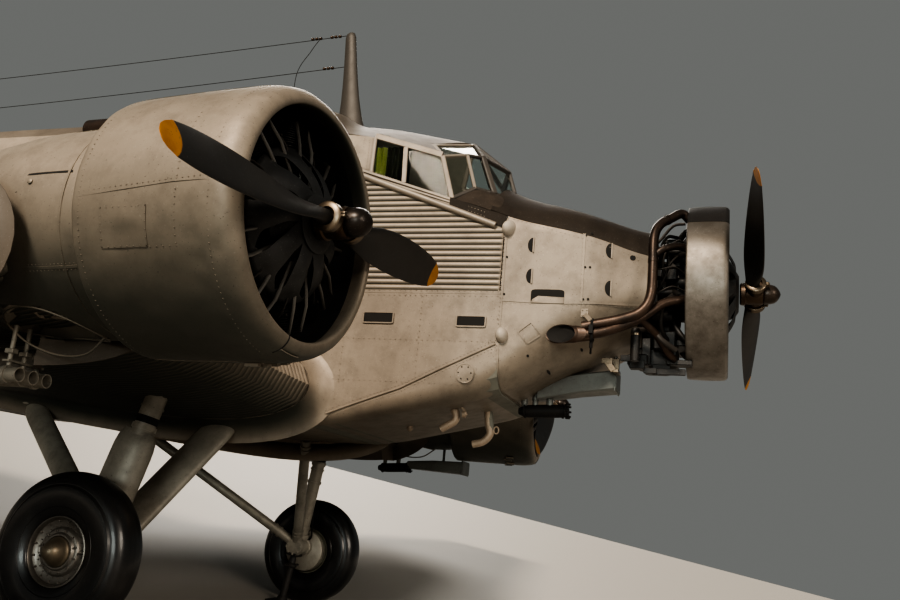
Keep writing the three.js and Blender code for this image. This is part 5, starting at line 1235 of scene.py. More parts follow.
def makeCurtain(side, sign):
    # gathered cloth: y = middle + wave sin(2 pi folds u), u along the rail, wider waves towards the hem
    part = cabinParts["curtain"]
    u, v = np.linspace(0, 1, 141)[:, None], np.linspace(0, 1, 15)[None]
    x = part["front"] + (part["rear"] - part["front"]) * (u + 0.01 * np.sin(2 * math.pi * 3 * u + 4 * v))
    phase = 2 * math.pi * part["folds"] * u + 0.5 * np.sin(3 * v)
    y = part["y"] + part["wave"] * np.sin(phase) * (1 - 0.35 * v)
    net = np.stack(np.broadcast_arrays(x, sign * y, part["low"] + (part["high"] - part["low"]) * v), -1)
    cloth = addPiece(f"curtain_cloth_{side}", thick(grid(net), part["thick"]), "curtain",
                     smoothAngle=80, replaces=[f"cockpit_curtain_{side}"])
    cloth.data.materials.append(paint["strip"])
    change = part["front"] + (part["rear"] - part["front"]) * part["lightShare"]
    centre = np.empty(len(cloth.data.polygons) * 3)
    cloth.data.polygons.foreach_get("center", centre)
    behind = toAircraft(centre.reshape(-1, 3))[:, 0] < change
    cloth.data.polygons.foreach_set("material_index", behind.astype(np.int32))
    rail = tube([(part["front"] + 0.02, sign * part["y"], part["high"] + 0.004),
                 (part["rear"] - 0.01, sign * part["y"],
                  part["high"] + 0.004)],
                0.005, 8)
    addPiece(f"curtain_rail_{side}", rail, "inside")


def makeCockpitInside():
    for sign, side in ((-1, "starboard"), (1, "port")):
        makeSeat(side, sign)
        makeCurtain(side, sign)
    makeControls()
    # dark lining behind the roof and side sheets
    inner = roofHalf * [1, 0.972, 1] - [0, 0, 0.016]
    addPiece("cockpit_lining", facingSheet(bothSides(inner), (0, 0, -1), 0.003), "lining", smoothAngle=60)


makeCockpitInside()
print("cockpit made")

# Engines. Each has its own frame: x forward along the
# shaft, y to port, z up, the propeller plane near x = 0.
toeOut = math.radians(4.876)
engineAt = {"nose": ((0.0, 0.0, 0.0), 0.0), "starboard": ((-2.252, -3.296, -0.519), -toeOut),
            "port": ((-2.252, 3.296, -0.519), toeOut)}


def fromEngine(name):  # engine frame to row frame
    spot, turn = engineAt[name]
    c, s = math.cos(turn), math.sin(turn)
    spin = np.array([[c, -s, 0], [s, c, 0], [0, 0, 1]])
    return lambda v: toRow(np.asarray(v) @ spin.T + np.array(spot))


def addOnEngine(name, label, surface, finish, **kinds):
    if name == "port":
        surface = mirrored(surface)
    addPiece(f"{label}_{name}", surface, finish, place=fromEngine(name), **kinds)


def roundAxis(x, radius, angle):
    # a point round the shaft, its angle in degrees from the top towards starboard
    a = np.radians(angle)
    return np.stack(np.broadcast_arrays(x, -np.asarray(radius) * np.sin(a),
                                        np.asarray(radius) * np.cos(a)), -1)


cowl = {
    "profile": [(-1.138, 0.752), (-1.1, 0.745), (-0.6, 0.738), (-0.38, 0.716), (-0.27, 0.684),
                (-0.205, 0.66), (-0.172, 0.656), (-0.158, 0.668), (-0.163, 0.698), (-0.19, 0.733),
                (-0.24, 0.757), (-0.33, 0.7695), (-0.5, 0.7715), (-0.8, 0.772), (-1.0, 0.7705),
                (-1.138, 0.766), (-1.143, 0.759)],
    "outer": {"x": [-1.138, -1.0, -0.8, -0.5, -0.33, -0.24, -0.19],
              "r": [0.766, 0.7705, 0.772, 0.7715, 0.7695, 0.757, 0.733]},
    # dents: place along the shaft, angle, depth, reach
    "dents": [(-0.27, 118.2, 0.006, 0.03), (-0.402, 112.5, 0.007, 0.035), (-0.367, 122.4, 0.006, 0.03),
              (-0.547, 108.4, 0.006, 0.04), (-0.833, 112.3, 0.012, 0.07), (-0.8, 104, -0.006, 0.05),
              (-0.45, 104, 0.004, 0.03), (-0.58, 113, 0.005, 0.04), (-0.66, 118, 0.004, 0.04),
              (-0.4, 131, 0.005, 0.05), (-0.62, 126, 0.004, 0.04), (-0.3, 98, 0.004, 0.03),
              (-0.5, 98, 0.003, 0.04), (-0.9, 60, 0.003, 0.08), (-0.45, 75, 0.003, 0.06),
              (-0.7, 140, 0.004, 0.05), (-0.3, 140, 0.004, 0.04)],
    "seams": [[(-1.129, 95.3), (-0.5, 91.9), (-0.225, 91.9)], [(-1.135, 30), (-0.23, 30)],
              [(-1.135, 183), (-0.23, 183)], [(-1.135, -70), (-0.23, -70)]],
    "rivetLines": [[(-0.492, 92.3), (-0.492, 115.1)], [(-1.105, 0), (-1.105, 359)],
                   [(-0.3, 0), (-0.3, 359)], [(-1.11, 93.4), (-0.25, 90.2)], [(-0.492, 60), (-0.492, 90)],
                   [(-0.65, 116), (-0.49, 116)]],
    "patch": (-0.956, -0.664, 100.3, 116.0),
}


def cowlPoint(x, angle, lift=0.0):
    return roundAxis(x, np.interp(x, cowl["outer"]["x"], cowl["outer"]["r"]) + lift, angle)


def aroundPath(points, count, lift):
    points = np.asarray(points, float)
    run = np.append(0, np.cumsum(np.hypot(np.diff(points[:, 0]), np.radians(np.diff(points[:, 1])) * 0.77)))
    spots = np.linspace(0, run[-1], count)
    x, angle = np.interp(spots, run, points[:, 0]), np.interp(spots, run, points[:, 1])
    return cowlPoint(x, angle, lift), roundAxis(0 * x, 1.0, angle)


def makeCowl(name):
    profile = smoothPath(cowl["profile"] + cowl["profile"][:1], 78)[:-1]
    angle = np.linspace(0, 360, 145)[:-1]
    x, r = profile[:, :1] + 0 * angle, profile[:, 1:] + 0 * angle
    behindLip = np.arange(len(profile))[:, None] > len(profile) * 0.45
    outer = np.clip((profile[:, 1:] - 0.7) / 0.03, 0, 1) * behindLip
    # sheet ripple: r falls by a Gaussian at each dent and waves slowly round the ring
    turn = np.radians(angle)
    wave = 0.0013 * np.sin(turn * 9 + 6 * x) + 0.001 * np.sin(turn * 23 + 17 * x)
    for place, where, depth, reach in cowl["dents"]:
        away = np.hypot(x - place, np.radians((angle - where + 180) % 360 - 180) * 0.77)
        wave = wave - depth * np.exp(-(away / reach) ** 2)
    r = r + wave * outer
    net = roundAxis(x, r, angle)
    addOnEngine(name, "cowl_sheet", outward(grid(net, wrapU=True, wrapV=True)), "cowl",
                replaces=[f"cowl_{name}"], smoothAngle=60)
    # sooted lining from behind the lip to the rear edge
    lining = np.array(smoothPath(cowl["profile"][:5], 24)) - [0, 0.0015]
    inner = roundAxis(lining[:, :1] + 0 * angle, lining[:, 1:] + 0 * angle, angle)
    addOnEngine(name, "cowl_lining", thick(flipped(outward(grid(inner, wrapV=True))), 0.001), "baffle",
                slot="inside_paint")
    extra, spots, normals = [], [], []
    for seam in cowl["seams"]:
        path, normal = aroundPath(seam, 30, 0.0008)
        extra.append(ribbon(path, normal, 0.012, 0.0022))
    low, high, a, b = cowl["patch"]
    u, v = np.linspace(low, high, 9)[:, None], np.linspace(a, b, 9)[None]
    hollow = np.exp(-(((u + 0.84) / 0.07) ** 2 + ((v - 111) / 4) ** 2))
    swell = np.exp(-(((u + 0.78) / 0.08) ** 2 + ((v - 105) / 3) ** 2))
    sag = 0.004 * swell - 0.007 * hollow
    extra.append(facingSheet(cowlPoint(u + 0 * v, v + 0 * u, 0) + roundAxis(0 * u, 0.004 + sag, v),
                             roundAxis(0, 1.0, 108), 0.004))
    edge = [(low, a), (high, a), (high, b), (low, b), (low, a)]
    rivetLines = cowl["rivetLines"] + [[(p[0] * 0.97 - 0.0245, p[1] * 0.94 + 6.4),
                                        (q[0] * 0.97 - 0.0245, q[1] * 0.94 + 6.4)]
                                       for p, q in zip(edge, edge[1:])]
    for line in rivetLines:
        reach = math.hypot(line[1][0] - line[0][0], math.radians(line[1][1] - line[0][1]) * 0.77)
        path, normal = aroundPath(line, max(3, int(reach / 0.032)),
                                  0.002 if line in cowl["rivetLines"] else 0.005)
        spots.append(path)
        normals.append(normal)
    # clips under the rear edge and the strap across the lip at the bottom
    clip = boxes([[0, 0, 0]], [[0.09, 0.035, 0.02]])
    for where in (186, 190, 199, 203):
        spot = roundAxis(-0.45 - 0.01 * (where % 7), 0.786, where)
        extra.append(moved(clip, lambda v: v @ axisTurn(where).T + spot))
    path, normal = aroundPath([(-0.2, 171), (-0.2, 184)], 12, 0.004)
    extra.append(ribbon(path, normal, 0.03, 0.004))
    addOnEngine(name, "cowl_fittings", merged(extra), "cowl")
    addOnEngine(name, "cowl_rivets", rivets(np.concatenate(spots), np.concatenate(normals), 0.0042,
                                            0.0018), "cowl")
    # dark tube along the lip groove: painted shade in the gap
    groove = cowl["profile"][4:11]
    path = np.array([roundAxis(x, r + 0.001, 171.0) for x, r in smoothPath(groove, 24)])
    addOnEngine(name, "cowl_lip_gap", tube(path, 0.0045, 6), "soot")


def axisTurn(angle):  # turns a body built at the top of the shaft towards starboard by an angle in degrees
    a = math.radians(angle)
    return np.array([[1, 0, 0], [0, math.cos(a), -math.sin(a)], [0, math.sin(a), math.cos(a)]])


for name in ("starboard", "port"):
    makeCowl(name)
print("cowls made")

engineSize = {
    "nose": {"cylinder": -0.4, "base": 0.235, "head": 0.47, "top": 0.655, "rear": -0.74},
    "starboard": {"cylinder": -0.42, "base": 0.235, "head": 0.46, "top": 0.635, "rear": -1.22},
    "port": {"cylinder": -0.42, "base": 0.235, "head": 0.46, "top": 0.635, "rear": -1.22},
}


def makeEngine(name):
    size = engineSize[name]
    at, head, top = size["cylinder"], size["head"], size["top"]
    # finned barrel and head: a lathe about the cylinder's own axis, radius stepping in and out
    profile = [(0.0, size["base"] - 0.03), (0.085, size["base"] - 0.03), (0.085, size["base"] + 0.01)]
    for z in np.arange(size["base"] + 0.02, top - 0.03, 0.0135):
        wide = 0.098 if z < head else 0.118
        profile += [(0.078, z), (wide, z + 0.0015), (wide, z + 0.0045), (0.078, z + 0.006)]
    profile += [(0.095, top - 0.028), (0.085, top - 0.006), (0.0, top)]
    cylinder = outward(welded(moved(spun([(z, r) for r, z in profile], 20), lambda v: v[:, [1, 2, 0]])))
    rocker = boxes([[0.045, -0.055, top - 0.03], [-0.045, -0.055, top - 0.03], [0.0, 0.055, top - 0.03]],
                   [[0.05, 0.05, 0.075], [0.05, 0.05, 0.075], [0.06, 0.05, 0.06]], 0.3)
    rod = [tube([(0.165, y, size["base"] - 0.02), (0.135, y * 1.5, head), (0.09, y * 1.35, top - 0.03)],
                0.0115, 8) for y in (-0.045, 0.045)]
    plug = [tube(smoothPath([(0.02, 0.115, head + 0.03), (0.07, 0.135, head + 0.05),
                             (0.13, 0.12, head - 0.05), (0.15, 0.07, size["base"])], 12), 0.0055, 6),
            lathe([(0.0, 0.0), (0.0, 0.013), (0.05, 0.013), (0.05, 0.008), (0.07, 0.008), (0.07, 0)], 8,
                  centre=(0.05, 0.115, head + 0.03))]
    intake = tube(smoothPath([(-0.22, 0.09, size["base"] - 0.03), (-0.24, 0.12, head - 0.1),
                              (-0.14, 0.1, head + 0.06), (-0.05, 0.06, head + 0.05)], 12), 0.026, 10)
    castings, rods, leads, intakes = [], [], [], []
    for k in range(9):
        spin = axisTurn(40.0 * k)
        turn = lambda v, m=spin: v @ m.T + [at, 0, 0]
        castings += [moved(cylinder, turn), moved(rocker, turn)]
        rods += [moved(one, turn) for one in rod]
        leads += [moved(one, turn) for one in plug]
        intakes.append(moved(intake, turn))
    # crankcase: front case, middle drum, rear case
    front = at + 0.24
    case = lathe([(size["rear"], 0), (size["rear"], 0.2), (at - 0.3, 0.235), (at - 0.17, 0.245),
                  (at - 0.15, 0.255), (at + 0.13, 0.255), (at + 0.15, 0.235), (front, 0.2),
                  (front + 0.03, 0.15), (-0.15, 0.115), (-0.137, 0.095), (-0.137, 0)], 48)
    ringBolts = merged([moved(boxes([[at + 0.155, 0, 0.218]], [[0.03, 0.02, 0.02]], 0.3),
                              lambda v, m=axisTurn(a): v @ m.T) for a in range(0, 360, 20)])
    addOnEngine(name, "engine_cylinders", merged(castings), "casting", replaces=[f"engine_{name}"])
    addOnEngine(name, "engine_case", merged([case, ringBolts]), "casting", smoothAngle=40)
    addOnEngine(name, "engine_pushrods", merged(rods), "rod")
    addOnEngine(name, "engine_leads", merged(leads), "lead")
    addOnEngine(name, "engine_intakes", merged(intakes), "casting", smoothAngle=60)
    # exhaust collector behind the cylinders
    angle = np.arange(40) * 9.0
    ring = roundAxis(np.full(40, at - 0.26), 0.5 if name == "nose" else 0.56, angle)
    stubs = [tube(smoothPath([roundAxis(at - 0.06, 0.5, a + 9), roundAxis(at - 0.16, 0.55, a + 9),
                              roundAxis(at - 0.25, 0.54, a + 11)], 8), 0.03, 10)
             for a in np.arange(0, 360, 40)]
    if name != "nose":
        addOnEngine(name, "exhaust_collector", merged([closedTube(ring, 0.045, 14)] + stubs), "exhaust",
                    smoothAngle=60)
    # dark back plate behind the cylinders
    plate = lathe([(at - 0.32, 0.2), (at - 0.32, 0.66), (at - 0.33, 0.66),
                   (at - 0.33, 0.2)] if name != "nose" else
                  [(at - 0.2, 0.2), (at - 0.2, 0.3), (at - 0.21, 0.3), (at - 0.21, 0.2)], 48, wrap=True)
    addOnEngine(name, "engine_back_plate", plate, "casting")


baffle = {"inner": 0.15, "outer": 0.43, "front": -0.15, "rear": -0.3, "petals": 9, "swirl": 26.0}


def makeBaffle(name):
    # bell-shaped star: petals between curved slots. x falls
    # from front to rear as the share to the power 1.7
    share = np.linspace(0, 1, 19)
    radius = baffle["inner"] + (baffle["outer"] - baffle["inner"]) * share
    x = baffle["front"] + (baffle["rear"] - baffle["front"]) * share ** 1.7
    gap = np.clip(np.minimum((share - 0.1) / 0.25, (0.93 - share) / 0.12), 0, 1)
    half = 0.5 - 0.23 * gap ** 0.7 * (0.5 + 0.5 * share)
    pieces = []
    pitch = 360 / baffle["petals"]
    for k in range(baffle["petals"]):
        f = np.linspace(-1, 1, 9)[None] * half[:, None]
        angle = pitch * (k + f) + baffle["swirl"] * share[:, None] ** 0.8
        crown = 0.016 * (1 - (f / half[:, None]) ** 2) * gap[:, None]
        pieces.append(facingSheet(roundAxis(x[:, None] + crown, radius[:, None] + 0 * f, angle),
                                  (1, 0, 0), 0.003))
    rim = lathe([(baffle["rear"] - 0.004, baffle["outer"] - 0.004),
                 (baffle["rear"] + 0.004, baffle["outer"] - 0.004),
                 (baffle["rear"] - 0.006, baffle["outer"] + 0.008),
                 (baffle["rear"] - 0.03, baffle["outer"] + 0.01),
                 (baffle["rear"] - 0.03, baffle["outer"] + 0.004)], 72, wrap=True)
    addOnEngine(name, "baffle_star", merged(pieces + [rim]), "baffle", smoothAngle=50)
    collar = lathe([(-0.2, 0.1), (-0.146, 0.155), (-0.138, 0.165), (-0.132, 0.15), (-0.132, 0.09),
                    (-0.2, 0.09)], 48, wrap=True)
    addOnEngine(name, "baffle_collar", collar, "baffle")


for name in engineAt:
    makeEngine(name)
    makeBaffle(name)
wire = smoothPath([roundAxis(-0.3, 0.17, 70), roundAxis(-0.34, 0.36, 76), roundAxis(-0.36, 0.6, 80)], 16)
addOnEngine("starboard", "red_wire", tube(wire, 0.005, 6), plainMaterial("redWire", (0.3, 0.07, 0.05), 0.5),
            slot="engine_metal")
print("engines made")

ringSize = {"front": -0.21, "rear": -0.532, "radius": 0.725, "wall": 0.028, "blackHalf": 53.0}


def makeNoseRing():
    f, r, out, wall = ringSize["front"], ringSize["rear"], ringSize["radius"], ringSize["wall"]
    profile = [(r, out - 0.016), (r + 0.004, out - 0.004), (r + 0.04, out), (-0.38, out + 0.0035),
               (f - 0.045, out), (f - 0.014, out - 0.01), (f, out - 0.03), (f - 0.006, out - 0.044),
               (f - 0.03, out - 0.05), (-0.38, out - wall), (r + 0.01, out - wall)]
    net = smoothPath(profile + profile[:1], 58)[:-1]
    angle = np.linspace(0, 360, 145)[:-1]
    ripple = 0.0012 * np.sin(np.radians(angle) * 11) * (net[:, 1:] > out - 0.012)
    made = grid(roundAxis(net[:, :1] + 0 * angle, net[:, 1:] + ripple, angle), wrapU=True, wrapV=True)
    addPiece("nose_ring", outward(made), "ring", replaces=["cowl_nose"], smoothAngle=60)
    edge = [(r - 0.002, out - 0.012)] + profile[1:8] + [(f - 0.03, out - 0.052)]
    band = smoothPath(edge, 40) + [0, 0.0022]
    angle = np.linspace(-ringSize["blackHalf"], ringSize["blackHalf"], 33)
    net = roundAxis(band[:, :1] + 0 * angle, band[:, 1:] + 0 * angle, angle)
    addPiece("nose_ring_black", facingSheet(net, (0, 0, 1), 0.002), "blackPaint",
             slot="grey_paint", smoothAngle=60)
    # nine stays from the rocker boxes to the ring
    stays = [tube([roundAxis(-0.4, 0.6, a), roundAxis(-0.4, out - 0.02, a)], 0.012, 8)
             for a in np.arange(0, 360, 40)]
    addPiece("nose_ring_stays", merged(stays), "casting")


makeNoseRing()

# Propellers: each section's place along the blade, chord, depth and pitch angle
bladeTable = {"r": [0.105, 0.16, 0.24, 0.34, 0.5, 0.7, 0.9, 1.1, 1.25, 1.35, 1.41, 1.44, 1.45],
              "chord": [0.098, 0.11, 0.15, 0.195, 0.238, 0.258, 0.26, 0.243, 0.215, 0.178, 0.125,
                        0.075, 0.02],
              "depth": [0.098, 0.1, 0.084, 0.066, 0.05, 0.041, 0.034, 0.027, 0.021, 0.016, 0.012,
                        0.009, 0.005],
              "pitch": [58, 58, 54, 47, 38.5, 32, 27, 23, 20, 18, 16.5, 16, 16]}
bladeAngle = {"nose": 67.19, "starboard": 94.175, "port": 118.0}


def makeBlade():
    # closed aerofoil rings carried up the blade, turned by the pitch; a round shank blends into the section
    r = np.unique(np.concatenate([np.linspace(0.105, 1.36, 38), np.linspace(1.36, 1.45, 12)]))
    values = {key: np.interp(r, bladeTable["r"], bladeTable[key]) for key in ("chord", "depth", "pitch")}
    for key in ("chord", "depth", "pitch"):
        values[key][:38] = np.convolve(np.pad(values[key], 2, mode="edge"), np.ones(5) / 5,
                                       mode="valid")[:38]
    t = roundAngles(36)
    foil = np.stack([0.5 * np.cos(t),
                     0.5 * np.sin(t) * (0.62 + 0.38 * np.cos(t)) * np.where(np.sin(t) > 0, 1.25, 0.45)], 1)
    disc = np.stack([0.5 * np.cos(t), 0.5 * np.sin(t)], 1)
    blend = np.clip((r - 0.13) / 0.22, 0, 1)[:, None, None]
    section = disc * (1 - blend) + foil * blend
    across, depth = section[..., 0] * values["chord"][:, None], section[..., 1] * values["depth"][:, None]
    a = np.radians(values["pitch"])[:, None]
    # across + is the leading edge: it lies forward and to the side the blade moves towards
    x = across * np.sin(a) + depth * np.cos(a)
    y = -across * np.cos(a) + depth * np.sin(a)
    sweep = -0.012 * np.clip((r - 0.2) / 1.25, 0, 1)[:, None]
    net = np.stack([x - 0.025, y + sweep, np.repeat(r[:, None], 36, 1)], -1)
    return solid(net)


def tippedMaterial(tips):
    # blade paint whose colour turns yellow near the blade
    # tips: distance to each tip in the piece's own coordinates
    material = paint["blade"].copy()
    material.name = "bladePaintTipped"
    tree = material.node_tree
    shader = tree.nodes["Principled BSDF"]
    coords = tree.nodes.new("ShaderNodeTexCoord").outputs["Object"]
    base = shader.inputs["Base Color"].links[0].from_socket
    grain = noise(tree, coords, 30.0, 4, 0.7)
    mask = None
    for tip in tips:
        away = node(tree, "ShaderNodeVectorMath", {"operation": "DISTANCE"})
        tree.links.new(coords, away.inputs[0])
        away.inputs[1].default_value = tuple(tip)
        rough = calc(tree, "ADD", away.outputs["Value"], calc(tree, "MULTIPLY", grain, 0.012))
        inside = band(tree, rough, 0.142, 0.136)
        mask = inside if mask is None else calc(tree, "MAXIMUM", mask, inside)
    chips = band(tree, noise(tree, coords, 55.0, 4, 0.7), 0.4, 0.34)
    yellow = mixColour(tree, band(tree, noise(tree, coords, 12.0, 5, 0.6), 0.4, 0.7), (0.45, 0.2, 0.034, 1),
                       (0.35, 0.14, 0.024, 1))
    yellow = mixColour(tree, chips, yellow, (0.2, 0.13, 0.06, 1))
    tree.links.new(mixColour(tree, mask, base, yellow), shader.inputs["Base Color"])
    return material


def makePropeller(name):
    blade = makeBlade()
    place = fromEngine(name)
    spins = [axisTurn(bladeAngle[name]), axisTurn(bladeAngle[name] + 180)]
    blades = merged([moved(blade, lambda v: v @ m.T) for m in spins])
    tips = [place(np.array([[-0.025, 0.0, 1.45]]) @ m.T)[0] for m in spins]
    body = f"propeller_{name}"
    addPiece(f"blades_{name}", blades, tippedMaterial(tips), place=place, body=body, slot="propeller_paint",
             replaces=[body], smoothAngle=60)
    # bronze barrels, bright collars with a bolt each, hub drum and bullet spinner
    barrel = lathe([(0.0, 0), (0.0, 0.072), (0.05, 0.074), (0.085, 0.07), (0.118, 0.066), (0.124, 0.06),
                    (0.124, 0)], 32)
    upright = lambda v: v[:, [1, 2, 0]]
    collar = lathe([(0.108, 0.05), (0.104, 0.076), (0.11, 0.084), (0.148, 0.084), (0.154, 0.076),
                    (0.158, 0.052)], 32, wrap=True)
    ears = boxes([[0.088, 0.0, 0.128], [0.088, 0.018, 0.128]],
                 [[0.04, 0.012, 0.036], [0.03, 0.014, 0.018]], 0.2)
    bronze = [moved(moved(barrel, upright), lambda v: v @ m.T) for m in spins]
    bright = [moved(one, lambda v: v @ m.T) for one in (moved(collar, upright), ears) for m in spins]
    drum = lathe([(-0.122, 0), (-0.122, 0.08), (-0.112, 0.092), (-0.08, 0.095), (-0.07, 0.086),
                  (-0.045, 0.088), (0.035, 0.092), (0.06, 0.086), (0.064, 0.06), (0.064, 0)], 40)
    addPiece(f"hub_{name}", merged(bronze + [drum]), "bronze", place=place, body=body, smoothAngle=40)
    addPiece(f"blade_collars_{name}", merged(bright), "collar", place=place, body=body,
             slot="propeller_paint", smoothAngle=40)
    spinner = lathe([(0.062, 0), (0.062, 0.078), (0.07, 0.0825), (0.085, 0.083), (0.12, 0.081),
                     (0.15, 0.072), (0.168, 0.058), (0.183, 0.038), (0.192, 0.02), (0.1965, 0.008),
                     (0.198, 0)], 40)
    addPiece(f"spinner_{name}", spinner, "spinner", place=place, body=body, smoothAngle=50)


for name in engineAt:
    makePropeller(name)
print("propellers made")

# Wings. Leading edge, trailing edge, height and thickness ratio change in straight lines along the span.
wing = {"root": 0.8203, "tip": 14.45, "lead": -3.44, "trail": (-7.43, -7.7), "height": -1.08,
        "thickness": (0.195, 0.11),
        "sweep": math.tan(math.radians(11.5)), "dihedral": math.tan(math.radians(5.8))}


def wingAt(y):
    out = np.abs(y) - wing["root"]
    share = out / (wing["tip"] - wing["root"])
    along = lambda ends: ends[0] + (ends[1] - ends[0]) * share
    return {"lead": wing["lead"] - out * wing["sweep"], "trail": along(wing["trail"]),
            "height": wing["height"] + out * wing["dihedral"], "thickness": along(wing["thickness"])}


def wingPoint(y, s, side, lift=0.0):
    # half depth 5 t c (0.2969 sqrt(s) - 0.126 s - 0.3516 s2 + 0.2843 s3
    # - 0.1015 s4), camber on top of it; side is 1 above and -1 below
    at = wingAt(y)
    chord, ratio = at["lead"] - at["trail"], at["thickness"]
    form = 0.2969 * np.sqrt(s) - 0.126 * s - 0.3516 * s ** 2 + 0.2843 * s ** 3 - 0.1015 * s ** 4
    depth = 5 * ratio * chord * form + 0.004 * s
    camber = 0.13 * chord * s * (1 - s) * ratio * 4 - 0.04 * chord * s * ratio
    return at["lead"] - s * chord, at["height"] + camber + side * (depth + lift)


def wingOutline(y, count=13):
    # from the trailing edge over the top to the leading edge and back below; y is a column of stations
    share = roundSteps(count)
    y = np.asarray(y, float)[:, None]
    topX, topZ = wingPoint(y, share[::-1][None], 1)
    lowX, lowZ = wingPoint(y, share[1:][None], -1)
    x, z = np.concatenate([topX, lowX], 1), np.concatenate([topZ, lowZ], 1)
    return np.stack([x, np.broadcast_to(y, x.shape), z], -1)


wingShares = np.array([0, 0.09, 0.27, 0.5, 0.73, 0.91])


def makeWing(sign, side):
    count = int((wing["tip"] - wing["root"]) / ribs["pitch"])
    u = ribSteps(count, wingShares)
    y = wing["root"] + u * ribs["pitch"]
    net = wingOutline(y)
    normal = unit(np.cross(np.gradient(net, axis=0), np.gradient(net, axis=1)))
    if normal[10, 6, 2] < 0:
        normal = -normal
    ends = np.clip(np.minimum(u, count - u) / 0.6, 0, 1)
    trailing = np.ones(net.shape[1])
    trailing[[0, -1]] = 0.15
    net = net + normal * (0.001 + 0.0125 * (ribWave(u) * ends)[:, None] * trailing[None])[..., None]
    # rounded tip: the last rows close towards the mean line
    tip = [net[-1] + (net[-1].mean(0) - net[-1]) * [0, 1, 1] * c + [0, d, 0]
           for c, d in ((0.04, 0.03), (0.2, 0.075), (0.5, 0.11), (0.85, 0.125))]
    body = solid(np.concatenate([net, np.array(tip)]) * [1, sign, 1])
    brackets = []
    for where in hingeYs["flap"] + hingeYs["aileron"]:
        x, z = hingePlace(where)
        brackets.append(boxes([[x + 0.21, sign * where, z]], [[0.42, 0.026, 0.044]]))
        brackets.append(tube([[x, sign * (where - 0.05), hingePlace(where - 0.05)[1]],
                              [x, sign * (where + 0.05), hingePlace(where + 0.05)[1]]], 0.014, 12))
    addPiece(f"wing_skin_{side}", body, "corrugated", replaces=[f"wing_{side}"], smoothAngle=40)
    addPiece(f"wing_brackets_{side}", merged(brackets), "strutPaint")
    # smooth band round the leading edge where the wing meets the hull
    makeWingRoot(sign, side)


fillet = {"radius": 0.16, "steps": 9}


def makeWingRoot(sign, side):
    # hollow quarter circle between the wing surface and the
    # hull side, from above the nose round to the lower rear
    share = roundSteps(40)
    rows = []
    for a in np.linspace(0, math.pi / 2, fillet["steps"]):
        out, lift = fillet["radius"] * (1 - math.sin(a)), fillet["radius"] * (1 - math.cos(a))
        y = np.array([[wing["root"] + out]])
        topX, topZ = wingPoint(y, share[::-1][None], 1)
        lowX, lowZ = wingPoint(y, share[1:29][None], -1)
        line = np.stack([np.concatenate([topX[0], lowX[0]]), np.full(68, y[0, 0]),
                         np.concatenate([topZ[0], lowZ[0]])], 1)
        way = np.gradient(line, axis=0)
        normal = unit(np.stack([-way[:, 2], 0 * way[:, 1], way[:, 0]], 1))
        if normal[5, 2] < 0:
            normal = -normal
        rows.append(line + normal * (lift + 0.01))
    net = np.array(rows) * [1, sign, 1]
    addPiece(f"wing_root_fillet_{side}", facingSheet(net, (0, sign, 0.3), 0.004), "corrugated",
             smoothAngle=60)


flapRange = {"start": 0.8803, "end": 7.6, "aileronEnd": 14.65}
hingeYs = {"flap": [1.3803, 7.1], "aileron": [8.2, 14.3]}


def rearSurface(y):
    at = wingAt(y)
    share = (y - wing["root"]) / (wing["tip"] - wing["root"])
    chord = 1.22 - 0.56 * share
    return {"lead": at["trail"] - 0.045, "chord": chord, "height": at["height"] - 0.04,
            "depth": 0.15 * chord}


def hingePlace(y):
    at = rearSurface(y)
    return at["lead"] - 0.095, at["height"]


def plateHalf(s, blunt=False):
    # half depth of a tail or flap section as a share of its full depth
    s = np.asarray(s, float)
    return 0.5 * (np.minimum(1, np.sqrt(s / 0.3)) * (1 - 0.35 * s) if blunt
                  else np.sqrt(s) * (1 - s) * 2.2 + 0.06)


def plateNet(stations, leads, trails, depths, place, height=0.006, pitch=0.05, blunt=False,
             count=10, notch=None):
    # ribs run from the leading to the trailing edge; stations
    # are joined by straight lines, ribs counted along them
    stations = np.asarray(stations, float)
    ribCount = max(2, int(round((stations[-1] - stations[0]) / pitch)))
    u = ribSteps(ribCount, wingShares)
    y = stations[0] + u / ribCount * (stations[-1] - stations[0])
    if notch:
        near, far = notch["half"], notch["half"] + 1e-3
        cuts = [v for centre in notch["at"] for v in (centre - far, centre - near, centre + near,
                                                      centre + far)]
        y = np.unique(np.concatenate([y, cuts]))
    wave = ribWave((y - stations[0]) / (stations[-1] - stations[0]) * ribCount)
    lead, trail, depth = (np.interp(y, stations, values)[:, None] for values in (leads, trails, depths))
    share = roundSteps(count)
    start = np.zeros(len(y))
    if notch:
        for centre in notch["at"]:
            start = np.where(np.abs(y - centre) <= notch["half"] + 1e-5, notch["back"], start)
    start = start[:, None] / (lead - trail)
    s = start + (1 - start) * share[None]
    half = depth * plateHalf(s, blunt) + height * wave[:, None] * np.clip(4 * (1 - share), 0, 1)[None]
    half = np.maximum(half, 0.0015)
    x = lead - s * (lead - trail)
    upper, under = place(x[:, ::-1], y[:, None], half[:, ::-1]), place(x[:, 1:], y[:, None], -half[:, 1:])
    return np.concatenate([upper, under], 1)


def makeRearSurface(kind, sign, side):
    spans = {"flap": (flapRange["start"], flapRange["end"]),
             "aileron": (flapRange["end"] + 0.012, flapRange["aileronEnd"])}
    start, end = spans[kind]
    ends = [rearSurface(y) for y in (start, end)]
    mean = lambda key: [e[key] for e in ends]
    heights = mean("height")

    def place(x, y, z):
        level = np.interp(y, [start, end], heights)
        return np.stack([x, sign * (y - z * wing["dihedral"] + 0 * x), level + z + 0 * x], -1)
    net = plateNet([start, end], mean("lead"), [e["lead"] - e["chord"] for e in ends], mean("depth"), place,
                   notch={"at": hingeYs[kind], "half": 0.019, "back": 0.16})
    addPiece(f"{kind}_skin_{side}", solid(net), "corrugated", body=f"{kind}_{side}",
             replaces=[f"{kind}_{side}"], smoothAngle=40)


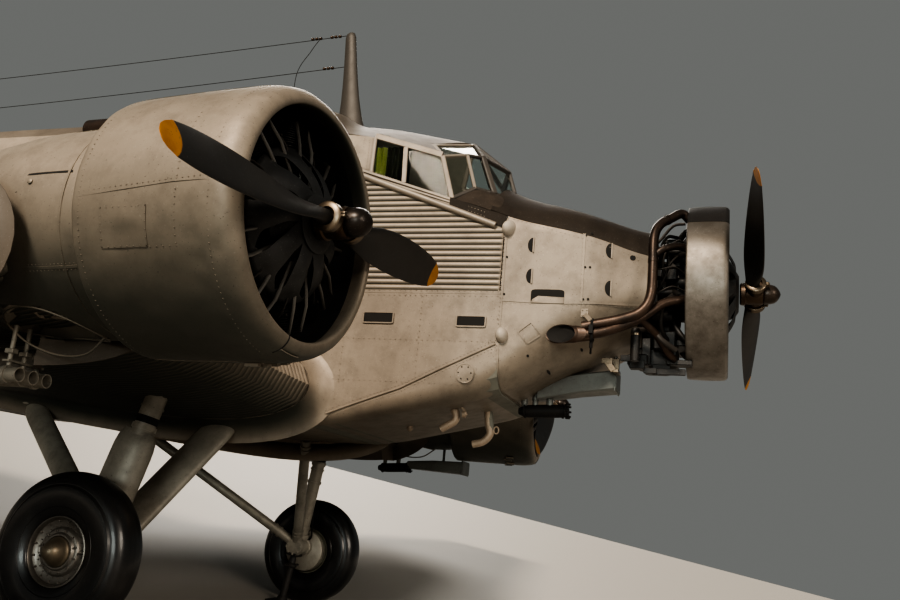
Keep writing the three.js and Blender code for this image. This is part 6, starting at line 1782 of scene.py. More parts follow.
for sign, side in ((-1, "starboard"), (1, "port")):
    makeWing(sign, side)
    for kind in ("flap", "aileron"):
        makeRearSurface(kind, sign, side)
print("wings made")

nacelle = {"spots": [(-1.15, 0.6), (-1.2303, 0.628), (-1.36, 0.64), (-1.6, 0.642), (-2.0, 0.622),
                     (-2.9, 0.48), (-3.9, 0.2)],
           "opening": {"x": (-2.14, -1.46), "middle": 172.0, "half": 25.0},
           # thin lip hung below the opening: x, y, z
           "lip": [(-2.14, -0.16, -0.585), (-2.0, -0.1, -0.7), (-1.8, -0.04, -0.765), (-1.6, -0.02, -0.755),
                   (-1.46, -0.04, -0.66)]}


def nacelleRadius(x):
    return np.interp(-np.asarray(x), -np.array([p[0] for p in nacelle["spots"]]),
                     [p[1] for p in nacelle["spots"]])


def nacellePoint(x, angle, lift=0.0):
    return roundAxis(x, nacelleRadius(x) + lift, angle) - np.array([0, 0, 0.012])


def makeNacelle(name):
    path = smoothPath(nacelle["spots"], 40)
    angle = np.linspace(0, 360, 97)[:-1]
    hole = nacelle["opening"]
    x, r = path[:, :1] + 0 * angle, path[:, 1:] + 0 * angle
    r = r + 0.002 * np.sin(np.radians(angle) * 7 + 4 * x)
    inside = np.clip((x - hole["x"][0]) / (hole["x"][1] - hole["x"][0]), 0, 1)
    lens = hole["half"] * np.sin(math.pi * inside) ** 0.8
    away = np.abs((angle - hole["middle"] + 180) % 360 - 180)
    inward = (away < lens) & (inside > 0) & (inside < 1)
    r = np.where(inward, r - 0.16, r)
    body = solid(roundAxis(x, r, angle) - [0, 0, 0.012])
    addOnEngine(name, "nacelle_skin", body, "cowl", replaces=[f"nacelle_{name}"], smoothAngle=40)
    # seam, slot, bright screw, rivets, and the dark rim of the belly opening
    def along(start, end, count, lift):  # points and normals from one [x, angle] to another
        x, angle = np.linspace(start, end, count).T
        return nacellePoint(x, angle, lift), roundAxis(0 * x, 1.0, angle)

    raised, dark, spots, normals = [], [], [], []
    for start, end in (((-1.16, 124.5), (-1.72, 124.5)), ((-1.16, 30), (-2.6, 30)),
                       ((-1.36, 20), (-1.36, 170))):
        points, normal = along(start, end, 20, 0.002)
        raised.append(ribbon(points, normal, 0.016, 0.0022))
        for shift in (-1.6, 1.6):
            points, normal = along((start[0], start[1] + shift), (end[0], end[1] + shift), 22, 0.002)
            spots.append(points)
            normals.append(normal)
    points, normal = along((-1.34, 76), (-1.72, 76), 12, 0.001)
    dark.append(ribbon(points, normal, 0.012, 0.0022))
    for shift in (0.9, 8.0):
        points, normal = along((-1.7, 76 + shift * 1.2), (-1.8, 80 + shift), 6, 0.002)
        dark.append(ribbon(points, normal, 0.005, 0.002))
    screw = lathe([(0, 0), (0.0, 0.016), (0.009, 0.016), (0.012, 0.011), (0.012, 0)], 16)
    raised.append(moved(screw, lambda v: v[:, [1, 2, 0]] @ axisTurn(80.5).T + nacellePoint(-1.62, 80.5)))
    t = np.linspace(0, 1, 40)
    rimX = hole["x"][0] + (hole["x"][1] - hole["x"][0]) * (0.5 - 0.5 * np.cos(2 * math.pi * t))
    rimA = hole["middle"] + hole["half"] * np.sin(2 * math.pi * t)
    rim = nacellePoint(rimX, rimA, 0.004)
    raised.append(closedTube(rim[:-1], 0.006, 8))
    # ribs and stringers seen through the opening
    frameBars = [tube([nacellePoint(x, hole["middle"] - 30, -0.09), nacellePoint(x, hole["middle"], -0.1),
                       nacellePoint(x, hole["middle"] + 30, -0.09)], 0.014, 8)
                 for x in (-1.6, -1.78, -1.96)]
    frameBars += [tube([nacellePoint(-2.1, a, -0.12), nacellePoint(-1.5, a, -0.12)], 0.01,
                       8) for a in (162, 176, 190)]
    frameBars += [boxes([nacellePoint(x, a, -0.12)], [[0.1, 0.05, 0.03]])
                  for x, a in ((-1.69, 166), (-1.86, 178), (-1.74, 186), (-1.99, 168))]
    # pale inner sheet behind the ribs
    sheetX, sheetA = np.meshgrid(np.linspace(-2.08, -1.5, 12),
                                 np.linspace(hole["middle"] - 28, hole["middle"] + 28, 14), indexing="ij")
    frameBars.append(facingSheet(nacellePoint(sheetX, sheetA, -0.135), (0, 0, -1), 0.003))
    addOnEngine(name, "nacelle_ribs", merged(frameBars), "frame", slot="inside_paint")
    raised.append(tube(smoothPath(nacelle["lip"], 40), 0.007, 10))
    addOnEngine(name, "nacelle_fittings", merged(raised), "cowl")
    # dark slot ribbons: painted shade
    addOnEngine(name, "nacelle_slots", merged(dark), "soot")
    domes = rivets(np.concatenate(spots), np.concatenate(normals), 0.0042, 0.0018)
    addOnEngine(name, "nacelle_rivets", domes, "cowl")
    # browned exhaust stub on top behind the cowl
    stub = smoothPath([(-1.45, -0.03, 0.54), (-1.54, -0.03, 0.64), (-1.68, -0.03, 0.69),
                       (-1.9, -0.03, 0.705)], 18)
    size = np.interp(np.linspace(0, 1, 18), [0, 0.3, 1], [0.075, 0.08, 0.07])
    addOnEngine(name, "exhaust_stub", tube(stub, size, 24), "exhaust", smoothAngle=50)
    tip = stub[-1] + (stub[-1] - stub[-2]) * 0.05
    # dark disc in the stub's mouth: painted shade and soot
    addOnEngine(name, "exhaust_stub_mouth", lathe([(0.0, 0), (0.0, 0.062), (-0.004, 0.062), (-0.004, 0)],
                                                  24, centre=tip), "soot", slot="exhaust_metal")


for name in ("starboard", "port"):
    makeNacelle(name)


def makeWingFairing(name, sign):
    # rounded hollow where the wing's leading edge leaves the
    # nacelle: rings that spread from the wing to the nacelle
    share = roundSteps(30)
    sets = []
    for edge in (-1, 1):
        rows = []
        for a in np.linspace(0, math.pi / 2, 9):
            out, lift = 0.2 * (1 - math.sin(a)), 0.2 * (1 - math.cos(a))
            y = 3.296 + edge * (0.64 + out)
            column = np.array([[y]])
            topX, topZ = wingPoint(column, share[20::-1][None] * 0.45, 1)
            lowX, lowZ = wingPoint(column, share[1:21][None] * 0.45, -1)
            x, z = np.concatenate([topX[0], lowX[0]]), np.concatenate([topZ[0], lowZ[0]])
            # the nacelle narrows rearward, so the fillet's edge follows its side
            side = nacelleHalf(x, z)
            line = np.stack([x, np.where(side > 0, 3.296 + edge * (side + out),
                                         3.296 + edge * (0.3 + out)), z], 1)
            way = np.gradient(np.stack([x, z], 1), axis=0)
            normal = unit(np.stack([-way[:, 1], way[:, 0]], 1))
            if normal[3, 1] < 0:
                normal = -normal
            line[:, 0] += normal[:, 0] * (lift + 0.012)
            line[:, 2] += normal[:, 1] * (lift + 0.012)
            rows.append(line)
        net = np.array(rows) * [1, sign, 1]
        sets.append(facingSheet(net, (0.2, sign * edge, 0.3), 0.004))
    # the fillets take the dark roof colour: painted shade in the hollows
    addPiece(f"nacelle_fillets_{name}", merged(sets), "roofSide", smoothAngle=60)


def nacelleHalf(x, z):  # half width of the nacelle at a place and height, as it stands in the wing
    radius = nacelleRadius(x + 2.252)
    high = z + 0.519 + 0.012
    return np.sqrt(np.maximum(radius ** 2 - high ** 2, 0.0))


for name, sign in (("starboard", -1), ("port", 1)):
    makeWingFairing(name, sign)
print("nacelles made")

# Landing gear, metres: the joint by the wheel and where the struts meet the hull
gear = {"joint": (-4.65, 1.6, -2.42), "front": (-4.28, 0.76, -1.345), "rear": (-6.36, 0.78, -1.295),
        "leg": (-4.43, 1.55, -1.15),
        "rearFoot": (-4.73, 1.6, -2.43),
        "wheel": (-4.657, 2.012, -2.481), "wheelRadius": 0.558}


def streamlined(path, chord, thickness, sides=24):
    # streamlined section carried along a path: round in front, drawn out behind
    path = np.asarray(path, float)
    t = roundAngles(sides)
    c = np.cos(t) * 0.5
    s = np.sin(t) * 0.5 * (1 - 0.9 * np.maximum(-c, 0) ** 1.3)
    chord, thickness = (np.broadcast_to(v, (len(path),))[:, None] for v in (chord, thickness))
    way = unit(np.gradient(path, axis=0))
    fore = unit(np.array([1.0, 0, 0]) - way * way[:, :1])
    side = np.cross(way, fore)
    net = path[:, None] + (chord * c)[..., None] * fore[:, None]
    return solid(net + (thickness * s)[..., None] * side[:, None])


def domeEnds(count, reach=0.12, low=0.35):
    # sizes along a fairing: full in the middle, rounded down at both ends
    t = np.linspace(0, 1, count)
    near = np.clip(np.minimum(t, 1 - t) / reach, 0, 1)
    return low + (1 - low) * np.sqrt(1 - (1 - near) ** 2)


def between(a, b, count=16, start=0.0, end=1.0):
    a, b = np.asarray(a, float), np.asarray(b, float)
    return a + (b - a) * np.linspace(start, end, count)[:, None]


def makeGear(sign, side, faired):
    joint, front, rear, leg = (np.array(gear[key]) for key in ("joint", "front", "rear", "leg"))
    foot = np.array([joint[0] - 0.01, 1.7, joint[2] + 0.06])
    painted, bare, dark = [], [], []
    if faired:
        size = domeEnds(20, 0.1, 0.55)
        painted.append(streamlined(between(joint, front, 20, 0.03, 0.97), 0.335 * size, 0.125 * size))
        painted.append(streamlined(between(gear["rearFoot"], rear, 20, 0.03, 0.98), 0.2 * size, 0.1 * size))
        # deep fairing over the shock leg, with rounded shoulders where the bare leg comes out
        low, high = foot + [-0.05, -0.03, 0.02], np.array([-4.535, 1.6, -1.57])
        size = np.array([0.86, 0.93, 0.97, 1, 1, 1, 1, 1, 1, 1, 1, 0.985, 0.93, 0.72])
        painted.append(streamlined(between(low, high, 14), 0.36 * size, 0.22 * size))
        # blended ends where the front strut meets the hull
        for spot, length in ((front, 0.34), (rear, 0.3)):
            u, v = np.meshgrid(np.linspace(0, math.pi, 13), roundAngles(28), indexing="ij")
            net = np.stack([np.cos(u) * length * 0.5 + 0.02, np.sin(u) * np.cos(v) * 0.085,
                            np.sin(u) * np.sin(v) * 0.045], -1)
            painted.append(outward(welded(grid(net + spot + [0.0, -0.01, -0.015], wrapV=True))))
    else:
        painted.append(tube(between(joint, front, 10, 0.0, 0.985),
                            np.interp(np.linspace(0, 1, 10), [0, 0.04, 0.1, 0.9, 1],
                                      [0.045, 0.045, 0.052, 0.052, 0.045]), 24))
        painted.append(tube(between(joint, rear, 10, 0.0, 0.985), 0.05, 24))
        for a, b in ((joint, front), (joint, rear)):
            for share in (0.1, 0.13, 0.9, 0.93):
                painted.append(tube(between(a, b, 2, share, share + 0.012), 0.06, 24))
        painted.append(boxes([front], [[0.3, 0.12, 0.05]], 0.4))
    # shock leg with bands, gaiter and clamp bolts
    stout = 0.017 if faired else 0.0
    bare.append(tube(between(foot, leg, 8), 0.067 + stout, 28))
    for share, width, radius in ((0.02, 0.03, 0.082), (0.1, 0.015, 0.076), (0.5, 0.02, 0.078),
                                 (0.62, 0.012, 0.076), (0.66, 0.03, 0.079), (0.8, 0.012, 0.075),
                                 (0.9, 0.016, 0.078), (0.955, 0.03, 0.088)):
        bare.append(tube(between(foot, leg, 2, share, share + width), radius + stout, 28))
    dark.append(tube(between(foot, leg, 2, 0.7, 0.745), 0.0705 + stout, 28))
    # knot by the wheel: a stepped drum on the axle with bolts and lugs
    drum = lathe([(-0.02, 0), (-0.02, 0.088), (0.0, 0.096), (0.03, 0.098), (0.035, 0.088), (0.19, 0.085),
                  (0.195, 0.094), (0.235, 0.092), (0.24, 0.08), (0.24, 0)], 36)
    bare.append(moved(drum, lambda v: v[:, [1, 0, 2]] + [joint[0], 1.545, -2.44]))
    for k in range(8):
        a = 2 * math.pi * k / 8
        bare.append(boxes([[joint[0] + 0.076 * math.cos(a), 1.519, -2.44 + 0.076 * math.sin(a)]],
                          [[0.022, 0.018, 0.022]], 0.3))
    axle = lathe([(0.0, 0), (0.0, 0.045), (0.58, 0.045), (0.6, 0.04), (0.6, 0)], 28)
    bare.append(moved(axle, lambda v: v[:, [1, 0, 2]] + [gear["wheel"][0], 1.56, gear["wheel"][2]]))
    # brake drum inside the wheel and its hose
    brake = lathe([(0.0, 0), (0.0, 0.2), (0.012, 0.215), (0.06, 0.215), (0.06, 0)], 40)
    bare.append(moved(brake, lambda v: v[:, [1, 0, 2]] + [gear["wheel"][0], 1.8, gear["wheel"][2]]))
    hose = smoothPath([foot + [0.07, 0.0, 0.55], foot + [0.1, 0.02, 0.3], foot + [0.1, 0.05, 0.05],
                       [gear["wheel"][0] + 0.05, 1.79, gear["wheel"][2] + 0.12]], 20)
    dark.append(tube(hose, 0.01, 8))
    painted, bare, dark = ([outward(s) if sign > 0 else mirrored(s) for s in group]
                           for group in (painted, bare, dark))
    addPiece(f"gear_struts_{side}", merged(painted), "strutPaint", replaces=[f"gear_{side}"],
             smoothAngle=50)
    addPiece(f"gear_leg_{side}", merged(bare), "strutPaint", slot="bare_metal", smoothAngle=40)
    addPiece(f"gear_hose_{side}", merged(dark), "blackPaint")


tyre = {"halfWidth": 0.165, "profile": [(-0.105, 0.236), (-0.132, 0.252), (-0.152, 0.3), (-0.163, 0.36),
                                        (-0.165, 0.41), (-0.16, 0.445), (-0.156, 0.452), (-0.15, 0.46),
                                        (-0.148, 0.47),
                                        (-0.135, 0.5), (-0.105, 0.533), (-0.06, 0.552), (0.0, 0.558)]}


def makeWheel(sign, side):
    half = smoothPath(tyre["profile"], 56)
    profile = np.vstack([half, (half * [-1, 1])[::-1][1:]])
    inner = np.array([(0.09, 0.232), (-0.09, 0.232)])
    ring = np.vstack([profile, inner])
    angle = np.linspace(0, 360, 121)[:-1]
    net = roundAxis(ring[:, :1] + 0 * angle, ring[:, 1:] + 0 * angle, angle)
    made = outward(grid(net, wrapU=True, wrapV=True))
    # a raised ridge ring and a fine groove on each side wall
    ridges = [lathe([(w - 0.004 * s, r - 0.012), (w + 0.006 * s, r), (w - 0.004 * s, r + 0.012),
                     (w - 0.015 * s, r)], 96, wrap=True)
              for s in (-1, 1) for w, r in ((s * 0.1585, 0.445), (s * 0.15, 0.305))]
    onAxle = lambda v: v[:, [1, 0, 2]] + [gear["wheel"][0], sign * gear["wheel"][1], gear["wheel"][2]]
    body = f"main_wheel_{side}"
    addPiece(f"tyre_rubber_{side}", outward(moved(made, onAxle)), "tyre", body=body,
             replaces=[f"tyre_{side}"], smoothAngle=60)
    addPiece(f"tyre_ridges_{side}", moved(merged([flipped(r) for r in ridges]), onAxle), "tyre", body=body,
             smoothAngle=60)
    out = lambda v: v[:, [1, 0, 2]] * [1, sign, 1] + [gear["wheel"][0], sign * gear["wheel"][1],
                                                      gear["wheel"][2]]
    fix = flipped if sign > 0 else (lambda s: s)
    rim = [(-0.11, 0.06), (-0.11, 0.2), (-0.1, 0.285), (-0.125, 0.298), (-0.128, 0.312), (-0.118, 0.318),
           (0.118, 0.318), (0.13, 0.314), (0.133, 0.302), (0.126, 0.294), (0.112, 0.288), (0.098, 0.282),
           (0.088, 0.262), (0.084, 0.235), (0.08, 0.215), (0.088, 0.205), (0.1, 0.196), (0.104, 0.185),
           (0.104, 0.16), (0.112, 0.15), (0.118, 0.142), (0.118, 0.128), (0.1, 0.12), (0.1, 0.06)]
    cap = [(0.095, 0), (0.095, 0.122), (0.108, 0.124), (0.122, 0.12), (0.128, 0.112), (0.132, 0.106),
           (0.15, 0.098), (0.178, 0.082), (0.205, 0.058), (0.222, 0.034), (0.229, 0.014), (0.23, 0)]
    near = lambda spots: [(x, r if r < 0.06 else 0.06 + (r - 0.06) * 0.715) for x, r in spots]
    rim, cap = near(rim), near(cap)
    if side == "port":
        cap = [(0.095, 0), (0.095, 0.11), (0.115, 0.112), (0.13, 0.104), (0.14, 0.085),
               (0.15, 0.055), (0.153, 0)]
    bolts = []
    for count, radius, x, size in ((16, 0.209, 0.096, 0.016), (12, 0.144, 0.106, 0.018),
                                   (24, 0.179, 0.086, 0.01)):
        for k in range(count):
            a = 2 * math.pi * (k + 0.5) / count
            hexagon = lathe([(0, 0), (0, size * 0.55), (size * 0.7, size * 0.55), (size * 0.8, size * 0.4),
                             (size * 0.8, size * 0.26), (size * 1.3, size * 0.26), (size * 1.3, 0)], 6)
            spot = [x - 0.004, radius * math.cos(a), radius * math.sin(a)]
            bolts.append(moved(hexagon, lambda v: v + spot))
    bolts.append(tube([(0.08, 0.196, 0.0), (0.105, 0.19, 0.0), (0.13, 0.182, 0.0)], 0.006, 8))  # the valve
    bodyPaint = "hubMetal" if side == "starboard" else "drum"
    addPiece(f"wheel_rim_{side}", fix(moved(lathe(rim, 96, wrap=True), out)), bodyPaint, body=body,
             replaces=[f"wheel_hub_{side}"], smoothAngle=35)
    addPiece(f"wheel_bolts_{side}", fix(moved(merged(bolts), out)), bodyPaint, body=body)
    addPiece(f"wheel_cap_{side}", fix(moved(lathe(cap, 64), out)),
             "hubCap" if side == "starboard" else "drum", body=body, smoothAngle=45)
    # the back of the wheel
    back = lathe([(-0.128, 0.05), (-0.128, 0.195), (-0.14, 0.2), (-0.14, 0.215), (-0.12, 0.222),
                  (-0.112, 0.222), (-0.112, 0.05)], 64, wrap=True)
    addPiece(f"wheel_back_{side}", fix(moved(back, out)), "drum", body=body)


def makeStand(sign, side):
    # post stood upright on the floor under the gear joint, made in the row frame
    spot = toRow([[gear["joint"][0], sign * 1.6, gear["joint"][2]]])[0]
    post = lathe([(0.0, 0), (0.0, 0.13), (0.006, 0.134), (0.014, 0.13), (0.018, 0.075), (0.06, 0.05),
                  (0.075, 0.038), (spot[2] - 0.24, 0.038), (spot[2] - 0.23, 0.058),
                  (spot[2] - 0.205, 0.062), (spot[2] - 0.19, 0.04), (spot[2] - 0.14, 0.034),
                  (spot[2] - 0.1, 0.03), (spot[2] - 0.1, 0)], 32)
    handles = tube([(0, -0.16, spot[2] - 0.217), (0, 0.16, spot[2] - 0.217)], 0.012, 10)
    saddle = boxes([[0, 0, spot[2] - 0.1]], [[0.12, 0.16, 0.03]], 0.3)
    stand = merged([moved(post, lambda v: v[:, [1, 2, 0]]), handles, saddle,
                    boxes([[0, 0, 0.008]], [[0.26, 0.26, 0.014]], 0.2)])
    addPiece(f"stand_{side}", moved(stand, lambda v: v + [spot[0], spot[1], 0]), "stand",
             replaces=[f"axle_stand_{side}"], place=lambda v: v)


for sign, side in ((-1, "starboard"), (1, "port")):
    makeGear(sign, side, sign < 0)
    makeWheel(sign, side)
    makeStand(sign, side)
print("gear made")

tail = {"hinge": -17.43, "plane": 0.75, "planeHinge": -16.76}


def makeTail():
    upright = lambda x, y, z: np.stack([x, z + 0 * x, y + 0 * x], -1)
    fin = plateNet([0.95, 1.3, 2.18], [-15.71, -16.06, -16.79], [-17.35] * 3, [0.17, 0.16, 0.11], upright,
                   blunt=True, pitch=0.055, height=0.005)
    head = boxes([[-17.36, 0, 2.165]], [[0.2, 0.046, 0.03]])
    pins = [tube([[tail["hinge"], 0, low], [tail["hinge"], 0, high]], 0.014,
                 12) for low, high in ((2.15, 2.25), (-0.24, -0.11))]
    foot = boxes([[-17.39, 0, -0.23]], [[0.16, 0.06, 0.03]])
    addPiece("fin_skin", solid(fin), "corrugated", replaces=["fin"], smoothAngle=40)
    addPiece("fin_hinges", merged([head, foot] + pins), "strutPaint")
    rudder = plateNet([-0.15, 0.5, 1.5, 2.129], [-17.37] * 4, [-17.99, -18.56, -18.66, -18.56],
                      [0.11, 0.15, 0.13, 0.1], upright, pitch=0.055, height=0.005)
    balance = plateNet([2.201, 2.4, 2.5], [-16.96, -17.02, -17.25], [-18.56, -18.44, -18.2],
                       [0.1, 0.08, 0.05], upright, pitch=0.055, height=0.004)
    neck = boxes([[-18.02, 0, 2.165]], [[0.9, 0.05, 0.09]])
    addPiece("rudder_skin", merged([solid(rudder), solid(balance), neck]), "corrugated", body="rudder",
             replaces=["rudder"], smoothAngle=40)
    for sign, side in ((-1, "starboard"), (1, "port")):
        level = lambda x, y, z, s=sign: np.stack([x, s * y + 0 * x, tail["plane"] + z + 0 * x], -1)
        plane = plateNet([0.1, 4.7], [-15.305, -15.88], [tail["planeHinge"] + 0.07] * 2, [0.205, 0.11],
                         level, blunt=True, height=0.006)
        brackets = [boxes([[tail["planeHinge"] + 0.045, sign * y, tail["plane"]]],
                          [[0.1, 0.024, 0.028]]) for y in (0.9, 4.64)]
        brackets += [tube([[tail["planeHinge"], sign * (y - 0.04), tail["plane"]],
                           [tail["planeHinge"], sign * (y + 0.04), tail["plane"]]], 0.014,
                          12) for y in (0.9, 4.64)]
        addPiece(f"tailplane_skin_{side}", solid(plane), "corrugated", replaces=[f"tailplane_{side}"],
                 smoothAngle=40)
        addPiece(f"tailplane_brackets_{side}", merged(brackets), "strutPaint")
        elevator = plateNet([0.33, 4.706], [tail["planeHinge"] + 0.05] * 2, [-17.33, -17.25], [0.13, 0.09],
                            level, height=0.005, notch={"at": [0.9, 4.64], "half": 0.018, "back": 0.12})
        horn = plateNet([4.706, 4.88], [-16.06, -16.3], [-17.25, -17.15], [0.09, 0.05], level, height=0.004)
        addPiece(f"elevator_skin_{side}", merged([solid(elevator), solid(horn)]), "corrugated",
                 body=f"elevator_{side}", replaces=[f"elevator_{side}"], smoothAngle=40)
        strut = streamlined(between((-15.75, sign * 0.3, -0.3), (-15.9, sign * 2.3, 0.69), 12, 0.01,
                                    0.985), 0.12, 0.046)
        ends = [boxes([spot], [[0.16, 0.06, 0.03]], 0.3)
                for spot in ([-15.75, sign * 0.33, -0.285], [-15.9, sign * 2.27, 0.665])]
        addPiece(f"tailplane_strut_skin_{side}", merged([strut] + ends), "strutPaint",
                 replaces=[f"tailplane_strut_{side}"])


makeTail()

mast = {"x": -3.85, "foot": 1.6, "top": 2.78, "lean": -0.13}


def makeMast():
    # flared foot that narrows to a leaning streamlined post, with a ring where it leaves the roof
    rise = np.array([-0.02, 0.03, 0.08, 0.13, 0.18, 0.26, 0.4, 0.6, 0.8, 1.0, 1.12, 1.165, 1.18])
    chord = np.array([0.34, 0.325, 0.305, 0.285, 0.265, 0.235, 0.198, 0.165, 0.142, 0.125,
                      0.115, 0.09, 0.04])
    depth = np.array([0.2, 0.18, 0.155, 0.135, 0.118, 0.1, 0.084, 0.073, 0.066, 0.061, 0.058, 0.045, 0.02])
    path = np.stack([mast["x"] + mast["lean"] * np.maximum(rise, 0) / 1.18, 0 * rise,
                     mast["foot"] + rise], 1)
    post = streamlined(path, chord, depth, 28)
    foot = streamlined(np.array([[mast["x"], 0, mast["foot"] + z] for z in (0.035, 0.05, 0.065, 0.07)]),
                       np.array([0.34, 0.345, 0.31, 0.26]), np.array([0.24, 0.245, 0.21, 0.17]), 28)
    addPiece("mast_post", merged([post, foot]), "mastPaint", replaces=["mast"], smoothAngle=50)
    top = np.array([mast["x"] + mast["lean"], 0, mast["top"] - 0.03])
    tailEnd = np.array([-17.06, 0, 2.47])
    beads, wires = [], []
    sag = lambda a, b, drop, n=24: np.array([a + (b - a) * t - [0, 0, 4 * drop * t * (1 - t)]
                                             for t in np.linspace(0, 1, n)])
    wires.append(tube(sag(top, tailEnd, 0.1), 0.0035, 6))
    ring = top + [0.0, 0, -0.36]
    wires.append(tube(sag(ring, np.array([-16.9, 0, 2.1]), 0.12), 0.0035, 6))
    lead = smoothPath([top + [-0.34, 0, -0.005], top + [-0.42, -0.02, -0.16], top + [-0.55, -0.03, -0.45],
                       [-4.45, -0.1, 1.66]], 24)
    wires.append(tube(lead, 0.0035, 6))
    for start, back in ((top, 0.12), (ring, 0.16), (top, 0.34), (tailEnd, -0.5)):
        direction = unit(tailEnd - top)
        for k in range(3):
            centre = start + direction * (back + 0.045 * k)
            beads.append(moved(lathe([(-0.018, 0), (-0.018, 0.006), (-0.01, 0.015), (0.01, 0.015),
                                      (0.018, 0.006), (0.018, 0)], 12), lambda v, c=centre: v + c))
    addPiece("aerial_wires", merged(wires), "blackPaint")
    addPiece("aerial_beads", merged(beads), "bronze", slot="bare_metal")


makeMast()
print("tail and mast made")

# Nose exhaust: two pipes from the cylinders down the starboard side to one oval mouth that opens outboard
exhaust = {
    "main": [(-0.44, -0.386, 0.466), (-0.505, -0.405, 0.496), (-0.578, -0.44, 0.556),
             (-0.656, -0.52, 0.494), (-0.742, -0.62, 0.4), (-0.78, -0.68, 0.27), (-0.777, -0.73, 0.007),
             (-0.785, -0.76, -0.228), (-0.85, -0.78, -0.355), (-0.99, -0.8, -0.424),
             (-1.231, -0.825, -0.484), (-1.29, -0.829, -0.498)],
    "second": [(-0.44, -0.52, -0.19), (-0.56, -0.6, -0.215), (-0.7, -0.66, -0.262), (-0.862, -0.73, -0.4),
               (-1.078, -0.8, -0.512), (-1.231, -0.825, -0.553), (-1.29, -0.829, -0.564)],
    "branches": [[(-0.44, -0.57, 0.13), (-0.56, -0.61, 0.215), (-0.69, -0.69, 0.18),
                  (-0.779, -0.705, 0.11)],
                 [(-0.62, -0.36, -0.64), (-0.67, -0.44, -0.6), (-0.75, -0.6, -0.49),
                  (-0.862, -0.73, -0.405)]],
    "radius": 0.038, "branchRadius": 0.03, "welds": (0.3, 0.52, 0.7),
    "mouth": {"start": -1.215, "end": -1.455, "centre": (-0.835, -0.56), "size": (0.046, 0.076),
              "slant": 0.24,
              "wall": 0.005, "depth": 0.09},
    "strap": (-1.215, -0.836, -0.525), "arm": [(-1.222, -0.862, -0.455), (-1.28, -0.785, -0.388)],
}


def mouthRing(x, slant, shrink, sides=64):
    # oval (y, z) = centre + (cos t, sin t) size, whose inboard side lies further to the rear by the slant
    part = exhaust["mouth"]
    t = roundAngles(sides)
    wide, high = (size - shrink for size in part["size"])
    return np.stack([x - slant * np.cos(t) / 2, part["centre"][0] + np.cos(t) * wide,
                     part["centre"][1] + np.sin(t) * high], 1)


def makeExhaust():
    part = exhaust["mouth"]
    wider = exhaust["radius"] + np.interp(np.linspace(0, 1, 80), [0, 0.5, 0.75, 1],
                                          [-0.002, 0, 0.003, 0.004])
    pipes = [tube(smoothPath(exhaust[name], 80), wider, 24) for name in ("main", "second")]
    pipes += [tube(smoothPath(branch, 28), exhaust["branchRadius"], 20) for branch in exhaust["branches"]]
    line = smoothPath(exhaust["main"], 201)
    for share in exhaust["welds"]:  # a low weld ring on the main pipe
        at = int(share * 200)
        pipes.append(tube(line[at:at + 3], exhaust["radius"] + 0.003, 24))
    steps = np.linspace(0, 1, 10)
    outer = [mouthRing(part["start"] + (part["end"] - part["start"]) * s, part["slant"] * s ** 1.4,
                       0.03 * (1 - s) ** 1.3) for s in steps]
    deep = [mouthRing(part["end"] + part["depth"] * (1 - s), part["slant"],
                      part["wall"] * 1.3) for s in steps[::-1]]
    liner = [mouthRing(part["end"] + part["depth"] * (1 - s) * 0.97 + 0.001, part["slant"],
                       part["wall"] * 1.3 + 0.001)
             for s in steps[::-1] * 0.94]
    cup = thick(grid(np.array(liner), wrapV=True, capEnd=True), 0.0015)
    addPiece("exhaust_pipes", merged(pipes + [solid(outer + deep)]), "exhaust",
             replaces=["exhaust_nose"], smoothAngle=50)
    # dark cup inside the mouth: painted shade and soot
    addPiece("exhaust_mouth_dark", cup, "soot", slot="exhaust_metal")
    # strap round both pipes with its bolt below, and the light arm that ties it to the hull
    x, y, z = exhaust["strap"]
    t = np.linspace(0, 2 * math.pi, 41)[:-1]
    loop = np.stack([0 * t + x, y + 0.012 + 0.04 * np.sign(np.cos(t)) * np.abs(np.cos(t)) ** 0.6,
                     z + 0.088 * np.sign(np.sin(t)) * np.abs(np.sin(t)) ** 0.8], 1)
    strap = [closedTube(loop, 0.008, 6), closedTube(loop + [0.01, 0, 0], 0.006, 6),
             boxes([[x, y - 0.038, z]], [[0.036, 0.022, 0.07]], 0.25),
             tube([(x, y + 0.01, z - 0.08), (x - 0.002, y + 0.02, z - 0.135)], 0.013, 12),
             tube([(x - 0.002, y + 0.02, z - 0.125), (x - 0.012, y + 0.085, z - 0.165)], 0.008, 8)]
    start, end = exhaust["arm"]
    arm = [bar(start, end, 0.034, 0.01, (0, -1, 0)),
           boxes([np.add(end, (-0.004, 0.008, 0.012))], [[0.06, 0.016, 0.07]], 0.25)]
    bolts = [np.add(end, (dx, 0.0, 0.012 + dz)) for dx in (-0.02, 0.014) for dz in (-0.022, 0.022)]
    arm += [boxes([spot], [[0.01, 0.014, 0.01]], 0.3) for spot in bolts]
    addPiece("exhaust_strap", merged(strap), "blackPaint", slot="exhaust_metal")
    addPiece("exhaust_arm", merged(arm), "skin", slot="bare_metal")


makeExhaust()

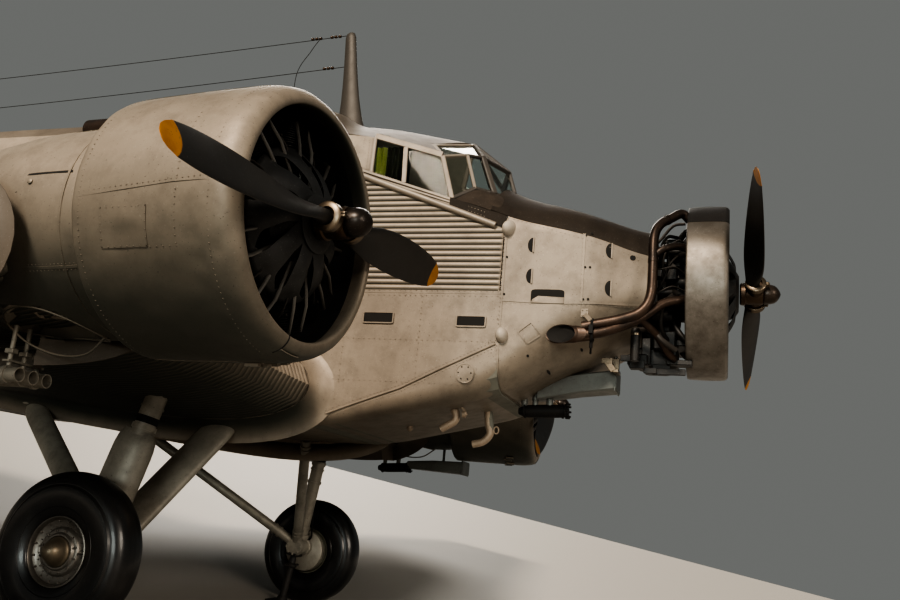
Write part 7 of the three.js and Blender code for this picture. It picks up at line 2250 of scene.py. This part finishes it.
# Between the nose cylinders and the firewall: bearers, sump, pumps and oil lines
engineRear = {
    "bearers": [((-0.56, y, z), (-0.9, y * 2.1, 0.24 if z > 0 else -0.39)) for y in (-0.15, 0.15)
                for z in (-0.15, 0.15)],
    "braces": [((-0.56, 0.15, 0.15), (-0.9, 0.315, -0.39)), ((-0.56, -0.15, 0.15), (-0.9, -0.315, -0.39)),
               ((-0.56, -0.15, 0.15), (-0.9, 0.0, 0.3)), ((-0.56, 0.15, 0.15), (-0.9, 0.0, 0.3))],
    # centre, size of the cast blocks
    "blocks": [((-0.66, 0.0, 0.1), (0.16, 0.3, 0.26)), ((-0.7, -0.2, -0.05), (0.14, 0.16, 0.2)),
               ((-0.7, 0.2, -0.05), (0.14, 0.16, 0.2)), ((-0.775, 0.0, -0.44), (0.25, 0.3, 0.5)),
               ((-0.76, -0.16, -0.61), (0.33, 0.2, 0.17)), ((-0.64, -0.3, 0.2), (0.12, 0.12, 0.16)),
               ((-0.66, 0.28, 0.22), (0.12, 0.12, 0.16)), ((-0.9, -0.3, -0.66), (0.16, 0.24, 0.09)),
               ((-0.7, -0.28, -0.48), (0.18, 0.12, 0.16)), ((-0.6, 0.0, -0.48), (0.16, 0.5, 0.05)),
               ((-0.66, -0.38, 0.05), (0.1, 0.08, 0.1)), ((-0.64, -0.42, -0.18), (0.08, 0.1, 0.08)),
               ((-0.72, -0.15, 0.32), (0.1, 0.14, 0.08)), ((-0.58, -0.28, -0.66), (0.2, 0.14, 0.04)),
               ((-0.84, -0.34, -0.58), (0.07, 0.05, 0.22)), ((-0.66, -0.34, -0.74), (0.26, 0.03, 0.05))],
    # centre, radius, length of the round pumps and filters along x
    "drums": [(-0.6, -0.26, 0.02, 0.05, 0.2), (-0.6, 0.26, 0.02, 0.05, 0.2),
              (-0.72, -0.32, -0.28, 0.045, 0.16), (-0.58, 0.0, 0.3, 0.06, 0.18),
              (-0.66, -0.34, 0.34, 0.03, 0.14), (-0.62, -0.42, 0.24, 0.028, 0.12),
              (-0.7, -0.4, -0.1, 0.035, 0.12)],
    "upright": {"place": (-0.905, -0.6, -0.55), "radius": 0.037, "low": -0.16, "high": 0.1},
    # radius, then the points of each hose
    "hoses": [(0.014, [(-0.62, -0.3, 0.4), (-0.7, -0.42, 0.36), (-0.74, -0.48, 0.2), (-0.7, -0.46, 0.02)]),
              (0.01, [(-0.6, -0.45, 0.2), (-0.66, -0.52, 0.1), (-0.72, -0.5, -0.05), (-0.8, -0.4, -0.12)]),
              (0.016, [(-0.62, -0.4, -0.1), (-0.7, -0.5, -0.22), (-0.72, -0.46, -0.4),
                       (-0.66, -0.3, -0.5)]),
              (0.009, [(-0.56, -0.48, 0.3), (-0.62, -0.55, 0.28), (-0.7, -0.58, 0.16),
                       (-0.72, -0.52, 0.0)]),
              (0.007, [(-0.54, -0.5, 0.02), (-0.62, -0.58, 0.06), (-0.74, -0.6, 0.04),
                       (-0.88, -0.55, 0.1)]),
              (0.007, [(-0.54, -0.52, -0.12), (-0.64, -0.58, -0.1), (-0.76, -0.58, -0.16),
                       (-0.88, -0.52, -0.2)]),
              (0.012, [(-0.56, -0.3, 0.52), (-0.66, -0.3, 0.5), (-0.76, -0.34, 0.36), (-0.88, -0.3, 0.26)]),
              (0.022, [(-0.9, -0.52, -0.44), (-0.78, -0.58, -0.46), (-0.7, -0.6, -0.54),
                       (-0.6, -0.52, -0.6)])],
}


def standing(profile, place, count=24):
    # a turned body whose axis stands upright: profile [height, radius]
    return outward(moved(lathe(profile, count), lambda v: v[:, [1, 2, 0]] + np.asarray(place)))


def makeNoseEngineRear():
    part = engineRear
    tubes = [tube(ends, 0.02, 12) for ends in part["bearers"]]
    tubes += [tube(ends, 0.013, 10) for ends in part["braces"]]
    blocks = [boxes([centre], [size], 0.22) for centre, size in part["blocks"]]
    for x, y, z, r, length in part["drums"]:
        half = length / 2
        blocks.append(lathe([(-half, 0), (-half, r * 0.9), (0.01 - half, r), (half - 0.01, r),
                             (half, r * 0.9), (half, 0)],
                            20, centre=(x, y, z)))
    column = part["upright"]
    r, low, high = column["radius"], column["low"], column["high"]
    blocks.append(standing([(low, 0), (low, r * 0.92), (low + 0.11, r), (high - 0.02, r),
                            (high, r * 0.8), (high, 0)],
                           column["place"]))
    ring = standing([(0.042, 0), (0.042, r + 0.003), (0.058, r + 0.003), (0.058, 0)], column["place"])
    lines = [tube(smoothPath(points, 24), radius, 10) for radius, points in part["hoses"]]
    # ragged lower edge plates under the sump
    for k, (x, y, z, wide, tall) in enumerate([(-0.98, -0.45, -0.66, 0.1, 0.05),
                                               (-0.9, -0.42, -0.7, 0.12, 0.07),
                                               (-0.8, -0.4, -0.745, 0.1, 0.045),
                                               (-0.72, -0.3, -0.7, 0.14, 0.05)]):
        blocks.append(boxes([[x, y, z]], [[wide, 0.02 + 0.01 * (k % 2), tall]], 0.3))
    addPiece("nose_engine_mount", merged(tubes), "casting")
    addPiece("nose_engine_accessories", merged(blocks), "casting")
    addPiece("nose_engine_lines", merged(lines), "lead")
    addPiece("nose_engine_band", ring, "collar", slot="engine_metal")


makeNoseEngineRear()

# Under the belly: drains, oil cooler ducts with their
# filters, and the open pipes behind the starboard engine
underside = {
    "drains": [[(-2.427, -0.4, -0.97), (-2.427, -0.4, -1.051), (-2.378, -0.4, -1.158),
                (-2.381, -0.4, -1.226), (-2.493, -0.4, -1.298)],
               [(-2.205, 0.0, -0.98), (-2.205, 0.0, -1.06), (-2.19, 0.0, -1.19), (-2.172, 0.0, -1.275),
                (-2.23, 0.0, -1.345), (-2.32, 0.0, -1.372)]],
    "drainRadius": 0.033,
    # each cooler: y, duct rows [x, z, half width, half height], filter ends, stubs [x, top, radius], hanger
    "coolers": {
        "nose": {"y": 0.0, "rows": [(-1.09, -0.781, 0.15, 0.081), (-1.4, -0.82, 0.13, 0.082),
                                    (-1.6, -0.855, 0.105, 0.085), (-1.76, -0.905, 0.09, 0.06)],
                 "filter": ((-1.5, -1.045), (-1.93, -1.065)), "hanger": (-1.12, -0.72, -0.56),
                 "stubs": [(-1.665, -0.8, 0.03), (-1.79, -0.86, 0.024), (-1.885, -0.92, 0.024)]},
        "port": {"y": 3.296, "rows": [(-3.3, -1.38, 0.15, 0.072), (-3.7, -1.375, 0.13, 0.062),
                                      (-4.06, -1.38, 0.06, 0.045)],
                 "filter": ((-4.03, -1.41), (-4.46, -1.44)), "hanger": (-3.6, -1.36, -1.15),
                 "stubs": [(-4.2, -1.18, 0.026), (-4.38, -1.18, 0.024)]}},
    "filterRadius": 0.056, "flangeRadius": 0.065,
    "pipes": {"front": -4.235, "length": 0.42, "ys": (-3.245, -3.13, -3.015), "z": -1.422, "radius": 0.044,
              "bore": 0.038,
              "collar": -4.33},
    "jackPads": (-5.2, 0.6, -1.385),
}


def makeDuct(cooler):
    # chamfered rectangle carried along the rows, with a flanged front edge
    rows = []
    chamfer = 0.012
    for x, z, wide, high in cooler["rows"]:
        a, b = wide - chamfer, high - chamfer
        corners = [(-wide, b), (-a, high), (a, high), (wide, b), (wide, -b), (a, -high),
                   (-a, -high), (-wide, -b)]
        rows.append([(x, cooler["y"] + p, z + q) for p, q in corners])
    x, z, wide, high = cooler["rows"][0]
    loop = np.array([(x - 0.012, cooler["y"] + p * (wide + 0.002), z + q * (high + 0.002))
                     for p, q in ((-1, 1), (1, 1), (1, -1), (-1, -1))])
    edges = [bar(loop[k], loop[(k + 1) % 4], 0.022, 0.01, (1, 0, 0)) for k in range(4)]
    return [solid(rows)] + edges


def makeFilter(cooler):
    # black cylinder with ribs, an end flange with bolts, and its stubs up to the hull
    r, flange = underside["filterRadius"], underside["flangeRadius"]
    (x0, z0), (x1, z1) = cooler["filter"]
    start, end = np.array([x0, cooler["y"], z0]), np.array([x1, cooler["y"], z1])
    size = r * np.array([0.78, 0.97, 1, 1, 1, 1, 1, 0.97, 0.86, 0.5])
    dark = [tube(between(start, end, 10), size, 28)]
    for share, radius in ((0.03, flange), (0.1, flange * 0.96), (0.86, r * 1.05)):
        dark.append(tube(between(start, end, 2, share, share + 0.03), radius, 28))
    for angle in np.arange(8) * math.pi / 4:
        dark.append(boxes([start + [-0.002, flange * 0.9 * math.cos(angle),
                                    flange * 0.9 * math.sin(angle)]],
                          [[0.034, 0.016, 0.016]], 0.3))
    stubs = []
    for x, top, radius in cooler["stubs"]:
        spot = start + (end - start) * (x - x0) / (x1 - x0)
        tall = top - spot[2]
        stubs.append(standing([(0.03, 0), (0.03, radius), (tall * 0.42, radius),
                               (tall * 0.44, radius * 1.2), (tall * 0.6, radius * 1.2),
                               (tall * 0.62, radius), (tall, radius), (tall, 0)], spot, 20))
    return dark, stubs


def makeUnderside():
    tan, dark = [], []
    for path in underside["drains"]:
        line = smoothPath(path, 30)
        tan.append(tube(line, underside["drainRadius"], 18))
        away = line[-1] - line[-2]
        dark.append(tube([line[-1] - away * 0.2, line[-1] + away * 0.06],
                         underside["drainRadius"] * 0.8, 16))
    bracket = smoothPath([(-2.45, -0.4, -1.05), (-2.4, -0.43, -1.09), (-2.31, -0.44, -1.12),
                          (-2.27, -0.44, -1.18)], 12)
    tan.append(tube(bracket, 0.012, 8))
    tan.append(lathe([(-0.012, 0), (-0.012, 0.03), (0.012, 0.03), (0.012, 0)], 16,
                     centre=(-2.29, -0.44, -1.17)))
    angle = np.linspace(0, 2 * math.pi, 21)[:-1]
    tan.append(closedTube(np.stack([-2.12 + 0.022 * np.cos(angle), 0 * angle, -1.24 + 0.03 * np.sin(angle)],
                                   1), 0.007, 8))
    addPiece("belly_drains", merged(tan), "drain", smoothAngle=50)
    # dark drain ends: painted shade inside the pipes
    addPiece("belly_drain_mouths", merged(dark), "soot", slot="bare_metal")
    for label, cooler in underside["coolers"].items():
        filters, stubs = makeFilter(cooler)
        x, low, high = cooler["hanger"]
        hanger = standing([(0, 0), (0, 0.016), (high - low, 0.016), (high - low, 0)],
                          (x, cooler["y"], low), 12)
        addPiece(f"cooler_duct_{label}", merged(makeDuct(cooler) + stubs + [hanger]), "duct",
                 replaces=[f"oil_cooler_{label}"])
        addPiece(f"oil_filter_{label}", merged(filters), "blackPaint", smoothAngle=45)
    # bright bracket of bent plates between the nose duct and the firewall
    plates = [bar((-1.175, -0.3, -0.64), (-1.1, -0.3, -0.735), 0.05, 0.012, (0, -1, 0)),
              boxes([[-1.155, -0.302, -0.655]], [[0.09, 0.016, 0.045]], 0.25),
              boxes([[-1.085, -0.22, -0.735]], [[0.05, 0.16, 0.03]], 0.25),
              boxes([[-1.1, -0.16, -0.66]], [[0.06, 0.03, 0.1]], 0.2)]
    addPiece("duct_bracket", merged(plates), "collar")
    # three open pipes in one strap
    part = underside["pipes"]
    outer, inner, front, z = part["radius"], part["bore"], part["front"], part["z"]
    pipes, holes = [], []
    for y in part["ys"]:
        pipes.append(lathe([(-part["length"], 0), (-part["length"], outer), (0.0, outer), (0.0, inner),
                            (-0.12, inner), (-0.12, 0)], 32, centre=(front, y, z)))
        holes.append(lathe([(-0.119, 0), (-0.119, inner - 0.001), (-0.1, inner - 0.001), (-0.1, 0)], 24,
                           centre=(front, y, z)))
        pipes.append(lathe([(-0.014, outer), (-0.014, outer + 0.01), (0.014, outer + 0.01),
                            (0.014, outer)], 32,
                           wrap=True, centre=(part["collar"], y, z)))
        pipes.append(standing([(outer - 0.004, 0), (outer - 0.004, 0.015), (0.3, 0.015), (0.3, 0)],
                              (part["collar"], y, z), 12))
        pipes.append(boxes([[part["collar"], y, z + 0.14]], [[0.06, 0.05, 0.03]], 0.2))
    middle = part["ys"][1]
    pipes.append(boxes([[part["collar"], middle, z + 0.08]], [[0.05, 0.3, 0.014]], 0.3))
    addPiece("wing_pipes", merged(pipes), "strutPaint", slot="bare_metal",
             replaces=["wing_pipes_starboard"])
    # dark discs deep in the bores: painted shade inside the pipes
    addPiece("wing_pipe_insides", merged(holes), "soot", slot="bare_metal")
    x, y, z = underside["jackPads"]
    pads = [boxes([[x, sign * y, z]], [[0.16, 0.16, 0.08]], 0.2) for sign in (-1, 1)]
    addPiece("jack_pads", merged(pads), "strutPaint", slot="bare_metal")
    # rivet rows along and across the belly
    spots = []
    for y in (-0.68, -0.4, -0.05, 0.05, 0.4, 0.68):
        xs = np.arange(-2.05, -10.8, -0.06)
        spots.append(np.stack([xs, 0 * xs + y, hullAt(xs, 0.2)["low"] - 0.004], 1))
    for x in np.arange(-2.5, -10.8, -0.86):
        ys = np.arange(-0.66, 0.67, 0.045)
        spots.append(np.stack([0 * ys + x, ys, 0 * ys + hullAt(x, 0.2)["low"][0] - 0.004], 1))
    spots = np.concatenate(spots)
    down = np.tile([0, 0, -1.0], (len(spots), 1))
    addPiece("belly_rivets", rivets(spots, down, 0.0045, 0.002), "skin")
    low = hullAt(-2.91, 0.2)["low"][0]
    bump = lathe([(0, 0), (0, 0.03), (0.03, 0.026), (0.045, 0.012), (0.048, 0)], 16)
    bump = outward(moved(bump, lambda v: v[:, [1, 2, 0]] * [1, 1, -1] + [-2.91, 0, low]))
    addPiece("belly_bump", bump, "drain")


makeUnderside()
print("underside made")


def makeCabinWindows():
    frames, panes = [], []
    for sign, side in ((-1, "starboard"), (1, "port")):
        for front, rear, low, high in windowRects(side):
            outer = ringOutline(((front + rear) / 2, (low + high) / 2), (0.245, 0.21), 40, power=8)
            inner = ringOutline(((front + rear) / 2, (low + high) / 2), (0.212, 0.178), 40, power=8)
            flat = lambda outline, y: np.stack([outline[:, 0], np.full(len(outline), sign * y),
                                                outline[:, 1]], 1)
            rows = [flat(outer, 0.8), flat(outer, 0.836), flat((outer + inner) / 2, 0.842),
                    flat(inner, 0.838), flat(inner, 0.8)]
            frames.append(outward(grid(np.array(rows), wrapU=True, wrapV=True)))
            panes.append(solid([flat(inner, 0.806), flat(inner, 0.81)]))
    addPiece("cabin_window_frames", merged(frames), "frame")
    addPiece("cabin_window_glass", merged(panes), glassMaterial, slot="inside_paint")
    handles = [("port", "door_port", [(-9.66, 0.835, 0.3), (-9.66, 0.875, 0.31), (-9.72, 0.88, 0.31),
                                      (-9.78, 0.875, 0.31)]),
               ("cargo", "cargo_door_upper", [(-9.95, -0.835, 0.42), (-9.95, -0.875, 0.42),
                                              (-10.02, -0.88, 0.42), (-10.08, -0.875, 0.42)])]
    for label, door, path in handles:
        addPiece(f"door_handle_{label}", tube(smoothPath(path, 12), 0.01, 8), "collar", body=door)


makeCabinWindows()


def makeTailWheel():
    centre = toAircraft(joints["tail_wheel_spin"]["pos_m"])
    profile = [(-0.05, 0.11), (-0.06, 0.125), (-0.064, 0.16), (-0.06, 0.195), (-0.045, 0.228),
               (-0.02, 0.246), (0.0, 0.25)]
    half = smoothPath(profile, 30)
    ring = np.vstack([half, (half * [-1, 1])[::-1][1:]])
    rubber = outward(grid(roundAxis(ring[:, :1], ring[:, 1:], np.arange(72) * 5.0), wrapU=True, wrapV=True))
    rim = lathe([(-0.055, 0.021), (-0.055, 0.1), (-0.062, 0.118), (-0.054, 0.124), (0.054, 0.124),
                 (0.062, 0.118), (0.055, 0.1), (0.055, 0.021)], 48, wrap=True)
    turn = lambda v: v[:, [1, 0, 2]] + centre
    addPiece("tail_tyre", flipped(moved(rubber, turn)), "tyre", body="tail_wheel", replaces=["tail_wheel"],
             smoothAngle=60)
    addPiece("tail_rim", flipped(moved(rim, turn)), "drum", body="tail_wheel")


makeTailWheel()
print("cabin and tail wheel made")

# Finish of the frame's own nodes that stay, by how their names start
nodePaint = {"tyre": "tyre", "wheel": "drum", "tail_fork": "strutPaint", "bulkhead": "inside",
             "cabin_floor": "inside", "cabin_roof": "hullRibs",
             "door": "skin", "cargo_door": "skin", "cabin_side": "skin"}


def dressNodes():
    for name, cadNode in frame["nodes"].items():
        label = next((value for key, value in nodePaint.items() if name.startswith(key)), "skin")
        cadNode.data.materials.clear()
        cadNode.data.materials.append(paint[label])


# Floor and light
studio = {
    "floorHalf": 70.0, "floorColour": (0.4, 0.375, 0.34), "skyColour": (0.7, 0.72, 0.69),
    "skyStrength": 0.22,
    # wide soft lights like a pale ceiling's: name, where from, strength, spread in radians, colour
    "suns": [("key", (-4.5, -15.0, 11.0), 3.5, 0.22, (1, 0.87, 0.725)),
             ("front", (11.5, -10.0, 6.5), 1.0, 0.35, (1, 0.89, 0.76)),
             ("rim", (-7.5, 14.0, 10.0), 1.4, 0.45, (1, 0.94, 0.86)),
             ("low", (0.5, -13.0, 0.8), 0.75, 0.3, (0.93, 1.0, 0.95))],
    # name, place, watts, size, colour, aim
    "lamps": [("cockpit", (6.3, 0.0, 3.8), 4.5, 0.35, (1, 0.94, 0.84), (6.35, 0.0, 4.6))],
}


def addLamp(name, kind, place, aim, **values):
    data = bpy.data.lights.new(name, kind)
    for key, value in values.items():
        setattr(data, key, value)
    lamp = bpy.data.objects.new(name, data)
    lamp.location = place
    lamp.rotation_euler = (Vector(aim) - Vector(place)).to_track_quat("-Z", "Y").to_euler()
    bpy.context.scene.collection.objects.link(lamp)


def makeStudio():
    floor = bpy.data.meshes.new("floor")
    half = studio["floorHalf"]
    floor.from_pydata([(-half, -half, 0), (half, -half, 0), (half, half, 0), (-half, half, 0)], [],
                      [(0, 1, 2, 3)])
    ground = bpy.data.objects.new("floor", floor)
    bpy.context.scene.collection.objects.link(ground)
    floor.materials.append(plainMaterial("paleFloor", studio["floorColour"], 0.6))
    world = bpy.data.worlds.new("softStudio")
    world.use_nodes = True
    sky = world.node_tree.nodes["Background"]
    sky.inputs["Color"].default_value = (*studio["skyColour"], 1)
    sky.inputs["Strength"].default_value = studio["skyStrength"]
    bpy.context.scene.world = world
    bpy.context.scene.view_settings.look = "AgX - High Contrast"
    for name, place, strength, spread, colour in studio["suns"]:
        addLamp(name, "SUN", place, (0, 0, 0), energy=strength, angle=spread, color=colour)
    for name, place, watts, size, colour, aim in studio["lamps"]:
        addLamp(name, "AREA", place, aim, energy=watts, size=size, color=colour)


dressNodes()
makeStudio()
